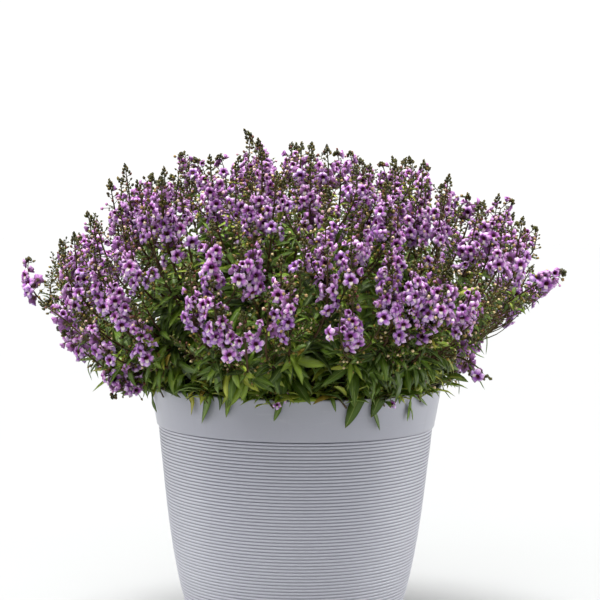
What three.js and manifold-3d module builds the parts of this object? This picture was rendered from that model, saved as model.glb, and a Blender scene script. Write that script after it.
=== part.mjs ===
// A potted angelonia: a ribbed, tapered planter with soil, a bushy mound of flowering
// branches, and leafy shoots that hang over the rim. Millimetres, +Z up. The origin is
// the middle of the pot's base, and -Y is the front.
import * as THREE from "three";
import { mergeVertices } from "three/addons/utils/BufferGeometryUtils.js";
import Module from "manifold-3d";

// ---- driving dimensions ----
const POT_HEIGHT = 262;
const RIM_RADIUS = 146; // outside, at the top of the smooth rim band
const BAND_DEPTH = 41; // height of the smooth rim band
const BAND_FOOT_RADIUS = 139.3; // outside, at the lower edge of the band
const STEP = 1.6; // the ribbed wall stands back this far under the band
const WALL = 3.4; // thickness of the pot's wall
const FLOOR = 4.5; // thickness of the pot's floor
const FOOT_RADIUS = 86; // flat ring that the pot rests on
const POT_SIDES = 40;
const SOIL_EDGE = 236; // height of the soil at the wall
const SOIL_MIDDLE = 241; // and in the middle
const GAP = 0.35; // clearance between touching pieces
const STEM_SIDES = 4; // stems are square in section
const LEAF_WIDTH = 6.6;
const LEAF_THICKNESS = 1.3;

// Outside of the ribbed wall: [height, radius over the crests of the ribs]. The wall
// pulls in faster towards the base.
const WALL_PROFILE = [
  [0, FOOT_RADIUS], [2.5, 90.5], [12, 97.5], [32, 107.5], [57, 114.8], [90, 121.5],
  [123, 126.8], [172, 132.6], [204, 136.2], [POT_HEIGHT - BAND_DEPTH - 1.2, BAND_FOOT_RADIUS - STEP],
];

// Flowering branches. A ring is [x, y, z, radius]. The stem rises from the soil to the
// point where its spikes part, and each spike goes on from there: bare shoot, foot of
// the flower head, flower head, bud tip.
const BRANCHES = [
  { stem: [[-53.5,71.5,231,2.5], [-71.8,94.9,276,1.0], [-90.4,120.5,299.3,1.2]],
    spikes: [
      [[-106.8,133.5,284.6,1.9], [-129.9,158.6,297.1,5.5], [-140.3,174.3,323.2,8.5], [-151.7,191.5,351.5,1.5]],
      [[-120.4,139.2,303.7,1.9], [-149.8,165.7,334.9,5.5], [-154.5,176.9,361.8,8.5], [-160,190,393,1.5]],
      [[-111,160.7,316.6,1.9], [-129.2,198.3,360.6,5.5], [-130.5,202.9,387,8.5], [-131.9,208.7,420.2,1.5]],
      [[-106.2,153,296.3,1.9], [-126.4,192.8,320,5.5], [-133.3,205.6,344.5,8.5], [-141.6,220.9,373.9,1.5]] ] },
  { stem: [[33.9,-85.2,231,1.1], [43.7,-114.7,276.5,1.0], [57.2,-145.4,300.1,1.0]],
    spikes: [
      [[72.3,-177.3,315.1,1.9], [83,-217,353.1,5.3], [81.5,-229.9,381.5,7.5], [79.9,-244.3,415.2,1.0]],
      [[84.2,-170.9,313.9,1.9], [107.5,-204.8,351.3,5.3], [109.2,-217.9,381.7,8.5], [110.9,-231.9,416.1,1.5]],
      [[72.1,-178,306,1.9], [84.1,-219.5,336.1,5.5], [84.1,-233.1,362.2,8.5], [84.1,-248.9,394.7,1.5]],
      [[80,-169.9,300.4,1.9], [100,-206.3,325.1,5.5], [101.4,-220.2,348.8,8.5], [103.2,-237.4,379.9,1.5]],
      [[53.1,-175.6,296.9,1.9], [49.6,-217.9,317.9,5.5], [49.6,-237.2,347,8.5], [49.6,-257,378.8,1.5]] ] },
  { stem: [[67.1,39.9,231,2.5], [89.4,55.1,268.1,1.0], [113.2,67.8,286,1.6]],
    spikes: [
      [[160,87.3,298,1.9], [209.5,114.6,333.3,5.5], [221,126,359.2,8.5], [234.1,138.8,388.6,1.5]],
      [[133.5,66.9,273.2,1.9], [161.9,73.4,267.1,5.5], [174.6,80.9,295.4,8.5], [188.5,89.1,326.4,1.5]],
      [[147.5,76,284.3,1.9], [185.8,92.2,309.6,5.5], [195.6,101,335,8.5], [207.3,111.5,365.4,1.5]],
      [[105.2,75.8,272.8,1.5], [115.2,99,272.8,4.4], [133.5,116.9,279,8.5], [153,136.1,301.3,1.5]],
      [[132.4,89.3,278,1.9], [165.9,119.9,291.9,5.5], [180.6,130.3,308.9,8.5], [200.3,144.3,331.6,1.5]] ] },
  { stem: [[-71.9,-43,231,2.5], [-96.6,-57.7,270.6,1.7], [-121.5,-72.8,291.2,1.7]],
    spikes: [
      [[-150.1,-79,276.8,1.7], [-183,-95.8,290.8,5.5], [-192.4,-107.3,316.2,8.5], [-203.4,-120.9,347.9,1.5]],
      [[-164.2,-91.5,304,1.9], [-206.8,-114,343,5.5], [-213.8,-120.4,368.8,8.5], [-222.4,-128.4,402.6,1.5]],
      [[-131.8,-68.7,295.7,1.9], [-154.6,-85.1,282.2,5.5], [-166.1,-100.9,268.3,8.5], [-174.7,-112.8,257.8,1.5]],
      [[-140.9,-102.2,284.4,1.9], [-174,-135.6,302,5.5], [-188.4,-143.4,321,8.5], [-207.4,-153.9,346.2,1.5]] ] },
  { stem: [[14.5,7.8,231,2.5], [19.6,10.4,297.8,2.4], [24.6,13.1,345.6,2.2]],
    spikes: [
      [[18,15.9,387.8,1.9], [12.7,19.3,452.2,5.5], [12.7,20.4,479.4,8.5], [13.3,16,503.4,1.5]],
      [[35.1,0.9,391.5,1.9], [42.1,-9.7,458.9,5.5], [40.8,-10.2,482.9,8.5], [37.2,-6,493.6,1.5]],
      [[40.4,31,390.1,1.9], [54.3,48.6,456.4,5.5], [55.1,50.8,478.6,8.5], [52.3,46,494.8,1.5]] ] },
  { stem: [[75.8,-23.2,231,2.5], [101.9,-31.2,278.6,2.4], [128.1,-39.2,307.2,2.2]],
    spikes: [
      [[165.9,-42.6,337.2,1.9], [201.1,-48.3,391.3,5.5], [204.8,-51,418,8.5], [216.1,-46,426.5,1.5]],
      [[141.8,-39.4,324.8,1.9], [160.6,-53.2,313.5,5.5], [166.7,-64.1,293,8.5], [171.2,-72.2,277.6,1.5]],
      [[168.4,-57.3,317.3,1.9], [206.6,-72.5,355.1,5.5], [212.5,-73,388,8.5], [218.7,-73.6,422.9,1.5]] ] },
  { stem: [[16.1,83.1,230.8,1.0], [20.9,111.8,270.4,1.1], [26.6,140.5,290.7,1.0]],
    spikes: [
      [[25.1,149.2,273.3,1.0], [27.2,178.7,268.2,5.3], [26.7,200.2,290.6,8.5], [26,224.2,315.7,1.5]],
      [[38.3,183.8,311.2,1.9], [52.8,230.3,354.5,5.5], [57.3,241.3,382.8,8.5], [62.3,253.7,414.9,1.5]],
      [[21.9,185.2,297.5,1.9], [22.7,233.1,329.3,5.5], [27.2,245.1,359.2,8.5], [32,257.9,391.5,1.5]],
      [[42.4,154.5,279.3,1.9], [59.7,187.8,289.5,5.5], [63.1,207.2,308.5,8.5], [67.2,231.2,332,1.5]],
      [[25.5,165.2,286.7,1.9], [28.4,205.5,304.5,5.5], [31.1,223.1,324.6,8.5], [34.6,245.2,349.8,1.5]] ] },
  { stem: [[-19.4,-67.6,231,2.5], [-26.1,-91,294.4,2.4], [-32.8,-114.3,338.7,2.2]],
    spikes: [
      [[-55,-128.4,372.5,1.9], [-75.7,-149.9,428.2,5.5], [-78.1,-159.7,455.9,8.5], [-80.9,-171.1,490.2,1.5]],
      [[-35.2,-144.7,366.6,1.9], [-38.6,-181,417.1,5.5], [-40,-192.2,444.3,8.5], [-41.7,-205.2,478.1,1.5]],
      [[-29,-146,369,1.9], [-23.4,-183.3,421.5,5.5], [-21.5,-192.4,443.4,8.5], [-18.9,-205,475.9,1.5]],
      [[-45.8,-134.8,374.2,1.9], [-56.5,-162.1,431.3,5.5], [-56.5,-169.9,452,8.5], [-56.5,-181.4,484.4,1.5]] ] },
  { stem: [[-65.4,-3.9,231,2.5], [-88,-5.2,294.4,2.4], [-110.6,-6.5,338.9,2.2]],
    spikes: [
      [[-144.8,2.1,371.5,1.9], [-175.5,9.7,428.2,5.5], [-177.6,10.2,452.1,8.5], [-176.6,6,465.2,1.5]],
      [[-133.1,-17.9,369.5,1.9], [-151.6,-29,424.4,5.5], [-151.6,-30.6,451.6,8.5], [-143.2,-26,470.9,1.5]] ] },
  { stem: [[-11.9,58,231,2.5], [-16.1,78,295.7,2.4], [-20.2,97.9,341.3,2.2]],
    spikes: [
      [[-27,129.8,374,1.9], [-34.2,166.4,428.9,5.5], [-35.8,176.5,456.1,8.5], [-37.6,188.5,488.2,1.5]],
      [[-5.9,112.4,380.3,1.9], [3.1,133.9,440.5,5.5], [0.2,144.1,470.2,8.5], [-2.9,155.4,503.1,1.5]],
      [[-41.8,113.8,374.8,1.9], [-58.4,134.4,431.2,5.5], [-57.3,141.9,459.8,8.5], [-56.1,150.7,493.1,1.5]] ] },
  { stem: [[-78.1,13.6,231,2.5], [-105,18.3,267.7,2.4], [-132.2,23,286.3,1.1]],
    spikes: [
      [[-165.8,20.3,273.3,1.9], [-212.8,19.3,286.4,5.5], [-230.2,20.4,307.2,8.5], [-242.5,16,313.8,1.5]],
      [[-142.6,18.8,272.9,1.1], [-170.8,14.6,274.1,5.0], [-193.2,13.9,298,8.5], [-217.4,13.2,323.5,1.5]],
      [[-147.9,41.5,272.9,1.1], [-182.7,56.7,283.3,3.8], [-205.5,59,307.5,8.5], [-229.8,61.2,333.1,1.5]],
      [[-169.2,32.6,286.7,1.9], [-214.7,45.5,313.3,5.5], [-229.9,50.6,339.1,8.5], [-247.2,56.5,368.5,1.5]] ] },
  { stem: [[47.1,50.2,231,2.5], [63.3,67.5,293,2.4], [79.5,84.8,336,2.2]],
    spikes: [
      [[93.5,115.5,365.9,1.9], [112.1,146,419,5.5], [117.9,150.2,442.1,8.5], [125.8,156,473.6,1.5]],
      [[115.3,102.6,356.1,1.9], [150.3,122.9,401.4,5.5], [155,127.6,425.1,8.5], [161.2,133.9,457.1,1.5]],
      [[79.1,92.9,377,1.9], [90.7,107.4,437,5.5], [100.8,114,459.4,8.5], [114.1,122.7,488.8,1.5]] ] },
  { stem: [[-27.2,-85.3,231,2.5], [-36,-113.7,275.8,1.0], [-45.6,-143.6,299.3,1.1]],
    spikes: [
      [[-68.6,-176.8,303.9,1.9], [-89.6,-217.5,334.9,5.5], [-92,-231.1,360.8,8.5], [-94.9,-247.1,393.2,1.5]],
      [[-58.5,-175.8,298.5,1.9], [-70.4,-217.3,324,5.5], [-72,-234.4,352.3,8.5], [-73.8,-252.8,384.4,1.5]],
      [[-61.7,-176,320.1,1.9], [-74.6,-214.5,365.1,5.5], [-74.6,-229.7,398.6,8.5], [-74.6,-244.7,433.5,1.5]],
      [[-43.8,-168.7,287.2,1.9], [-43.7,-207.7,301.1,5.5], [-45.3,-227.4,325.3,8.5], [-47.2,-249.4,354.2,1.5]],
      [[-52.9,-170.1,291.4,1.9], [-61.3,-209.3,309.4,5.5], [-63.5,-224.8,329.9,8.5], [-66.4,-244.9,358.4,1.5]] ] },
  { stem: [[45.5,-61,231,2.5], [61.3,-82.1,291.9,2.4], [77,-103.2,333.8,2.2]],
    spikes: [
      [[83.3,-127.1,364.6,1.9], [88.4,-157,418,5.5], [88.4,-168.2,449.2,8.5], [88.4,-180.2,484.4,1.5]],
      [[94.5,-132.2,357.7,1.9], [111.3,-166.3,405.3,5.5], [113.9,-177,434.4,8.5], [116.7,-189.1,469,1.5]],
      [[104.1,-119.2,361.7,1.9], [130.4,-141.4,412.7,5.5], [134.3,-150.3,440.5,8.5], [138.9,-160.7,474.9,1.5]],
      [[102.6,-133.7,352.4,1.9], [126.1,-169.1,395.7,5.5], [128.3,-178.6,421.4,8.5], [131.2,-190.2,455.2,1.5]],
      [[96,-112.8,370.4,1.9], [113.1,-129.3,428.9,5.5], [114.4,-136.8,453.5,8.5], [116.1,-146.5,487.5,1.5]] ] },
  { stem: [[69,0,231,2.5], [92.8,0,294.1,2.4], [116.7,0,338.2,2.2]],
    spikes: [
      [[134.7,5,372.6,1.9], [149.5,9.7,430.8,5.5], [149.5,10.2,451.6,8.5], [142.9,6,462.9,1.5]],
      [[146,-5,370.3,1.9], [170,-9.7,426.6,5.5], [170,-10.2,447.4,8.5], [169.2,-6,450.4,1.5]],
      [[158.6,0,363.6,1.9], [198.2,0,413.9,5.5], [202.7,0,439.2,8.5], [215.7,0,447.8,1.5]] ] },
  { stem: [[84.6,13,231,2.5], [113.8,17.5,274.9,2.4], [143.3,21.6,299.8,1.3]],
    spikes: [
      [[185.7,19.9,329.5,1.9], [225.8,19.3,383.3,5.5], [230.6,20.4,410,8.5], [241.1,16,420.5,1.5]],
      [[180.1,9.9,317.4,1.9], [233.4,0,351.2,5.5], [254.2,0,368.7,8.5], [269.2,0,376.4,1.5]],
      [[171.2,26.6,298.8,1.9], [208.9,33,324,5.5], [224.2,35.7,351.1,8.5], [241.3,38.8,381.3,1.5]],
      [[147.6,22.5,272,1.1], [165.1,30.9,272.9,5.4], [181.7,37.8,295.9,8.5], [199.5,45.1,325.6,1.5]],
      [[185.3,49.6,305.1,1.9], [224.1,79.8,338.1,5.5], [228.2,87.3,366.4,8.5], [233,96,399.4,1.5]] ] },
  { stem: [[-50.3,-67.2,231,2.5], [-67.6,-90.3,288.5,2.4], [-85,-113.5,327.1,2.2]],
    spikes: [
      [[-108.5,-129.1,352.3,1.9], [-133.6,-151.4,400.8,5.5], [-140.1,-161.9,431.5,8.5], [-147.1,-173.1,466.3,1.5]],
      [[-105.1,-143,344.9,1.9], [-126.4,-177.9,387.2,5.5], [-130.9,-187.7,412.5,8.5], [-136.4,-199.7,445.7,1.5]],
      [[-90.5,-140.8,354.8,1.9], [-98.9,-174,405.2,5.5], [-102.9,-185.2,434,8.5], [-107.4,-197.7,468.2,1.5]],
      [[-99.7,-142.4,351,1.9], [-115.7,-176.7,398.3,5.5], [-118.8,-185.2,420.4,8.5], [-123.1,-196.9,452.9,1.5]],
      [[-120.8,-133.5,342.8,1.9], [-154,-159.5,383.8,5.5], [-157.7,-168.3,409.6,8.5], [-162.2,-179.2,443.4,1.5]] ] },
  { stem: [[-23.1,69.1,231,2.5], [-31.1,92.9,263.7,2.4], [-39.1,116.8,277.5,2.2]],
    spikes: [
      [[-46,138.9,272,1.9], [-57.8,172.7,266.6,5.5], [-63.8,189,292,5.3], [-71,207.1,320.6,0.8]] ] },
  { stem: [[54.7,-71.6,231,2.5], [72.4,-96.4,275.5,1.0], [92.7,-121.8,298,1.1]],
    spikes: [
      [[109.6,-155.9,306.7,1.9], [127.4,-196,340.2,5.5], [131.7,-208.8,370.4,8.5], [136.2,-222.4,404.7,1.5]],
      [[120.2,-145.7,300.9,1.9], [149.1,-178.3,328.9,5.5], [155.8,-192.2,358.2,8.5], [163,-207,391.4,1.5]],
      [[105.6,-154.7,299.2,1.9], [119,-197.1,325.3,5.5], [121.3,-209.8,347.6,8.3], [124.1,-226.2,378.6,1.5]],
      [[119.9,-127.5,296.7,1.9], [151.6,-144.7,320.7,5.5], [161.2,-157.2,347.6,8.5], [171.9,-171.1,377.7,1.5]] ] },
  { stem: [[-35.5,3.9,231,2.5], [-47.8,5.3,298.7,2.4], [-60,6.6,347.3,2.2]],
    spikes: [
      [[-78.3,23.1,395.4,1.9], [-105.9,39,461.9,5.5], [-114.7,40.6,480.6,8.5], [-120.5,36,490.8,1.5]],
      [[-72.4,-7,384.4,1.9], [-88.8,-19.4,444,5.5], [-94.1,-20.4,469,8.5], [-103.4,-16,487.1,1.5]],
      [[-64.1,8,390.5,1.9], [-71.7,9.7,455.4,5.5], [-74.8,10.2,477.6,8.5], [-80.6,6,489.3,1.5]] ] },
  { stem: [[-58.4,-37.4,231,2.5], [-78.6,-50.3,292.1,2.4], [-98.7,-63.2,334.3,2.2]],
    spikes: [
      [[-109.4,-58.3,366.5,1.9], [-118.2,-57.9,422.7,5.5], [-118.2,-61.3,451.3,8.5], [-123.5,-56,470.5,1.5]],
      [[-132.8,-89,357.8,1.9], [-165.7,-117.7,405.6,5.5], [-170.3,-124.6,431.8,8.5], [-176.1,-133.1,466.2,1.5]],
      [[-127,-82.2,364,1.9], [-154.2,-104.7,417.2,5.5], [-158.2,-111.6,445.5,8.5], [-162.8,-119.5,480.6,1.5]] ] },
  { stem: [[14,-77.7,231,2.5], [18.8,-104.5,289.9,2.4], [23.6,-131.3,329.8,2.2]],
    spikes: [
      [[16.8,-150.3,363.6,1.9], [11.2,-177.2,419,5.5], [11.2,-189.7,449.7,8.5], [11.2,-203,484.4,1.5]],
      [[22.3,-163,357.5,1.9], [23.6,-201,407.5,5.5], [25.5,-210.6,429.3,8.5], [28.1,-223.9,461.4,1.5]],
      [[42.3,-144.7,365.3,1.9], [60,-166.4,422.2,5.5], [62.4,-177,449.6,8.5], [65.2,-189.3,483.6,1.5]],
      [[40.2,-165.5,346.6,1.9], [55.2,-205.6,387.7,5.5], [56.8,-219,417.9,8.5], [58.5,-233.4,452.1,1.5]],
      [[24.3,-173.7,340.2,1.9], [24.9,-221.2,375.9,5.5], [24.9,-235.3,405.8,8.5], [24.9,-250.3,439.7,1.5]] ] },
  { stem: [[40,75.2,231,2.5], [53.7,101.2,274.2,2.3], [67.5,127.2,298.4,2.0]],
    spikes: [
      [[94.7,159.6,330.4,1.9], [122.8,193,385,5.5], [127.7,198.6,408.5,8.5], [134.4,206.1,440.1,1.5]],
      [[67.9,166,300.5,1.9], [75.9,209.7,328.5,5.5], [84.4,223,357.6,8.5], [93.5,237,388.7,1.5]],
      [[88.2,149.8,292.1,1.9], [116.5,180.6,311.8,5.5], [127.9,192.9,337.1,8.5], [141,207,366,1.5]],
      [[63.9,129.9,272,1.9], [71,152.2,272.6,5.5], [80.9,171.9,289.7,8.5], [92.4,194.8,312.6,1.5]],
      [[89.2,161.9,312.5,1.9], [113.2,204.9,349.4,5.5], [119.3,219,374.3,8.5], [126.4,235.6,403.5,1.5]] ] },
  { stem: [[33.2,-15.5,231,2.5], [44.7,-20.8,296.2,2.4], [56.2,-26.2,342.3,2.2]],
    spikes: [
      [[62.4,-36.8,381.4,1.9], [65.9,-48.4,443.1,5.5], [64.6,-51,468.5,8.5], [60,-46,488.1,1.5]],
      [[80.4,-26.8,380.8,1.9], [100.2,-29.1,442.1,5.5], [100.2,-30.5,466.1,8.5], [92,-26,490.3,1.5]] ] },
  { stem: [[-19.2,83.2,231,2.4], [-25.8,111.9,286.7,2.4], [-32.5,140.6,323.4,2.2]],
    spikes: [
      [[-38.9,180.2,332.1,1.9], [-45.7,220,368.2,5.5], [-47.2,227.2,396.7,8.5], [-48.9,235.7,430,1.5]],
      [[-49,168.6,347.9,1.9], [-69.2,203.7,394.5,5.5], [-76.4,216.6,422.8,8.5], [-84.2,230.8,454,1.5]],
      [[-29.5,169,348.2,1.9], [-29.2,200.1,397.3,5.5], [-31.5,208.2,427.4,8.5], [-34,217.3,460.9,1.5]] ] },
  { stem: [[-76.5,31.5,231,2.5], [-102.8,42.3,272.2,2.4], [-128.2,52,296.6,1.0]],
    spikes: [
      [[-162.4,80.6,305.5,1.9], [-201.1,107.2,342.1,5.5], [-212.8,111.5,370,8.5], [-226,116.3,401.6,1.5]],
      [[-158.8,66.3,294.1,1.4], [-203.9,83.1,313.9,5.5], [-220.9,87.9,330.7,8.5], [-244,94.4,353.5,1.5]],
      [[-171.5,62.5,305,1.9], [-212.5,69.1,342.9,5.5], [-219.1,68.1,373.3,8.5], [-226.4,67,407.2,1.5]],
      [[-126.1,50.7,273.3,1.5], [-147.1,55.1,272.8,5.4], [-169.3,61.2,285.7,6.2], [-195.4,68.1,306.7,1.4]] ] },
  { stem: [[-41.6,64.4,231,2.5], [-56,86.6,292.1,2.4], [-70.4,108.8,334.2,2.2]],
    spikes: [
      [[-77.6,146.5,355.8,1.9], [-94.8,180.1,401.1,5.5], [-104.1,182.3,424,8.5], [-116.6,185.3,454.5,1.5]],
      [[-92.3,123.6,367.8,1.9], [-113.5,141.7,424.5,5.5], [-116.4,146.8,449.9,8.5], [-120.1,153.5,482.5,1.5]] ] },
  { stem: [[-23.3,31.3,231,2.5], [-31.3,42.1,298.7,2.4], [-39.4,52.9,347.3,2.2]],
    spikes: [
      [[-50.4,54.1,388.5,1.9], [-62.1,58.6,451.8,5.5], [-63.7,60.9,470.8,8.5], [-60.1,56,488.4,1.5]],
      [[-48.7,75.7,389.4,1.9], [-54.4,97.9,453.6,5.5], [-52.8,101.1,479.5,8.5], [-50.6,105.2,512.7,1.5]] ] },
  { stem: [[74.4,43.3,231,1.9], [100.9,56.9,282.3,1.0], [125.8,73.2,314.8,2.2]],
    spikes: [
      [[148.8,98.6,319.3,1.9], [176.4,129.9,349.8,5.5], [185.4,140.6,377.2,8.5], [195.5,152.7,408,1.5]],
      [[157.5,76.4,331,1.9], [196.3,81.9,371.3,5.5], [210.5,85.1,401.2,8.5], [225.6,88.3,433,1.5]],
      [[155.4,90.5,336.1,1.9], [185.4,112.9,381.8,5.5], [191.5,121.4,411.4,8.5], [198.1,130.8,444.3,1.5]] ] },
  { stem: [[-4.7,-91.3,231,2.5], [-7.2,-121.7,278.9,1.0], [-8.3,-155.3,303.1,1.0]],
    spikes: [
      [[11.2,-189,317.4,1.9], [26.8,-230.5,354.8,5.5], [26.8,-242.5,379.6,8.5], [26.8,-257.2,412.1,1.5]],
      [[-24.9,-185.4,323.6,1.9], [-38.8,-223.7,366.3,5.5], [-38.8,-238.6,397.8,8.5], [-38.8,-253.9,432.2,1.5]],
      [[-19.2,-180.3,296.5,1.9], [-27,-219,314.1,5.5], [-25.3,-238.2,341,8.5], [-23.5,-258.7,371.6,1.5]],
      [[-6.6,-189.7,306,1.9], [-5.6,-233.7,333.1,5.5], [-5.6,-248.6,358.5,8.5], [-5.6,-265.8,390.3,1.5]],
      [[-11.1,-190.9,316,1.9], [-13.7,-234,352.2,5.5], [-13.7,-243.6,372,8.5], [-13.7,-257.8,403.3,1.5]] ] },
  { stem: [[-82.7,-20,231,2.2], [-111.5,-26.1,281.1,1.1], [-139.8,-33.9,312.3,2.2]],
    spikes: [
      [[-171.1,-30.2,327.9,1.9], [-203,-29,370,5.5], [-208.6,-30.6,396.6,8.5], [-217.8,-26,407,1.5]],
      [[-177.5,-53.2,319.4,1.9], [-210.4,-71.2,355.3,4.4], [-212.8,-73.1,380.9,8.5], [-215.4,-75.6,414.2,1.5]] ] },
  { stem: [[72.4,-51.8,231,2.5], [97.4,-69.7,285.6,2.4], [122.4,-87.5,321.2,2.2]],
    spikes: [
      [[138.3,-117,342.3,1.9], [156.4,-150.3,387.7,5.5], [161.2,-159.4,415.2,8.5], [166.9,-170,449.4,1.5]],
      [[150.9,-100.3,344,1.9], [178.3,-118.1,391.4,5.5], [182.5,-125.9,421.3,8.5], [187.1,-134.6,456.7,1.5]],
      [[156.4,-112.3,331,1.9], [185.7,-141.1,367.7,5.5], [187.1,-148.9,394.1,8.5], [188.8,-158.6,428.6,1.5]],
      [[164.9,-95.3,335.6,1.9], [203.7,-108.4,376.4,5.5], [207.2,-114.2,401.2,8.5], [211.7,-121.6,435.5,1.5]] ] },
  { stem: [[-63.5,-65.8,231,2.5], [-84.8,-88,278.5,1.0], [-107.1,-111,305.3,1.4]],
    spikes: [
      [[-141.2,-130.9,312.4,1.9], [-174.9,-156.3,346.4,5.5], [-180.7,-165.4,373.8,8.5], [-187.5,-176.1,407.7,1.5]],
      [[-133.8,-138.7,306.1,1.9], [-160.6,-172.6,334.4,5.5], [-165.9,-184.5,362.7,8.5], [-171.8,-197.7,396.4,1.5]],
      [[-125.8,-143.1,323.7,1.9], [-144.9,-179.9,366.9,5.5], [-148.4,-189.7,392.4,8.5], [-152.9,-201.6,425.8,1.5]],
      [[-142.3,-125.8,326.2,1.9], [-176.8,-146.6,371.6,5.5], [-182.7,-155.3,399.1,8.5], [-189.6,-165.4,433.2,1.5]],
      [[-120.5,-133.1,290.8,1.9], [-136.8,-167.2,303.9,5.5], [-142.3,-182.9,328.2,8.5], [-148.7,-201.3,358.5,1.5]] ] },
  { stem: [[-7.5,-53.2,231,2.5], [-10.1,-71.6,297.3,2.4], [-12.7,-89.9,344.6,2.2]],
    spikes: [
      [[-23.9,-117.4,380.1,1.9], [-33,-150.1,437.2,5.5], [-33,-159.5,463.1,8.5], [-33,-171.2,496.9,1.5]],
      [[-4.6,-111.6,382.2,1.9], [5.8,-140.6,440.5,5.5], [9,-150.3,464.2,8.5], [13.1,-162.9,494.8,1.5]],
      [[-19.5,-95,386.6,1.9], [-29.3,-108.3,449.2,5.5], [-33.1,-116.4,474.3,8.5], [-38,-126.7,506,1.5]] ] },
  { stem: [[-70.7,-19,231,2.5], [-94.9,-26.1,266.7,1.4], [-119.3,-32.6,283.3,1.4]],
    spikes: [
      [[-141.6,-30.9,272,1.9], [-181.1,-32.2,281.3,5.5], [-204.5,-34.8,304.2,8.5], [-229.5,-37.5,328.8,1.5]],
      [[-155.3,-50.2,286.6,1.8], [-199.6,-68.1,315.2,5.5], [-212.5,-70.7,337.5,7.9], [-229,-74,366.4,1.0]],
      [[-124.5,-33.3,272.6,1.9], [-149.4,-42.4,272,5.5], [-169.3,-50.1,279.4,8.5], [-192.8,-59.3,302.3,1.5]] ] },
  { stem: [[12.8,82,231.2,1.0], [17.6,110.4,286.3,1.4], [23,138.9,322.3,2.2]],
    spikes: [
      [[20.4,167.7,351.3,1.9], [18,196.1,404.5,5.5], [17.8,200.6,431.4,8.5], [17.6,206.1,464.7,1.5]],
      [[48.3,169.7,339.9,1.9], [70.7,205.2,382.3,5.5], [72.5,216.4,412.4,8.5], [74.5,228.5,445.2,1.5]],
      [[15.7,175.6,331.9,1.9], [13.4,215.3,368,5.5], [17.2,225.4,397.9,8.5], [21.5,236.6,430.8,1.5]] ] },
  { stem: [[20,61.7,231,2.5], [26.9,83,294.6,2.4], [33.8,104.2,339.2,2.2]],
    spikes: [
      [[50.4,143.3,365.2,1.9], [66.5,176.4,416.4,5.5], [69.1,177.4,446.3,8.5], [72,178.5,480.7,1.5]],
      [[30.2,126.6,372.2,1.9], [27.5,157,426.7,5.5], [27.7,167.6,451,8.5], [27.9,181.1,481.8,1.5]],
      [[44.2,110.9,379,1.9], [55.9,129.3,438.4,5.5], [58.4,139.7,459.9,8.5], [61.9,154.1,489.4,1.5]] ] },
  { stem: [[34.4,-81.2,231,1.1], [46.3,-108.8,286.1,1.8], [58.1,-137.2,321.8,2.2]],
    spikes: [
      [[75.5,-161.5,343.5,1.9], [89.8,-193,389,5.5], [89.8,-205.8,419.6,8.5], [89.8,-219.4,454.1,1.5]],
      [[71.3,-172.1,336.2,1.9], [82.1,-212.8,375.5,5.1], [82.1,-224.1,400.6,6.7], [82.1,-238.1,433.5,1.5]] ] },
  { stem: [[-13,83,231,2.4], [-17.8,112,270.3,1.2], [-23.3,139.6,290.7,1.0]],
    spikes: [
      [[-21.6,187.1,302.3,1.9], [-21.3,235.7,339.3,5.5], [-21.4,245.6,366.5,8.5], [-21.5,257.3,398.7,1.5]],
      [[-20.5,169,281.3,1.8], [-23.8,208.5,297.8,5.5], [-27.8,223.7,321.3,8.5], [-32.7,242,349.7,1.5]],
      [[-25.3,139.3,273,1.1], [-26.9,159,272.6,5.5], [-26.4,176.9,280,8.5], [-25.8,198.8,305.8,1.5]],
      [[-38.4,182,299.6,1.9], [-57.8,226.8,333.5,5.5], [-62.6,235.8,356.7,8.5], [-69.1,247.6,387.2,1.5]] ] },
  { stem: [[43.8,3.9,231,2.5], [58.9,5.2,298.2,2.4], [74,6.6,346.4,2.2]],
    spikes: [
      [[84.4,8,386,1.9], [90.2,9.7,448.3,5.5], [88.3,10.2,470.6,8.5], [81.5,6,484.1,1.5]],
      [[94.6,18,385.4,1.9], [114.1,29.2,447.2,5.5], [115.9,30.5,467.9,8.5], [111.5,26,490.4,1.5]],
      [[100.8,-2.1,387.9,1.9], [124.3,-9.8,451.9,5.5], [125.3,-10.1,471.1,8.5], [128.9,-6,479.8,1.5]] ] },
  { stem: [[-34.2,71.1,231,2.5], [-45.9,95.7,268.6,2.4], [-57.7,120.2,287.2,2.1]],
    spikes: [
      [[-77.8,166.4,296.8,1.9], [-97.1,212.3,333.3,5.5], [-99.8,220,360.6,8.5], [-103.2,229.1,393.3,1.5]],
      [[-73.8,138.4,274.5,1.9], [-95.7,171.7,285.9,5.5], [-102.9,186.9,304,8.5], [-112.5,207.3,328.2,1.5]],
      [[-62,115.1,272.9,1.9], [-76,132.8,273.2,4.8], [-86.2,153.8,277.8,8.4], [-98.3,178.7,297.8,1.5]],
      [[-65.6,157,279.1,1.7], [-73.8,193.8,301.7,2.2], [-73.6,202,330.7,4.2], [-74.1,210.9,364.1,1.5]] ] },
  { stem: [[-91.1,2.9,231,2.5], [-121.4,4.5,280.4,1.0], [-153.7,5,308.5,1.7]],
    spikes: [
      [[-206.8,-2.8,314.5,1.9], [-260.3,-9.7,347.8,5.5], [-268.5,-10.2,370.4,8.5], [-267.9,-6,385.6,1.5]],
      [[-192.7,12.2,316.4,1.9], [-228.6,19.3,352.7,5.5], [-232.4,20.4,379.6,8.5], [-239.7,16,403,1.5]],
      [[-182,17.2,335.1,1.9], [-207.6,29.1,386.8,5.5], [-209.7,30.5,410.6,8.5], [-213.6,26,431.2,1.5]],
      [[-173.7,-2.8,305.6,1.9], [-214.5,-9.7,320.6,5.5], [-236.8,-10.2,336.1,8.5], [-250.9,-6,341.8,1.5]] ] },
  { stem: [[-8.2,-5.8,231,2.5], [-11,-7.8,298,2.4], [-13.9,-9.8,346.1,2.2]],
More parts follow.
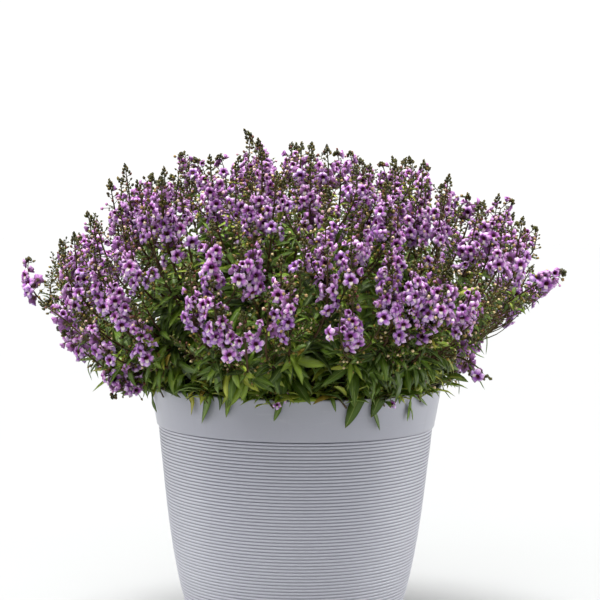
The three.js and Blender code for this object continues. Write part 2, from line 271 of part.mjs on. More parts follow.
    spikes: [
      [[-22,-4.4,393,1.9], [-32.9,0,461.1,5.5], [-36.9,0,489.6,8.5], [-54.7,0,515.4,1.5]],
      [[-11.5,-19.4,390.4,1.9], [-8.1,-29,456.6,5.5], [-6.7,-30.6,483.7,8.5], [-6.6,-26,502.9,1.5]] ] },
  { stem: [[-64.3,55.2,231,2.2], [-86.4,74.5,284.4,2.0], [-108.6,93.3,318.9,2.2]],
    spikes: [
      [[-136.4,104.4,340.5,1.9], [-164.8,121.7,386.5,5.5], [-170.9,130.4,416.4,8.5], [-177.5,139.9,449.3,1.5]],
      [[-118.2,122.9,340,1.9], [-135.2,154.4,384.9,5.5], [-143.2,160.8,409.4,8.5], [-153.5,168.9,440.4,1.5]],
      [[-143.4,114.3,326.2,1.9], [-182.2,138.2,359.5,5.5], [-191.3,144.1,383.8,8.5], [-202.9,151.6,414.6,1.5]] ] },
  { stem: [[-60.9,47.6,231,2.4], [-82,63.6,267.1,1.8], [-103.6,79.4,284.2,1.0]],
    spikes: [
      [[-105,94,272.9,1.1], [-120.5,118.9,273.1,3.8], [-132.2,129.7,281.9,8.5], [-148.6,144.1,306.7,1.5]],
      [[-122.4,83.7,272.4,1.0], [-151,99.8,280.2,5.0], [-164.3,111.4,304.4,8.5], [-179.6,124.7,332.2,1.5]],
      [[-141.1,108.8,286.4,1.1], [-185.3,137.7,313.9,5.5], [-199.5,142.7,341.4,8.5], [-215.3,148.1,372,1.5]] ] },
  { stem: [[58.5,62.9,231,2.5], [78.7,84.6,274.7,2.4], [99,106.3,299.4,2.1]],
    spikes: [
      [[120.1,142.3,309.1,1.9], [148.1,182.9,342.8,5.5], [158,193.3,366.8,8.5], [170,206,396,1.5]],
      [[105.7,112.6,278.2,1.4], [121.5,133.1,283.9,5.5], [133.5,149.1,308.4,8.5], [146.7,166.8,335.5,1.5]],
      [[125.2,124.2,294.5,1.9], [153.9,148.6,318,5.5], [159.7,156.5,340.4,8.5], [167.6,167.1,370.7,1.5]],
      [[128.9,134.1,328.5,1.9], [161.5,164.4,380.3,5.5], [168.7,171.1,405.4,8.5], [177.7,179.7,436.8,1.5]] ] },
];

// Leafy shoots round the rim. A leaf is given by its foot, its middle and its tip.
const SHOOTS = [
  { stem: [[-90.1,-49.9,231,1.8], [-102.3,-56.7,262,1.7], [-116.3,-64.5,282,1.4]],
    leaves: [
      [[-116.3,-64.5,281], [-131.6,-73.6,280.8], [-139.9,-86.1,244.1]],
      [[-114.6,-63.5,279], [-139.4,-57,279.5], [-148.8,-48.9,254.5]],
      [[-112.8,-62.5,277], [-119,-86.5,285.4], [-116.1,-110.1,258.5]],
      [[-109.3,-60.6,272], [-129.4,-40.2,288.9], [-146.9,-24.3,301.9]],
      [[-108.5,-60.2,270.9], [-101.7,-89,292.2], [-86.1,-107.7,304.6]] ] },
  { stem: [[-57.6,-85.4,231,1.8], [-65.4,-97,262,1.7], [-74.4,-110.3,282,1.4]],
    leaves: [
      [[-74.4,-110.3,281], [-75.9,-129.2,278], [-79.6,-138.7,247]],
      [[-73.3,-108.6,279], [-98.8,-109.3,277.7], [-116.2,-109.4,252.5]],
      [[-72.1,-106.9,277], [-65.6,-132.3,284.8], [-49.9,-152.7,266.7]],
      [[-70,-103.7,271.9], [-101.7,-92.3,287.5], [-122.4,-86.9,305.9]],
      [[-69.3,-102.8,271], [-49.8,-122.3,293.1], [-38.5,-134.6,304.1]] ] },
  { stem: [[-14.3,-102,231,1.8], [-16.3,-115.9,262,1.7], [-18.5,-131.7,282,1.4]],
    leaves: [
      [[-18.5,-131.7,281], [-11.7,-148.5,277.7], [-15.1,-161.7,241.9]],
      [[-18.2,-129.7,279], [-35.6,-144.6,278.3], [-50.9,-148.6,250.9]],
      [[-18,-127.7,277], [3.1,-147.6,284.4], [21.9,-160.8,259.8]],
      [[-17.5,-124,271.7], [-55.4,-127.3,287.8], [-78.3,-130.7,300]],
      [[-17.1,-123.1,270.6], [9.2,-133.9,291.5], [31.6,-136.6,303.4]] ] },
  { stem: [[33.5,-97.4,231,1.8], [38.1,-110.6,262,1.7], [43.3,-125.8,282,1.4]],
    leaves: [
      [[43.3,-125.8,281], [60.6,-140.6,279.1], [58.1,-148.9,247.1]],
      [[42.6,-123.9,279], [36,-146.1,278.4], [21.8,-157.7,256]],
      [[42,-122,276.9], [72.5,-128.6,285.4], [94,-128.7,266.7]],
      [[40.7,-118.2,272], [16.9,-135.5,290], [-12.6,-151.1,304.6]],
      [[40.7,-117.3,270.6], [68.1,-113.1,291.3], [86.2,-111.9,306.5]] ] },
  { stem: [[59.1,-84.4,231,1.8], [67.1,-95.8,262,1.7], [76.3,-108.9,282,1.4]],
    leaves: [
      [[76.3,-108.9,281], [92,-121.7,280.5], [97.8,-127.8,241.5]],
      [[75.1,-107.3,279], [64.6,-133.8,277.7], [62.6,-149,253.5]],
      [[74,-105.7,277], [104.5,-104.7,286.4], [123.9,-104.2,261]],
      [[71.8,-102.6,271.9], [53.1,-126.5,289.8], [28,-146,306]],
      [[71.5,-101.6,270.6], [95.9,-93.6,292.7], [112,-85.6,311.7]] ] },
  { stem: [[84.4,-59.1,231,1.8], [95.8,-67.1,262,1.7], [108.9,-76.3,282,1.4]],
    leaves: [
      [[108.9,-76.3,281], [125.9,-83.8,278.2], [137.8,-83.9,250.9]],
      [[107.3,-75.1,279], [112.8,-98.2,279], [112.5,-109.6,247.5]],
      [[105.7,-74,277], [131.5,-62.3,286.4], [150.2,-59.1,257.5]],
      [[102.4,-71.7,272], [93.9,-101.8,290.2], [80.5,-123.9,299.4]],
      [[101.6,-71.1,271], [121.7,-56.7,291.2], [135.8,-37.2,304.4]] ] },
  { stem: [[102.2,12.6,231,1.8], [116.1,14.3,262,1.7], [132,16.2,282,1.4]],
    leaves: [
      [[130,16,279], [146.5,3.8,281.6], [158.2,-14.1,250]],
      [[128,15.7,277], [141.8,38,283.7], [147,63.8,267]],
      [[124.1,15.2,272], [136.5,-17.8,292.4], [141.6,-44.1,303.1]],
      [[123.1,15.1,271], [123.7,42.2,291.1], [125.6,64.2,309.3]] ] },
  { stem: [[70.2,75.3,231,1.8], [79.8,85.6,262,1.7], [90.7,97.3,282,1.4]],
    leaves: [
      [[90.7,97.3,281], [99.7,111.8,281.3], [106.2,124.2,249.7]],
      [[88,94.3,277], [80.7,122.2,282.5], [73.8,141.5,259.6]],
      [[85.2,91.4,272], [111.2,80.9,290.7], [135.5,60.1,300.7]],
      [[84.6,90.7,271], [68.3,111.2,289.5], [54.6,127.2,309.2]] ] },
  { stem: [[0,103,231,1.8], [0,117,262,1.7], [0,133,282,1.4]],
    leaves: [
      [[0,133,281], [-6.7,152.7,277.9], [-14.5,162.7,248.2]],
      [[0,129.1,277], [-25.6,144.5,285.4], [-44.6,155.1,260.2]],
      [[-0.1,124.9,272.2], [32.5,131.2,292.4], [50.7,142.7,306.9]],
      [[0.1,123.9,271.2], [-29.9,130.9,294], [-42.9,132.5,312.2]] ] },
  { stem: [[-68.9,76.5,231,1.8], [-78.3,86.9,262,1.7], [-89,98.8,282,1.4]],
    leaves: [
      [[-89,98.8,281], [-108.5,107.8,277.7], [-109.5,116.9,246.1]],
      [[-87.7,97.4,279], [-85.3,123.4,281.7], [-81.2,139.4,255.2]],
      [[-86.3,95.9,277], [-115.5,93.5,284.2], [-137.7,85.8,258.2]],
      [[-83.7,93.2,271.6], [-62.8,120.3,291.5], [-57.7,140.4,300.1]],
      [[-83,92.2,271], [-106,80.5,290.4], [-124.2,63.6,306.3]] ] },
  { stem: [[-102,14.3,231,1.8], [-115.9,16.3,262,1.7], [-131.7,18.5,282,1.3]],
    leaves: [
      [[-131.7,18.5,281], [-148.4,13.7,279.1], [-159.4,7.9,242.5]],
      [[-127.7,18,277], [-148.7,4.7,282.9], [-160.2,-19.8,263.7]],
      [[-123,17.2,270.8], [-132.7,-6.5,290.7], [-138.3,-24.7,311.7]] ] },
];

// ---- solids ----
const wasm = await Module();
wasm.setup();

function toSolid(geometry) {
  const g = geometry.clone();
  g.deleteAttribute("normal");
  g.deleteAttribute("uv");
  const m = mergeVertices(g, 1e-4);
  return new wasm.Manifold(
    new wasm.Mesh({
      numProp: 3,
      vertProperties: new Float32Array(m.attributes.position.array),
      triVerts: new Uint32Array(m.index.array),
    }),
  );
}

function toMesh(name, solid, color, roughness) {
  const m = solid.getMesh();
  const position = new Float32Array(m.numVert * 3);
  for (let i = 0; i < m.numVert; i++)
    for (let k = 0; k < 3; k++)
      position[3 * i + k] = m.vertProperties[i * m.numProp + k];
  const g = new THREE.BufferGeometry();
  g.setAttribute("position", new THREE.BufferAttribute(position, 3));
  g.setIndex(new THREE.BufferAttribute(new Uint32Array(m.triVerts), 1));
  g.computeVertexNormals();
  const mesh = new THREE.Mesh(
    g,
    new THREE.MeshStandardMaterial({ color, roughness, metalness: 0 }),
  );
  mesh.name = name;
  return mesh;
}

// A closed cylinder bent along rings [x, y, z, radius], with its section squashed to
// flat where a leaf is wanted. The wide side of a leaf lies across the hanging line.
function alongRings(rings, sides, flat) {
  const n = rings.length;
  const g = new THREE.CylinderGeometry(1, 1, n - 1, sides, n - 1, false);
  const at = rings.map((r) => new THREE.Vector3(r[0], r[1], r[2]));
  const frames = at.map((p, i) => {
    const a = at[Math.max(0, i - 1)];
    const b = at[Math.min(n - 1, i + 1)];
    const t = b.clone().sub(a).normalize();
    let side = new THREE.Vector3(-p.y, p.x, 0);
    if (side.lengthSq() < 1) side.set(1, 0, 0);
    side.addScaledVector(t, -side.dot(t)).normalize();
    return { side, up: new THREE.Vector3().crossVectors(t, side).normalize() };
  });
  const pos = g.attributes.position;
  const v = new THREE.Vector3();
  for (let i = 0; i < pos.count; i++) {
    v.fromBufferAttribute(pos, i);
    // heights run from the foot of the cylinder to its top, one ring for each step
    const k = Math.round(v.y + (n - 1) / 2);
    const f = frames[k];
    const r = rings[k][3];
    const w = at[k]
      .clone()
      .addScaledVector(f.side, v.z * r)
      .addScaledVector(f.up, v.x * r * (flat || 1));
    pos.setXYZ(i, w.x, w.y, w.z);
  }
  return toSolid(g);
}

// ---- pot ----
const outer = WALL_PROFILE.map(([z, r]) => new THREE.Vector2(r, z));
const bandFoot = POT_HEIGHT - BAND_DEPTH;
const potProfile = [
  new THREE.Vector2(0, 0),
  ...outer,
  new THREE.Vector2(BAND_FOOT_RADIUS, bandFoot),
  new THREE.Vector2(RIM_RADIUS - 0.2, POT_HEIGHT - 1),
  new THREE.Vector2(RIM_RADIUS - 0.9, POT_HEIGHT),
  new THREE.Vector2(RIM_RADIUS - WALL - 0.4, POT_HEIGHT),
  new THREE.Vector2(BAND_FOOT_RADIUS - WALL - 0.6, bandFoot),
  new THREE.Vector2(126.8 - WALL, 123),
  new THREE.Vector2(114.8 - WALL, 57),
  new THREE.Vector2(97.5 - WALL, 12),
  new THREE.Vector2(90.5 - WALL, FLOOR),
  new THREE.Vector2(0, FLOOR),
];
// the profile turns about +Y, so it is stood up on +Z
function turned(profile) {
  const g = new THREE.LatheGeometry(profile, POT_SIDES);
  g.rotateX(Math.PI / 2);
  return toSolid(g);
}
const pot = turned(potProfile);

// ---- branches and shoots ----
// The first spike of a branch carries its stem on. Each other one starts a little way
// down inside the stem, so that they are one piece.
function branchRings(b) {
  const top = b.stem[b.stem.length - 1];
  const below = b.stem[b.stem.length - 2];
  const d = new THREE.Vector3(top[0] - below[0], top[1] - below[1], top[2] - below[2]).normalize();
  const inStem = [top[0] - 4 * d.x, top[1] - 4 * d.y, top[2] - 4 * d.z, top[3] * 0.8];
  return b.spikes.map((s, i) => (i ? [inStem, ...s] : [...b.stem, ...s]));
}

const stemTubes = [];
const branches = BRANCHES.map((b) => {
  stemTubes.push(b.stem);
  return branchRings(b)
    .map((rings) => alongRings(rings, STEM_SIDES))
    .reduce((whole, spike) => whole.add(spike));
});

const shoots = SHOOTS.map((s) => {
  let solid = alongRings(s.stem, STEM_SIDES);
  stemTubes.push(s.stem);
  for (const [foot, middle, tip] of s.leaves) {
    const half = LEAF_WIDTH / 2;
    const mix = (p, q, u) => p.map((c, i) => c * (1 - u) + q[i] * u);
    const rings = [
      [...foot, 0.9],
      [...mix(foot, middle, 0.9), half],
      [...tip, 0.5],
    ];
    solid = solid.add(alongRings(rings, 4, LEAF_THICKNESS / LEAF_WIDTH));
  }
  return solid;
});

// ---- soil ----
// It fills the pot, rises slightly to the middle, and has a hole for each stem.
const soilProfile = [
  new THREE.Vector2(0, FLOOR + GAP),
  new THREE.Vector2(90.5 - WALL - 2 * GAP, FLOOR + GAP),
  new THREE.Vector2(114.8 - WALL - 2 * GAP, 57),
  new THREE.Vector2(126.8 - WALL - 2 * GAP, 123),
  new THREE.Vector2(BAND_FOOT_RADIUS - WALL - 0.6 - 2 * GAP, bandFoot),
  new THREE.Vector2(BAND_FOOT_RADIUS - WALL + 0.4, SOIL_EDGE - 2),
  new THREE.Vector2(118, SOIL_EDGE + 1.5),
  new THREE.Vector2(60, SOIL_MIDDLE - 1),
  new THREE.Vector2(0, SOIL_MIDDLE),
];
let soil = turned(soilProfile);
for (const [foot, next] of stemTubes.map((s) => [s[0], s[1]])) {
  const d = new THREE.Vector3(next[0] - foot[0], next[1] - foot[1], next[2] - foot[2]).normalize();
  const hole = [
    [foot[0] - d.x, foot[1] - d.y, foot[2] - d.z, foot[3] + 1.6],
    [foot[0] + 18 * d.x, foot[1] + 18 * d.y, foot[2] + 18 * d.z, foot[3] + 1.6],
  ];
  soil = soil.subtract(alongRings(hole, 4));
}

// ---- the whole ----
const plant = new THREE.Group();
branches.forEach((s, i) =>
  plant.add(toMesh("flowering_branch_" + String(i + 1).padStart(2, "0"), s, 0x8a6a9c, 0.6)),
);
shoots.forEach((s, i) =>
  plant.add(toMesh("leafy_shoot_" + String(i + 1).padStart(2, "0"), s, 0x4c6a2c, 0.55)),
);

const group = new THREE.Group();
group.add(toMesh("pot", pot, 0xc2c2cb, 0.5));
group.add(toMesh("soil", soil, 0x2e241c, 0.95));
group.add(plant);

export default group;
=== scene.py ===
import math

import bpy
import numpy as np
from mathutils import Matrix, Vector


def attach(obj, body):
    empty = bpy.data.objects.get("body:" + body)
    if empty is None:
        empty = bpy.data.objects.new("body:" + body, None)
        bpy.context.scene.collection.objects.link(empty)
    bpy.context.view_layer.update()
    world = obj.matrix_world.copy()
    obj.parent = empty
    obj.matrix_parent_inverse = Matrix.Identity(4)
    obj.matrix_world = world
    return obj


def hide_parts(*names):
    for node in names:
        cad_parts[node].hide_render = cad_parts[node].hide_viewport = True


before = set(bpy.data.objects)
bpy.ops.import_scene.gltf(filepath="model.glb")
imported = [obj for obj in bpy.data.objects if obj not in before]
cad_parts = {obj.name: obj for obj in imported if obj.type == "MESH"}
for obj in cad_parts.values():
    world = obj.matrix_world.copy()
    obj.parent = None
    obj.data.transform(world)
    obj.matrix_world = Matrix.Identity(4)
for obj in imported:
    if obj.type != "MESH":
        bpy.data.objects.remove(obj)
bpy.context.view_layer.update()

MM = 0.001
GOLDEN = math.radians(137.508)
UP = np.array([0.0, 0.0, 1.0])

# ---------------------------------------------------------------------------
# Layout, in millimetres. A ring is x, y, z. The tables follow the CAD model:
# each branch has its stem (foot, middle, fork) and its spikes (bare shoot,
# foot of the flower head, flower head, bud tip), then half the length of the
# flower zone.
# ---------------------------------------------------------------------------
BRANCHES = [
    ([(-53.5, 71.5, 231), (-71.8, 94.9, 276), (-90.4, 120.5, 299.3)], [
      (-106.8, 133.5, 284.6, -129.9, 158.6, 297.1, -140.3, 174.3, 323.2, -151.7, 191.5, 351.5, 20.1),
      (-120.4, 139.2, 303.7, -149.8, 165.7, 334.9, -154.5, 176.9, 361.8, -160, 190, 393, 18.4),
      (-111, 160.7, 316.6, -129.2, 198.3, 360.6, -130.5, 202.9, 387, -131.9, 208.7, 420.2, 16.8),
      (-106.2, 153, 296.3, -126.4, 192.8, 320, -133.3, 205.6, 344.5, -141.6, 220.9, 373.9, 17.8)]),
    ([(33.9, -85.2, 231), (43.7, -114.7, 276.5), (57.2, -145.4, 300.1)], [
      (72.3, -177.3, 315.1, 83, -217, 353.1, 81.5, -229.9, 381.5, 79.9, -244.3, 415.2, 19.5),
      (84.2, -170.9, 313.9, 107.5, -204.8, 351.3, 109.2, -217.9, 381.7, 110.9, -231.9, 416.1, 20.7),
      (72.1, -178, 306, 84.1, -219.5, 336.1, 84.1, -233.1, 362.2, 84.1, -248.9, 394.7, 18.4),
      (80, -169.9, 300.4, 100, -206.3, 325.1, 101.4, -220.2, 348.8, 103.2, -237.4, 379.9, 17.2),
      (53.1, -175.6, 296.9, 49.6, -217.9, 317.9, 49.6, -237.2, 347, 49.6, -257, 378.8, 21.8)]),
    ([(67.1, 39.9, 231), (89.4, 55.1, 268.1), (113.2, 67.8, 286)], [
      (160, 87.3, 298, 209.5, 114.6, 333.3, 221, 126, 359.2, 234.1, 138.8, 388.6, 19.1),
      (133.5, 66.9, 273.2, 161.9, 73.4, 267.1, 174.6, 80.9, 295.4, 188.5, 89.1, 326.4, 19.9),
      (147.5, 76, 284.3, 185.8, 92.2, 309.6, 195.6, 101, 335, 207.3, 111.5, 365.4, 17.9),
      (105.2, 75.8, 272.8, 115.2, 99, 272.8, 133.5, 116.9, 279, 153, 136.1, 301.3, 20.7),
      (132.4, 89.3, 278, 165.9, 119.9, 291.9, 180.6, 130.3, 308.9, 200.3, 144.3, 331.6, 15.5)]),
    ([(-71.9, -43, 231), (-96.6, -57.7, 270.6), (-121.5, -72.8, 291.2)], [
      (-150.1, -79, 276.8, -183, -95.8, 290.8, -192.4, -107.3, 316.2, -203.4, -120.9, 347.9, 18.4),
      (-164.2, -91.5, 304, -206.8, -114, 343, -213.8, -120.4, 368.8, -222.4, -128.4, 402.6, 17.2),
      (-131.8, -68.7, 295.7, -154.6, -85.1, 282.2, -166.1, -100.9, 268.3, -174.7, -112.8, 257.8, 15),
      (-140.9, -102.2, 284.4, -174, -135.6, 302, -188.4, -143.4, 321, -207.4, -153.9, 346.2, 15.7)]),
    ([(14.5, 7.8, 231), (19.6, 10.4, 297.8), (24.6, 13.1, 345.6)], [
      (18, 15.9, 387.8, 12.7, 19.3, 452.2, 12.7, 20.4, 479.4, 13.3, 16, 503.4, 17),
      (35.1, 0.9, 391.5, 42.1, -9.7, 458.9, 40.8, -10.2, 482.9, 37.2, -6, 493.6, 15),
      (40.4, 31, 390.1, 54.3, 48.6, 456.4, 55.1, 50.8, 478.6, 52.3, 46, 494.8, 14)]),
    ([(75.8, -23.2, 231), (101.9, -31.2, 278.6), (128.1, -39.2, 307.2)], [
      (165.9, -42.6, 337.2, 201.1, -48.3, 391.3, 204.8, -51, 418, 216.1, -46, 426.5, 17),
      (141.8, -39.4, 324.8, 160.6, -53.2, 313.5, 166.7, -64.1, 293, 171.2, -72.2, 277.6, 15),
      (168.4, -57.3, 317.3, 206.6, -72.5, 355.1, 212.5, -73, 388, 218.7, -73.6, 422.9, 20.9)]),
    ([(16.1, 83.1, 230.8), (20.9, 111.8, 270.4), (26.6, 140.5, 290.7)], [
      (25.1, 149.2, 273.3, 27.2, 178.7, 268.2, 26.7, 200.2, 290.6, 26, 224.2, 315.7, 19.4),
      (38.3, 183.8, 311.2, 52.8, 230.3, 354.5, 57.3, 241.3, 382.8, 62.3, 253.7, 414.9, 19.2),
      (21.9, 185.2, 297.5, 22.7, 233.1, 329.3, 27.2, 245.1, 359.2, 32, 257.9, 391.5, 20.3),
      (42.4, 154.5, 279.3, 59.7, 187.8, 289.5, 63.1, 207.2, 308.5, 67.2, 231.2, 332, 17.1),
      (25.5, 165.2, 286.7, 28.4, 205.5, 304.5, 31.1, 223.1, 324.6, 34.6, 245.2, 349.8, 16.8)]),
    ([(-19.4, -67.6, 231), (-26.1, -91, 294.4), (-32.8, -114.3, 338.7)], [
      (-55, -128.4, 372.5, -75.7, -149.9, 428.2, -78.1, -159.7, 455.9, -80.9, -171.1, 490.2, 18.4),
      (-35.2, -144.7, 366.6, -38.6, -181, 417.1, -40, -192.2, 444.3, -41.7, -205.2, 478.1, 18.4),
      (-29, -146, 369, -23.4, -183.3, 421.5, -21.5, -192.4, 443.4, -18.9, -205, 475.9, 14.9),
      (-45.8, -134.8, 374.2, -56.5, -162.1, 431.3, -56.5, -169.9, 452, -56.5, -181.4, 484.4, 13.8)]),
    ([(-65.4, -3.9, 231), (-88, -5.2, 294.4), (-110.6, -6.5, 338.9)], [
      (-144.8, 2.1, 371.5, -175.5, 9.7, 428.2, -177.6, 10.2, 452.1, -176.6, 6, 465.2, 15),
      (-133.1, -17.9, 369.5, -151.6, -29, 424.4, -151.6, -30.6, 451.6, -143.2, -26, 470.9, 17)]),
    ([(-11.9, 58, 231), (-16.1, 78, 295.7), (-20.2, 97.9, 341.3)], [
      (-27, 129.8, 374, -34.2, 166.4, 428.9, -35.8, 176.5, 456.1, -37.6, 188.5, 488.2, 18.2),
      (-5.9, 112.4, 380.3, 3.1, 133.9, 440.5, 0.2, 144.1, 470.2, -2.9, 155.4, 503.1, 19.7),
      (-41.8, 113.8, 374.8, -58.4, 134.4, 431.2, -57.3, 141.9, 459.8, -56.1, 150.7, 493.1, 18.5)]),
    ([(-78.1, 13.6, 231), (-105, 18.3, 267.7), (-132.2, 23, 286.3)], [
      (-165.8, 20.3, 273.3, -212.8, 19.3, 286.4, -230.2, 20.4, 307.2, -242.5, 16, 313.8, 17),
      (-142.6, 18.8, 272.9, -170.8, 14.6, 274.1, -193.2, 13.9, 298, -217.4, 13.2, 323.5, 20.5),
      (-147.9, 41.5, 272.9, -182.7, 56.7, 283.3, -205.5, 59, 307.5, -229.8, 61.2, 333.1, 20.8),
      (-169.2, 32.6, 286.7, -214.7, 45.5, 313.3, -229.9, 50.6, 339.1, -247.2, 56.5, 368.5, 19)]),
    ([(47.1, 50.2, 231), (63.3, 67.5, 293), (79.5, 84.8, 336)], [
      (93.5, 115.5, 365.9, 112.1, 146, 419, 117.9, 150.2, 442.1, 125.8, 156, 473.6, 15.1),
      (115.3, 102.6, 356.1, 150.3, 122.9, 401.4, 155, 127.6, 425.1, 161.2, 133.9, 457.1, 15.4),
      (79.1, 92.9, 377, 90.7, 107.4, 437, 100.8, 114, 459.4, 114.1, 122.7, 488.8, 15.9)]),
    ([(-27.2, -85.3, 231), (-36, -113.7, 275.8), (-45.6, -143.6, 299.3)], [
      (-68.6, -176.8, 303.9, -89.6, -217.5, 334.9, -92, -231.1, 360.8, -94.9, -247.1, 393.2, 18.4),
      (-58.5, -175.8, 298.5, -70.4, -217.3, 324, -72, -234.4, 352.3, -73.8, -252.8, 384.4, 20.7),
      (-61.7, -176, 320.1, -74.6, -214.5, 365.1, -74.6, -229.7, 398.6, -74.6, -244.7, 433.5, 23),
      (-43.8, -168.7, 287.2, -43.7, -207.7, 301.1, -45.3, -227.4, 325.3, -47.2, -249.4, 354.2, 19.5),
      (-52.9, -170.1, 291.4, -61.3, -209.3, 309.4, -63.5, -224.8, 329.9, -66.4, -244.9, 358.4, 16.1)]),
    ([(45.5, -61, 231), (61.3, -82.1, 291.9), (77, -103.2, 333.8)], [
      (83.3, -127.1, 364.6, 88.4, -157, 418, 88.4, -168.2, 449.2, 88.4, -180.2, 484.4, 20.7),
      (94.5, -132.2, 357.7, 111.3, -166.3, 405.3, 113.9, -177, 434.4, 116.7, -189.1, 469, 19.5),
      (104.1, -119.2, 361.7, 130.4, -141.4, 412.7, 134.3, -150.3, 440.5, 138.9, -160.7, 474.9, 18.4),
      (102.6, -133.7, 352.4, 126.1, -169.1, 395.7, 128.3, -178.6, 421.4, 131.2, -190.2, 455.2, 17.2),
      (96, -112.8, 370.4, 113.1, -129.3, 428.9, 114.4, -136.8, 453.5, 116.1, -146.5, 487.5, 16.1)]),
    ([(69, 0, 231), (92.8, 0, 294.1), (116.7, 0, 338.2)], [
      (134.7, 5, 372.6, 149.5, 9.7, 430.8, 149.5, 10.2, 451.6, 142.9, 6, 462.9, 13),
      (146, -5, 370.3, 170, -9.7, 426.6, 170, -10.2, 447.4, 169.2, -6, 450.4, 13),
      (158.6, 0, 363.6, 198.2, 0, 413.9, 202.7, 0, 439.2, 215.7, 0, 447.8, 16)]),
    ([(84.6, 13, 231), (113.8, 17.5, 274.9), (143.3, 21.6, 299.8)], [
      (185.7, 19.9, 329.5, 225.8, 19.3, 383.3, 230.6, 20.4, 410, 241.1, 16, 420.5, 17),
      (180.1, 9.9, 317.4, 233.4, 0, 351.2, 254.2, 0, 368.7, 269.2, 0, 376.4, 17),
      (171.2, 26.6, 298.8, 208.9, 33, 324, 224.2, 35.7, 351.1, 241.3, 38.8, 381.3, 19.5),
      (147.6, 22.5, 272, 165.1, 30.9, 272.9, 181.7, 37.8, 295.9, 199.5, 45.1, 325.6, 20.7),
      (185.3, 49.6, 305.1, 224.1, 79.8, 338.1, 228.2, 87.3, 366.4, 233, 96, 399.4, 18.5)]),
    ([(-50.3, -67.2, 231), (-67.6, -90.3, 288.5), (-85, -113.5, 327.1)], [
      (-108.5, -129.1, 352.3, -133.6, -151.4, 400.8, -140.1, -161.9, 431.5, -147.1, -173.1, 466.3, 20.7),
      (-105.1, -143, 344.9, -126.4, -177.9, 387.2, -130.9, -187.7, 412.5, -136.4, -199.7, 445.7, 17.2),
      (-90.5, -140.8, 354.8, -98.9, -174, 405.2, -102.9, -185.2, 434, -107.4, -197.7, 468.2, 19.5),
      (-99.7, -142.4, 351, -115.7, -176.7, 398.3, -118.8, -185.2, 420.4, -123.1, -196.9, 452.9, 14.9),
      (-120.8, -133.5, 342.8, -154, -159.5, 383.8, -157.7, -168.3, 409.6, -162.2, -179.2, 443.4, 17.2)]),
    ([(-23.1, 69.1, 231), (-31.1, 92.9, 263.7), (-39.1, 116.8, 277.5)], [
      (-46, 138.9, 272, -57.8, 172.7, 266.6, -63.8, 189, 292, -71, 207.1, 320.6, 19.2)]),
    ([(54.7, -71.6, 231), (72.4, -96.4, 275.5), (92.7, -121.8, 298)], [
      (109.6, -155.9, 306.7, 127.4, -196, 340.2, 131.7, -208.8, 370.4, 136.2, -222.4, 404.7, 20.7),
      (120.2, -145.7, 300.9, 149.1, -178.3, 328.9, 155.8, -192.2, 358.2, 163, -207, 391.4, 20.7),
      (105.6, -154.7, 299.2, 119, -197.1, 325.3, 121.3, -209.8, 347.6, 124.1, -226.2, 378.6, 16.1),
      (119.9, -127.5, 296.7, 151.6, -144.7, 320.7, 161.2, -157.2, 347.6, 171.9, -171.1, 377.7, 19.5)]),
    ([(-35.5, 3.9, 231), (-47.8, 5.3, 298.7), (-60, 6.6, 347.3)], [
      (-78.3, 23.1, 395.4, -105.9, 39, 461.9, -114.7, 40.6, 480.6, -120.5, 36, 490.8, 13),
      (-72.4, -7, 384.4, -88.8, -19.4, 444, -94.1, -20.4, 469, -103.4, -16, 487.1, 16),
      (-64.1, 8, 390.5, -71.7, 9.7, 455.4, -74.8, 10.2, 477.6, -80.6, 6, 489.3, 14)]),
    ([(-58.4, -37.4, 231), (-78.6, -50.3, 292.1), (-98.7, -63.2, 334.3)], [
      (-109.4, -58.3, 366.5, -118.2, -57.9, 422.7, -118.2, -61.3, 451.3, -123.5, -56, 470.5, 18),
      (-132.8, -89, 357.8, -165.7, -117.7, 405.6, -170.3, -124.6, 431.8, -176.1, -133.1, 466.2, 17.2),
      (-127, -82.2, 364, -154.2, -104.7, 417.2, -158.2, -111.6, 445.5, -162.8, -119.5, 480.6, 18.4)]),
    ([(14, -77.7, 231), (18.8, -104.5, 289.9), (23.6, -131.3, 329.8)], [
      (16.8, -150.3, 363.6, 11.2, -177.2, 419, 11.2, -189.7, 449.7, 11.2, -203, 484.4, 20.7),
      (22.3, -163, 357.5, 23.6, -201, 407.5, 25.5, -210.6, 429.3, 28.1, -223.9, 461.4, 14.9),
      (42.3, -144.7, 365.3, 60, -166.4, 422.2, 62.4, -177, 449.6, 65.2, -189.3, 483.6, 18.4),
      (40.2, -165.5, 346.6, 55.2, -205.6, 387.7, 56.8, -219, 417.9, 58.5, -233.4, 452.1, 20.7),
      (24.3, -173.7, 340.2, 24.9, -221.2, 375.9, 24.9, -235.3, 405.8, 24.9, -250.3, 439.7, 20.7)]),
    ([(40, 75.2, 231), (53.7, 101.2, 274.2), (67.5, 127.2, 298.4)], [
      (94.7, 159.6, 330.4, 122.8, 193, 385, 127.7, 198.6, 408.5, 134.4, 206.1, 440.1, 15.4),
      (67.9, 166, 300.5, 75.9, 209.7, 328.5, 84.4, 223, 357.6, 93.5, 237, 388.7, 20.7),
      (88.2, 149.8, 292.1, 116.5, 180.6, 311.8, 127.9, 192.9, 337.1, 141, 207, 366, 19),
      (63.9, 129.9, 272, 71, 152.2, 272.6, 80.9, 171.9, 289.7, 92.4, 194.8, 312.6, 18.4),
      (89.2, 161.9, 312.5, 113.2, 204.9, 349.4, 119.3, 219, 374.3, 126.4, 235.6, 403.5, 18.3)]),
    ([(33.2, -15.5, 231), (44.7, -20.8, 296.2), (56.2, -26.2, 342.3)], [
      (62.4, -36.8, 381.4, 65.9, -48.4, 443.1, 64.6, -51, 468.5, 60, -46, 488.1, 16),
      (80.4, -26.8, 380.8, 100.2, -29.1, 442.1, 100.2, -30.5, 466.1, 92, -26, 490.3, 15)]),
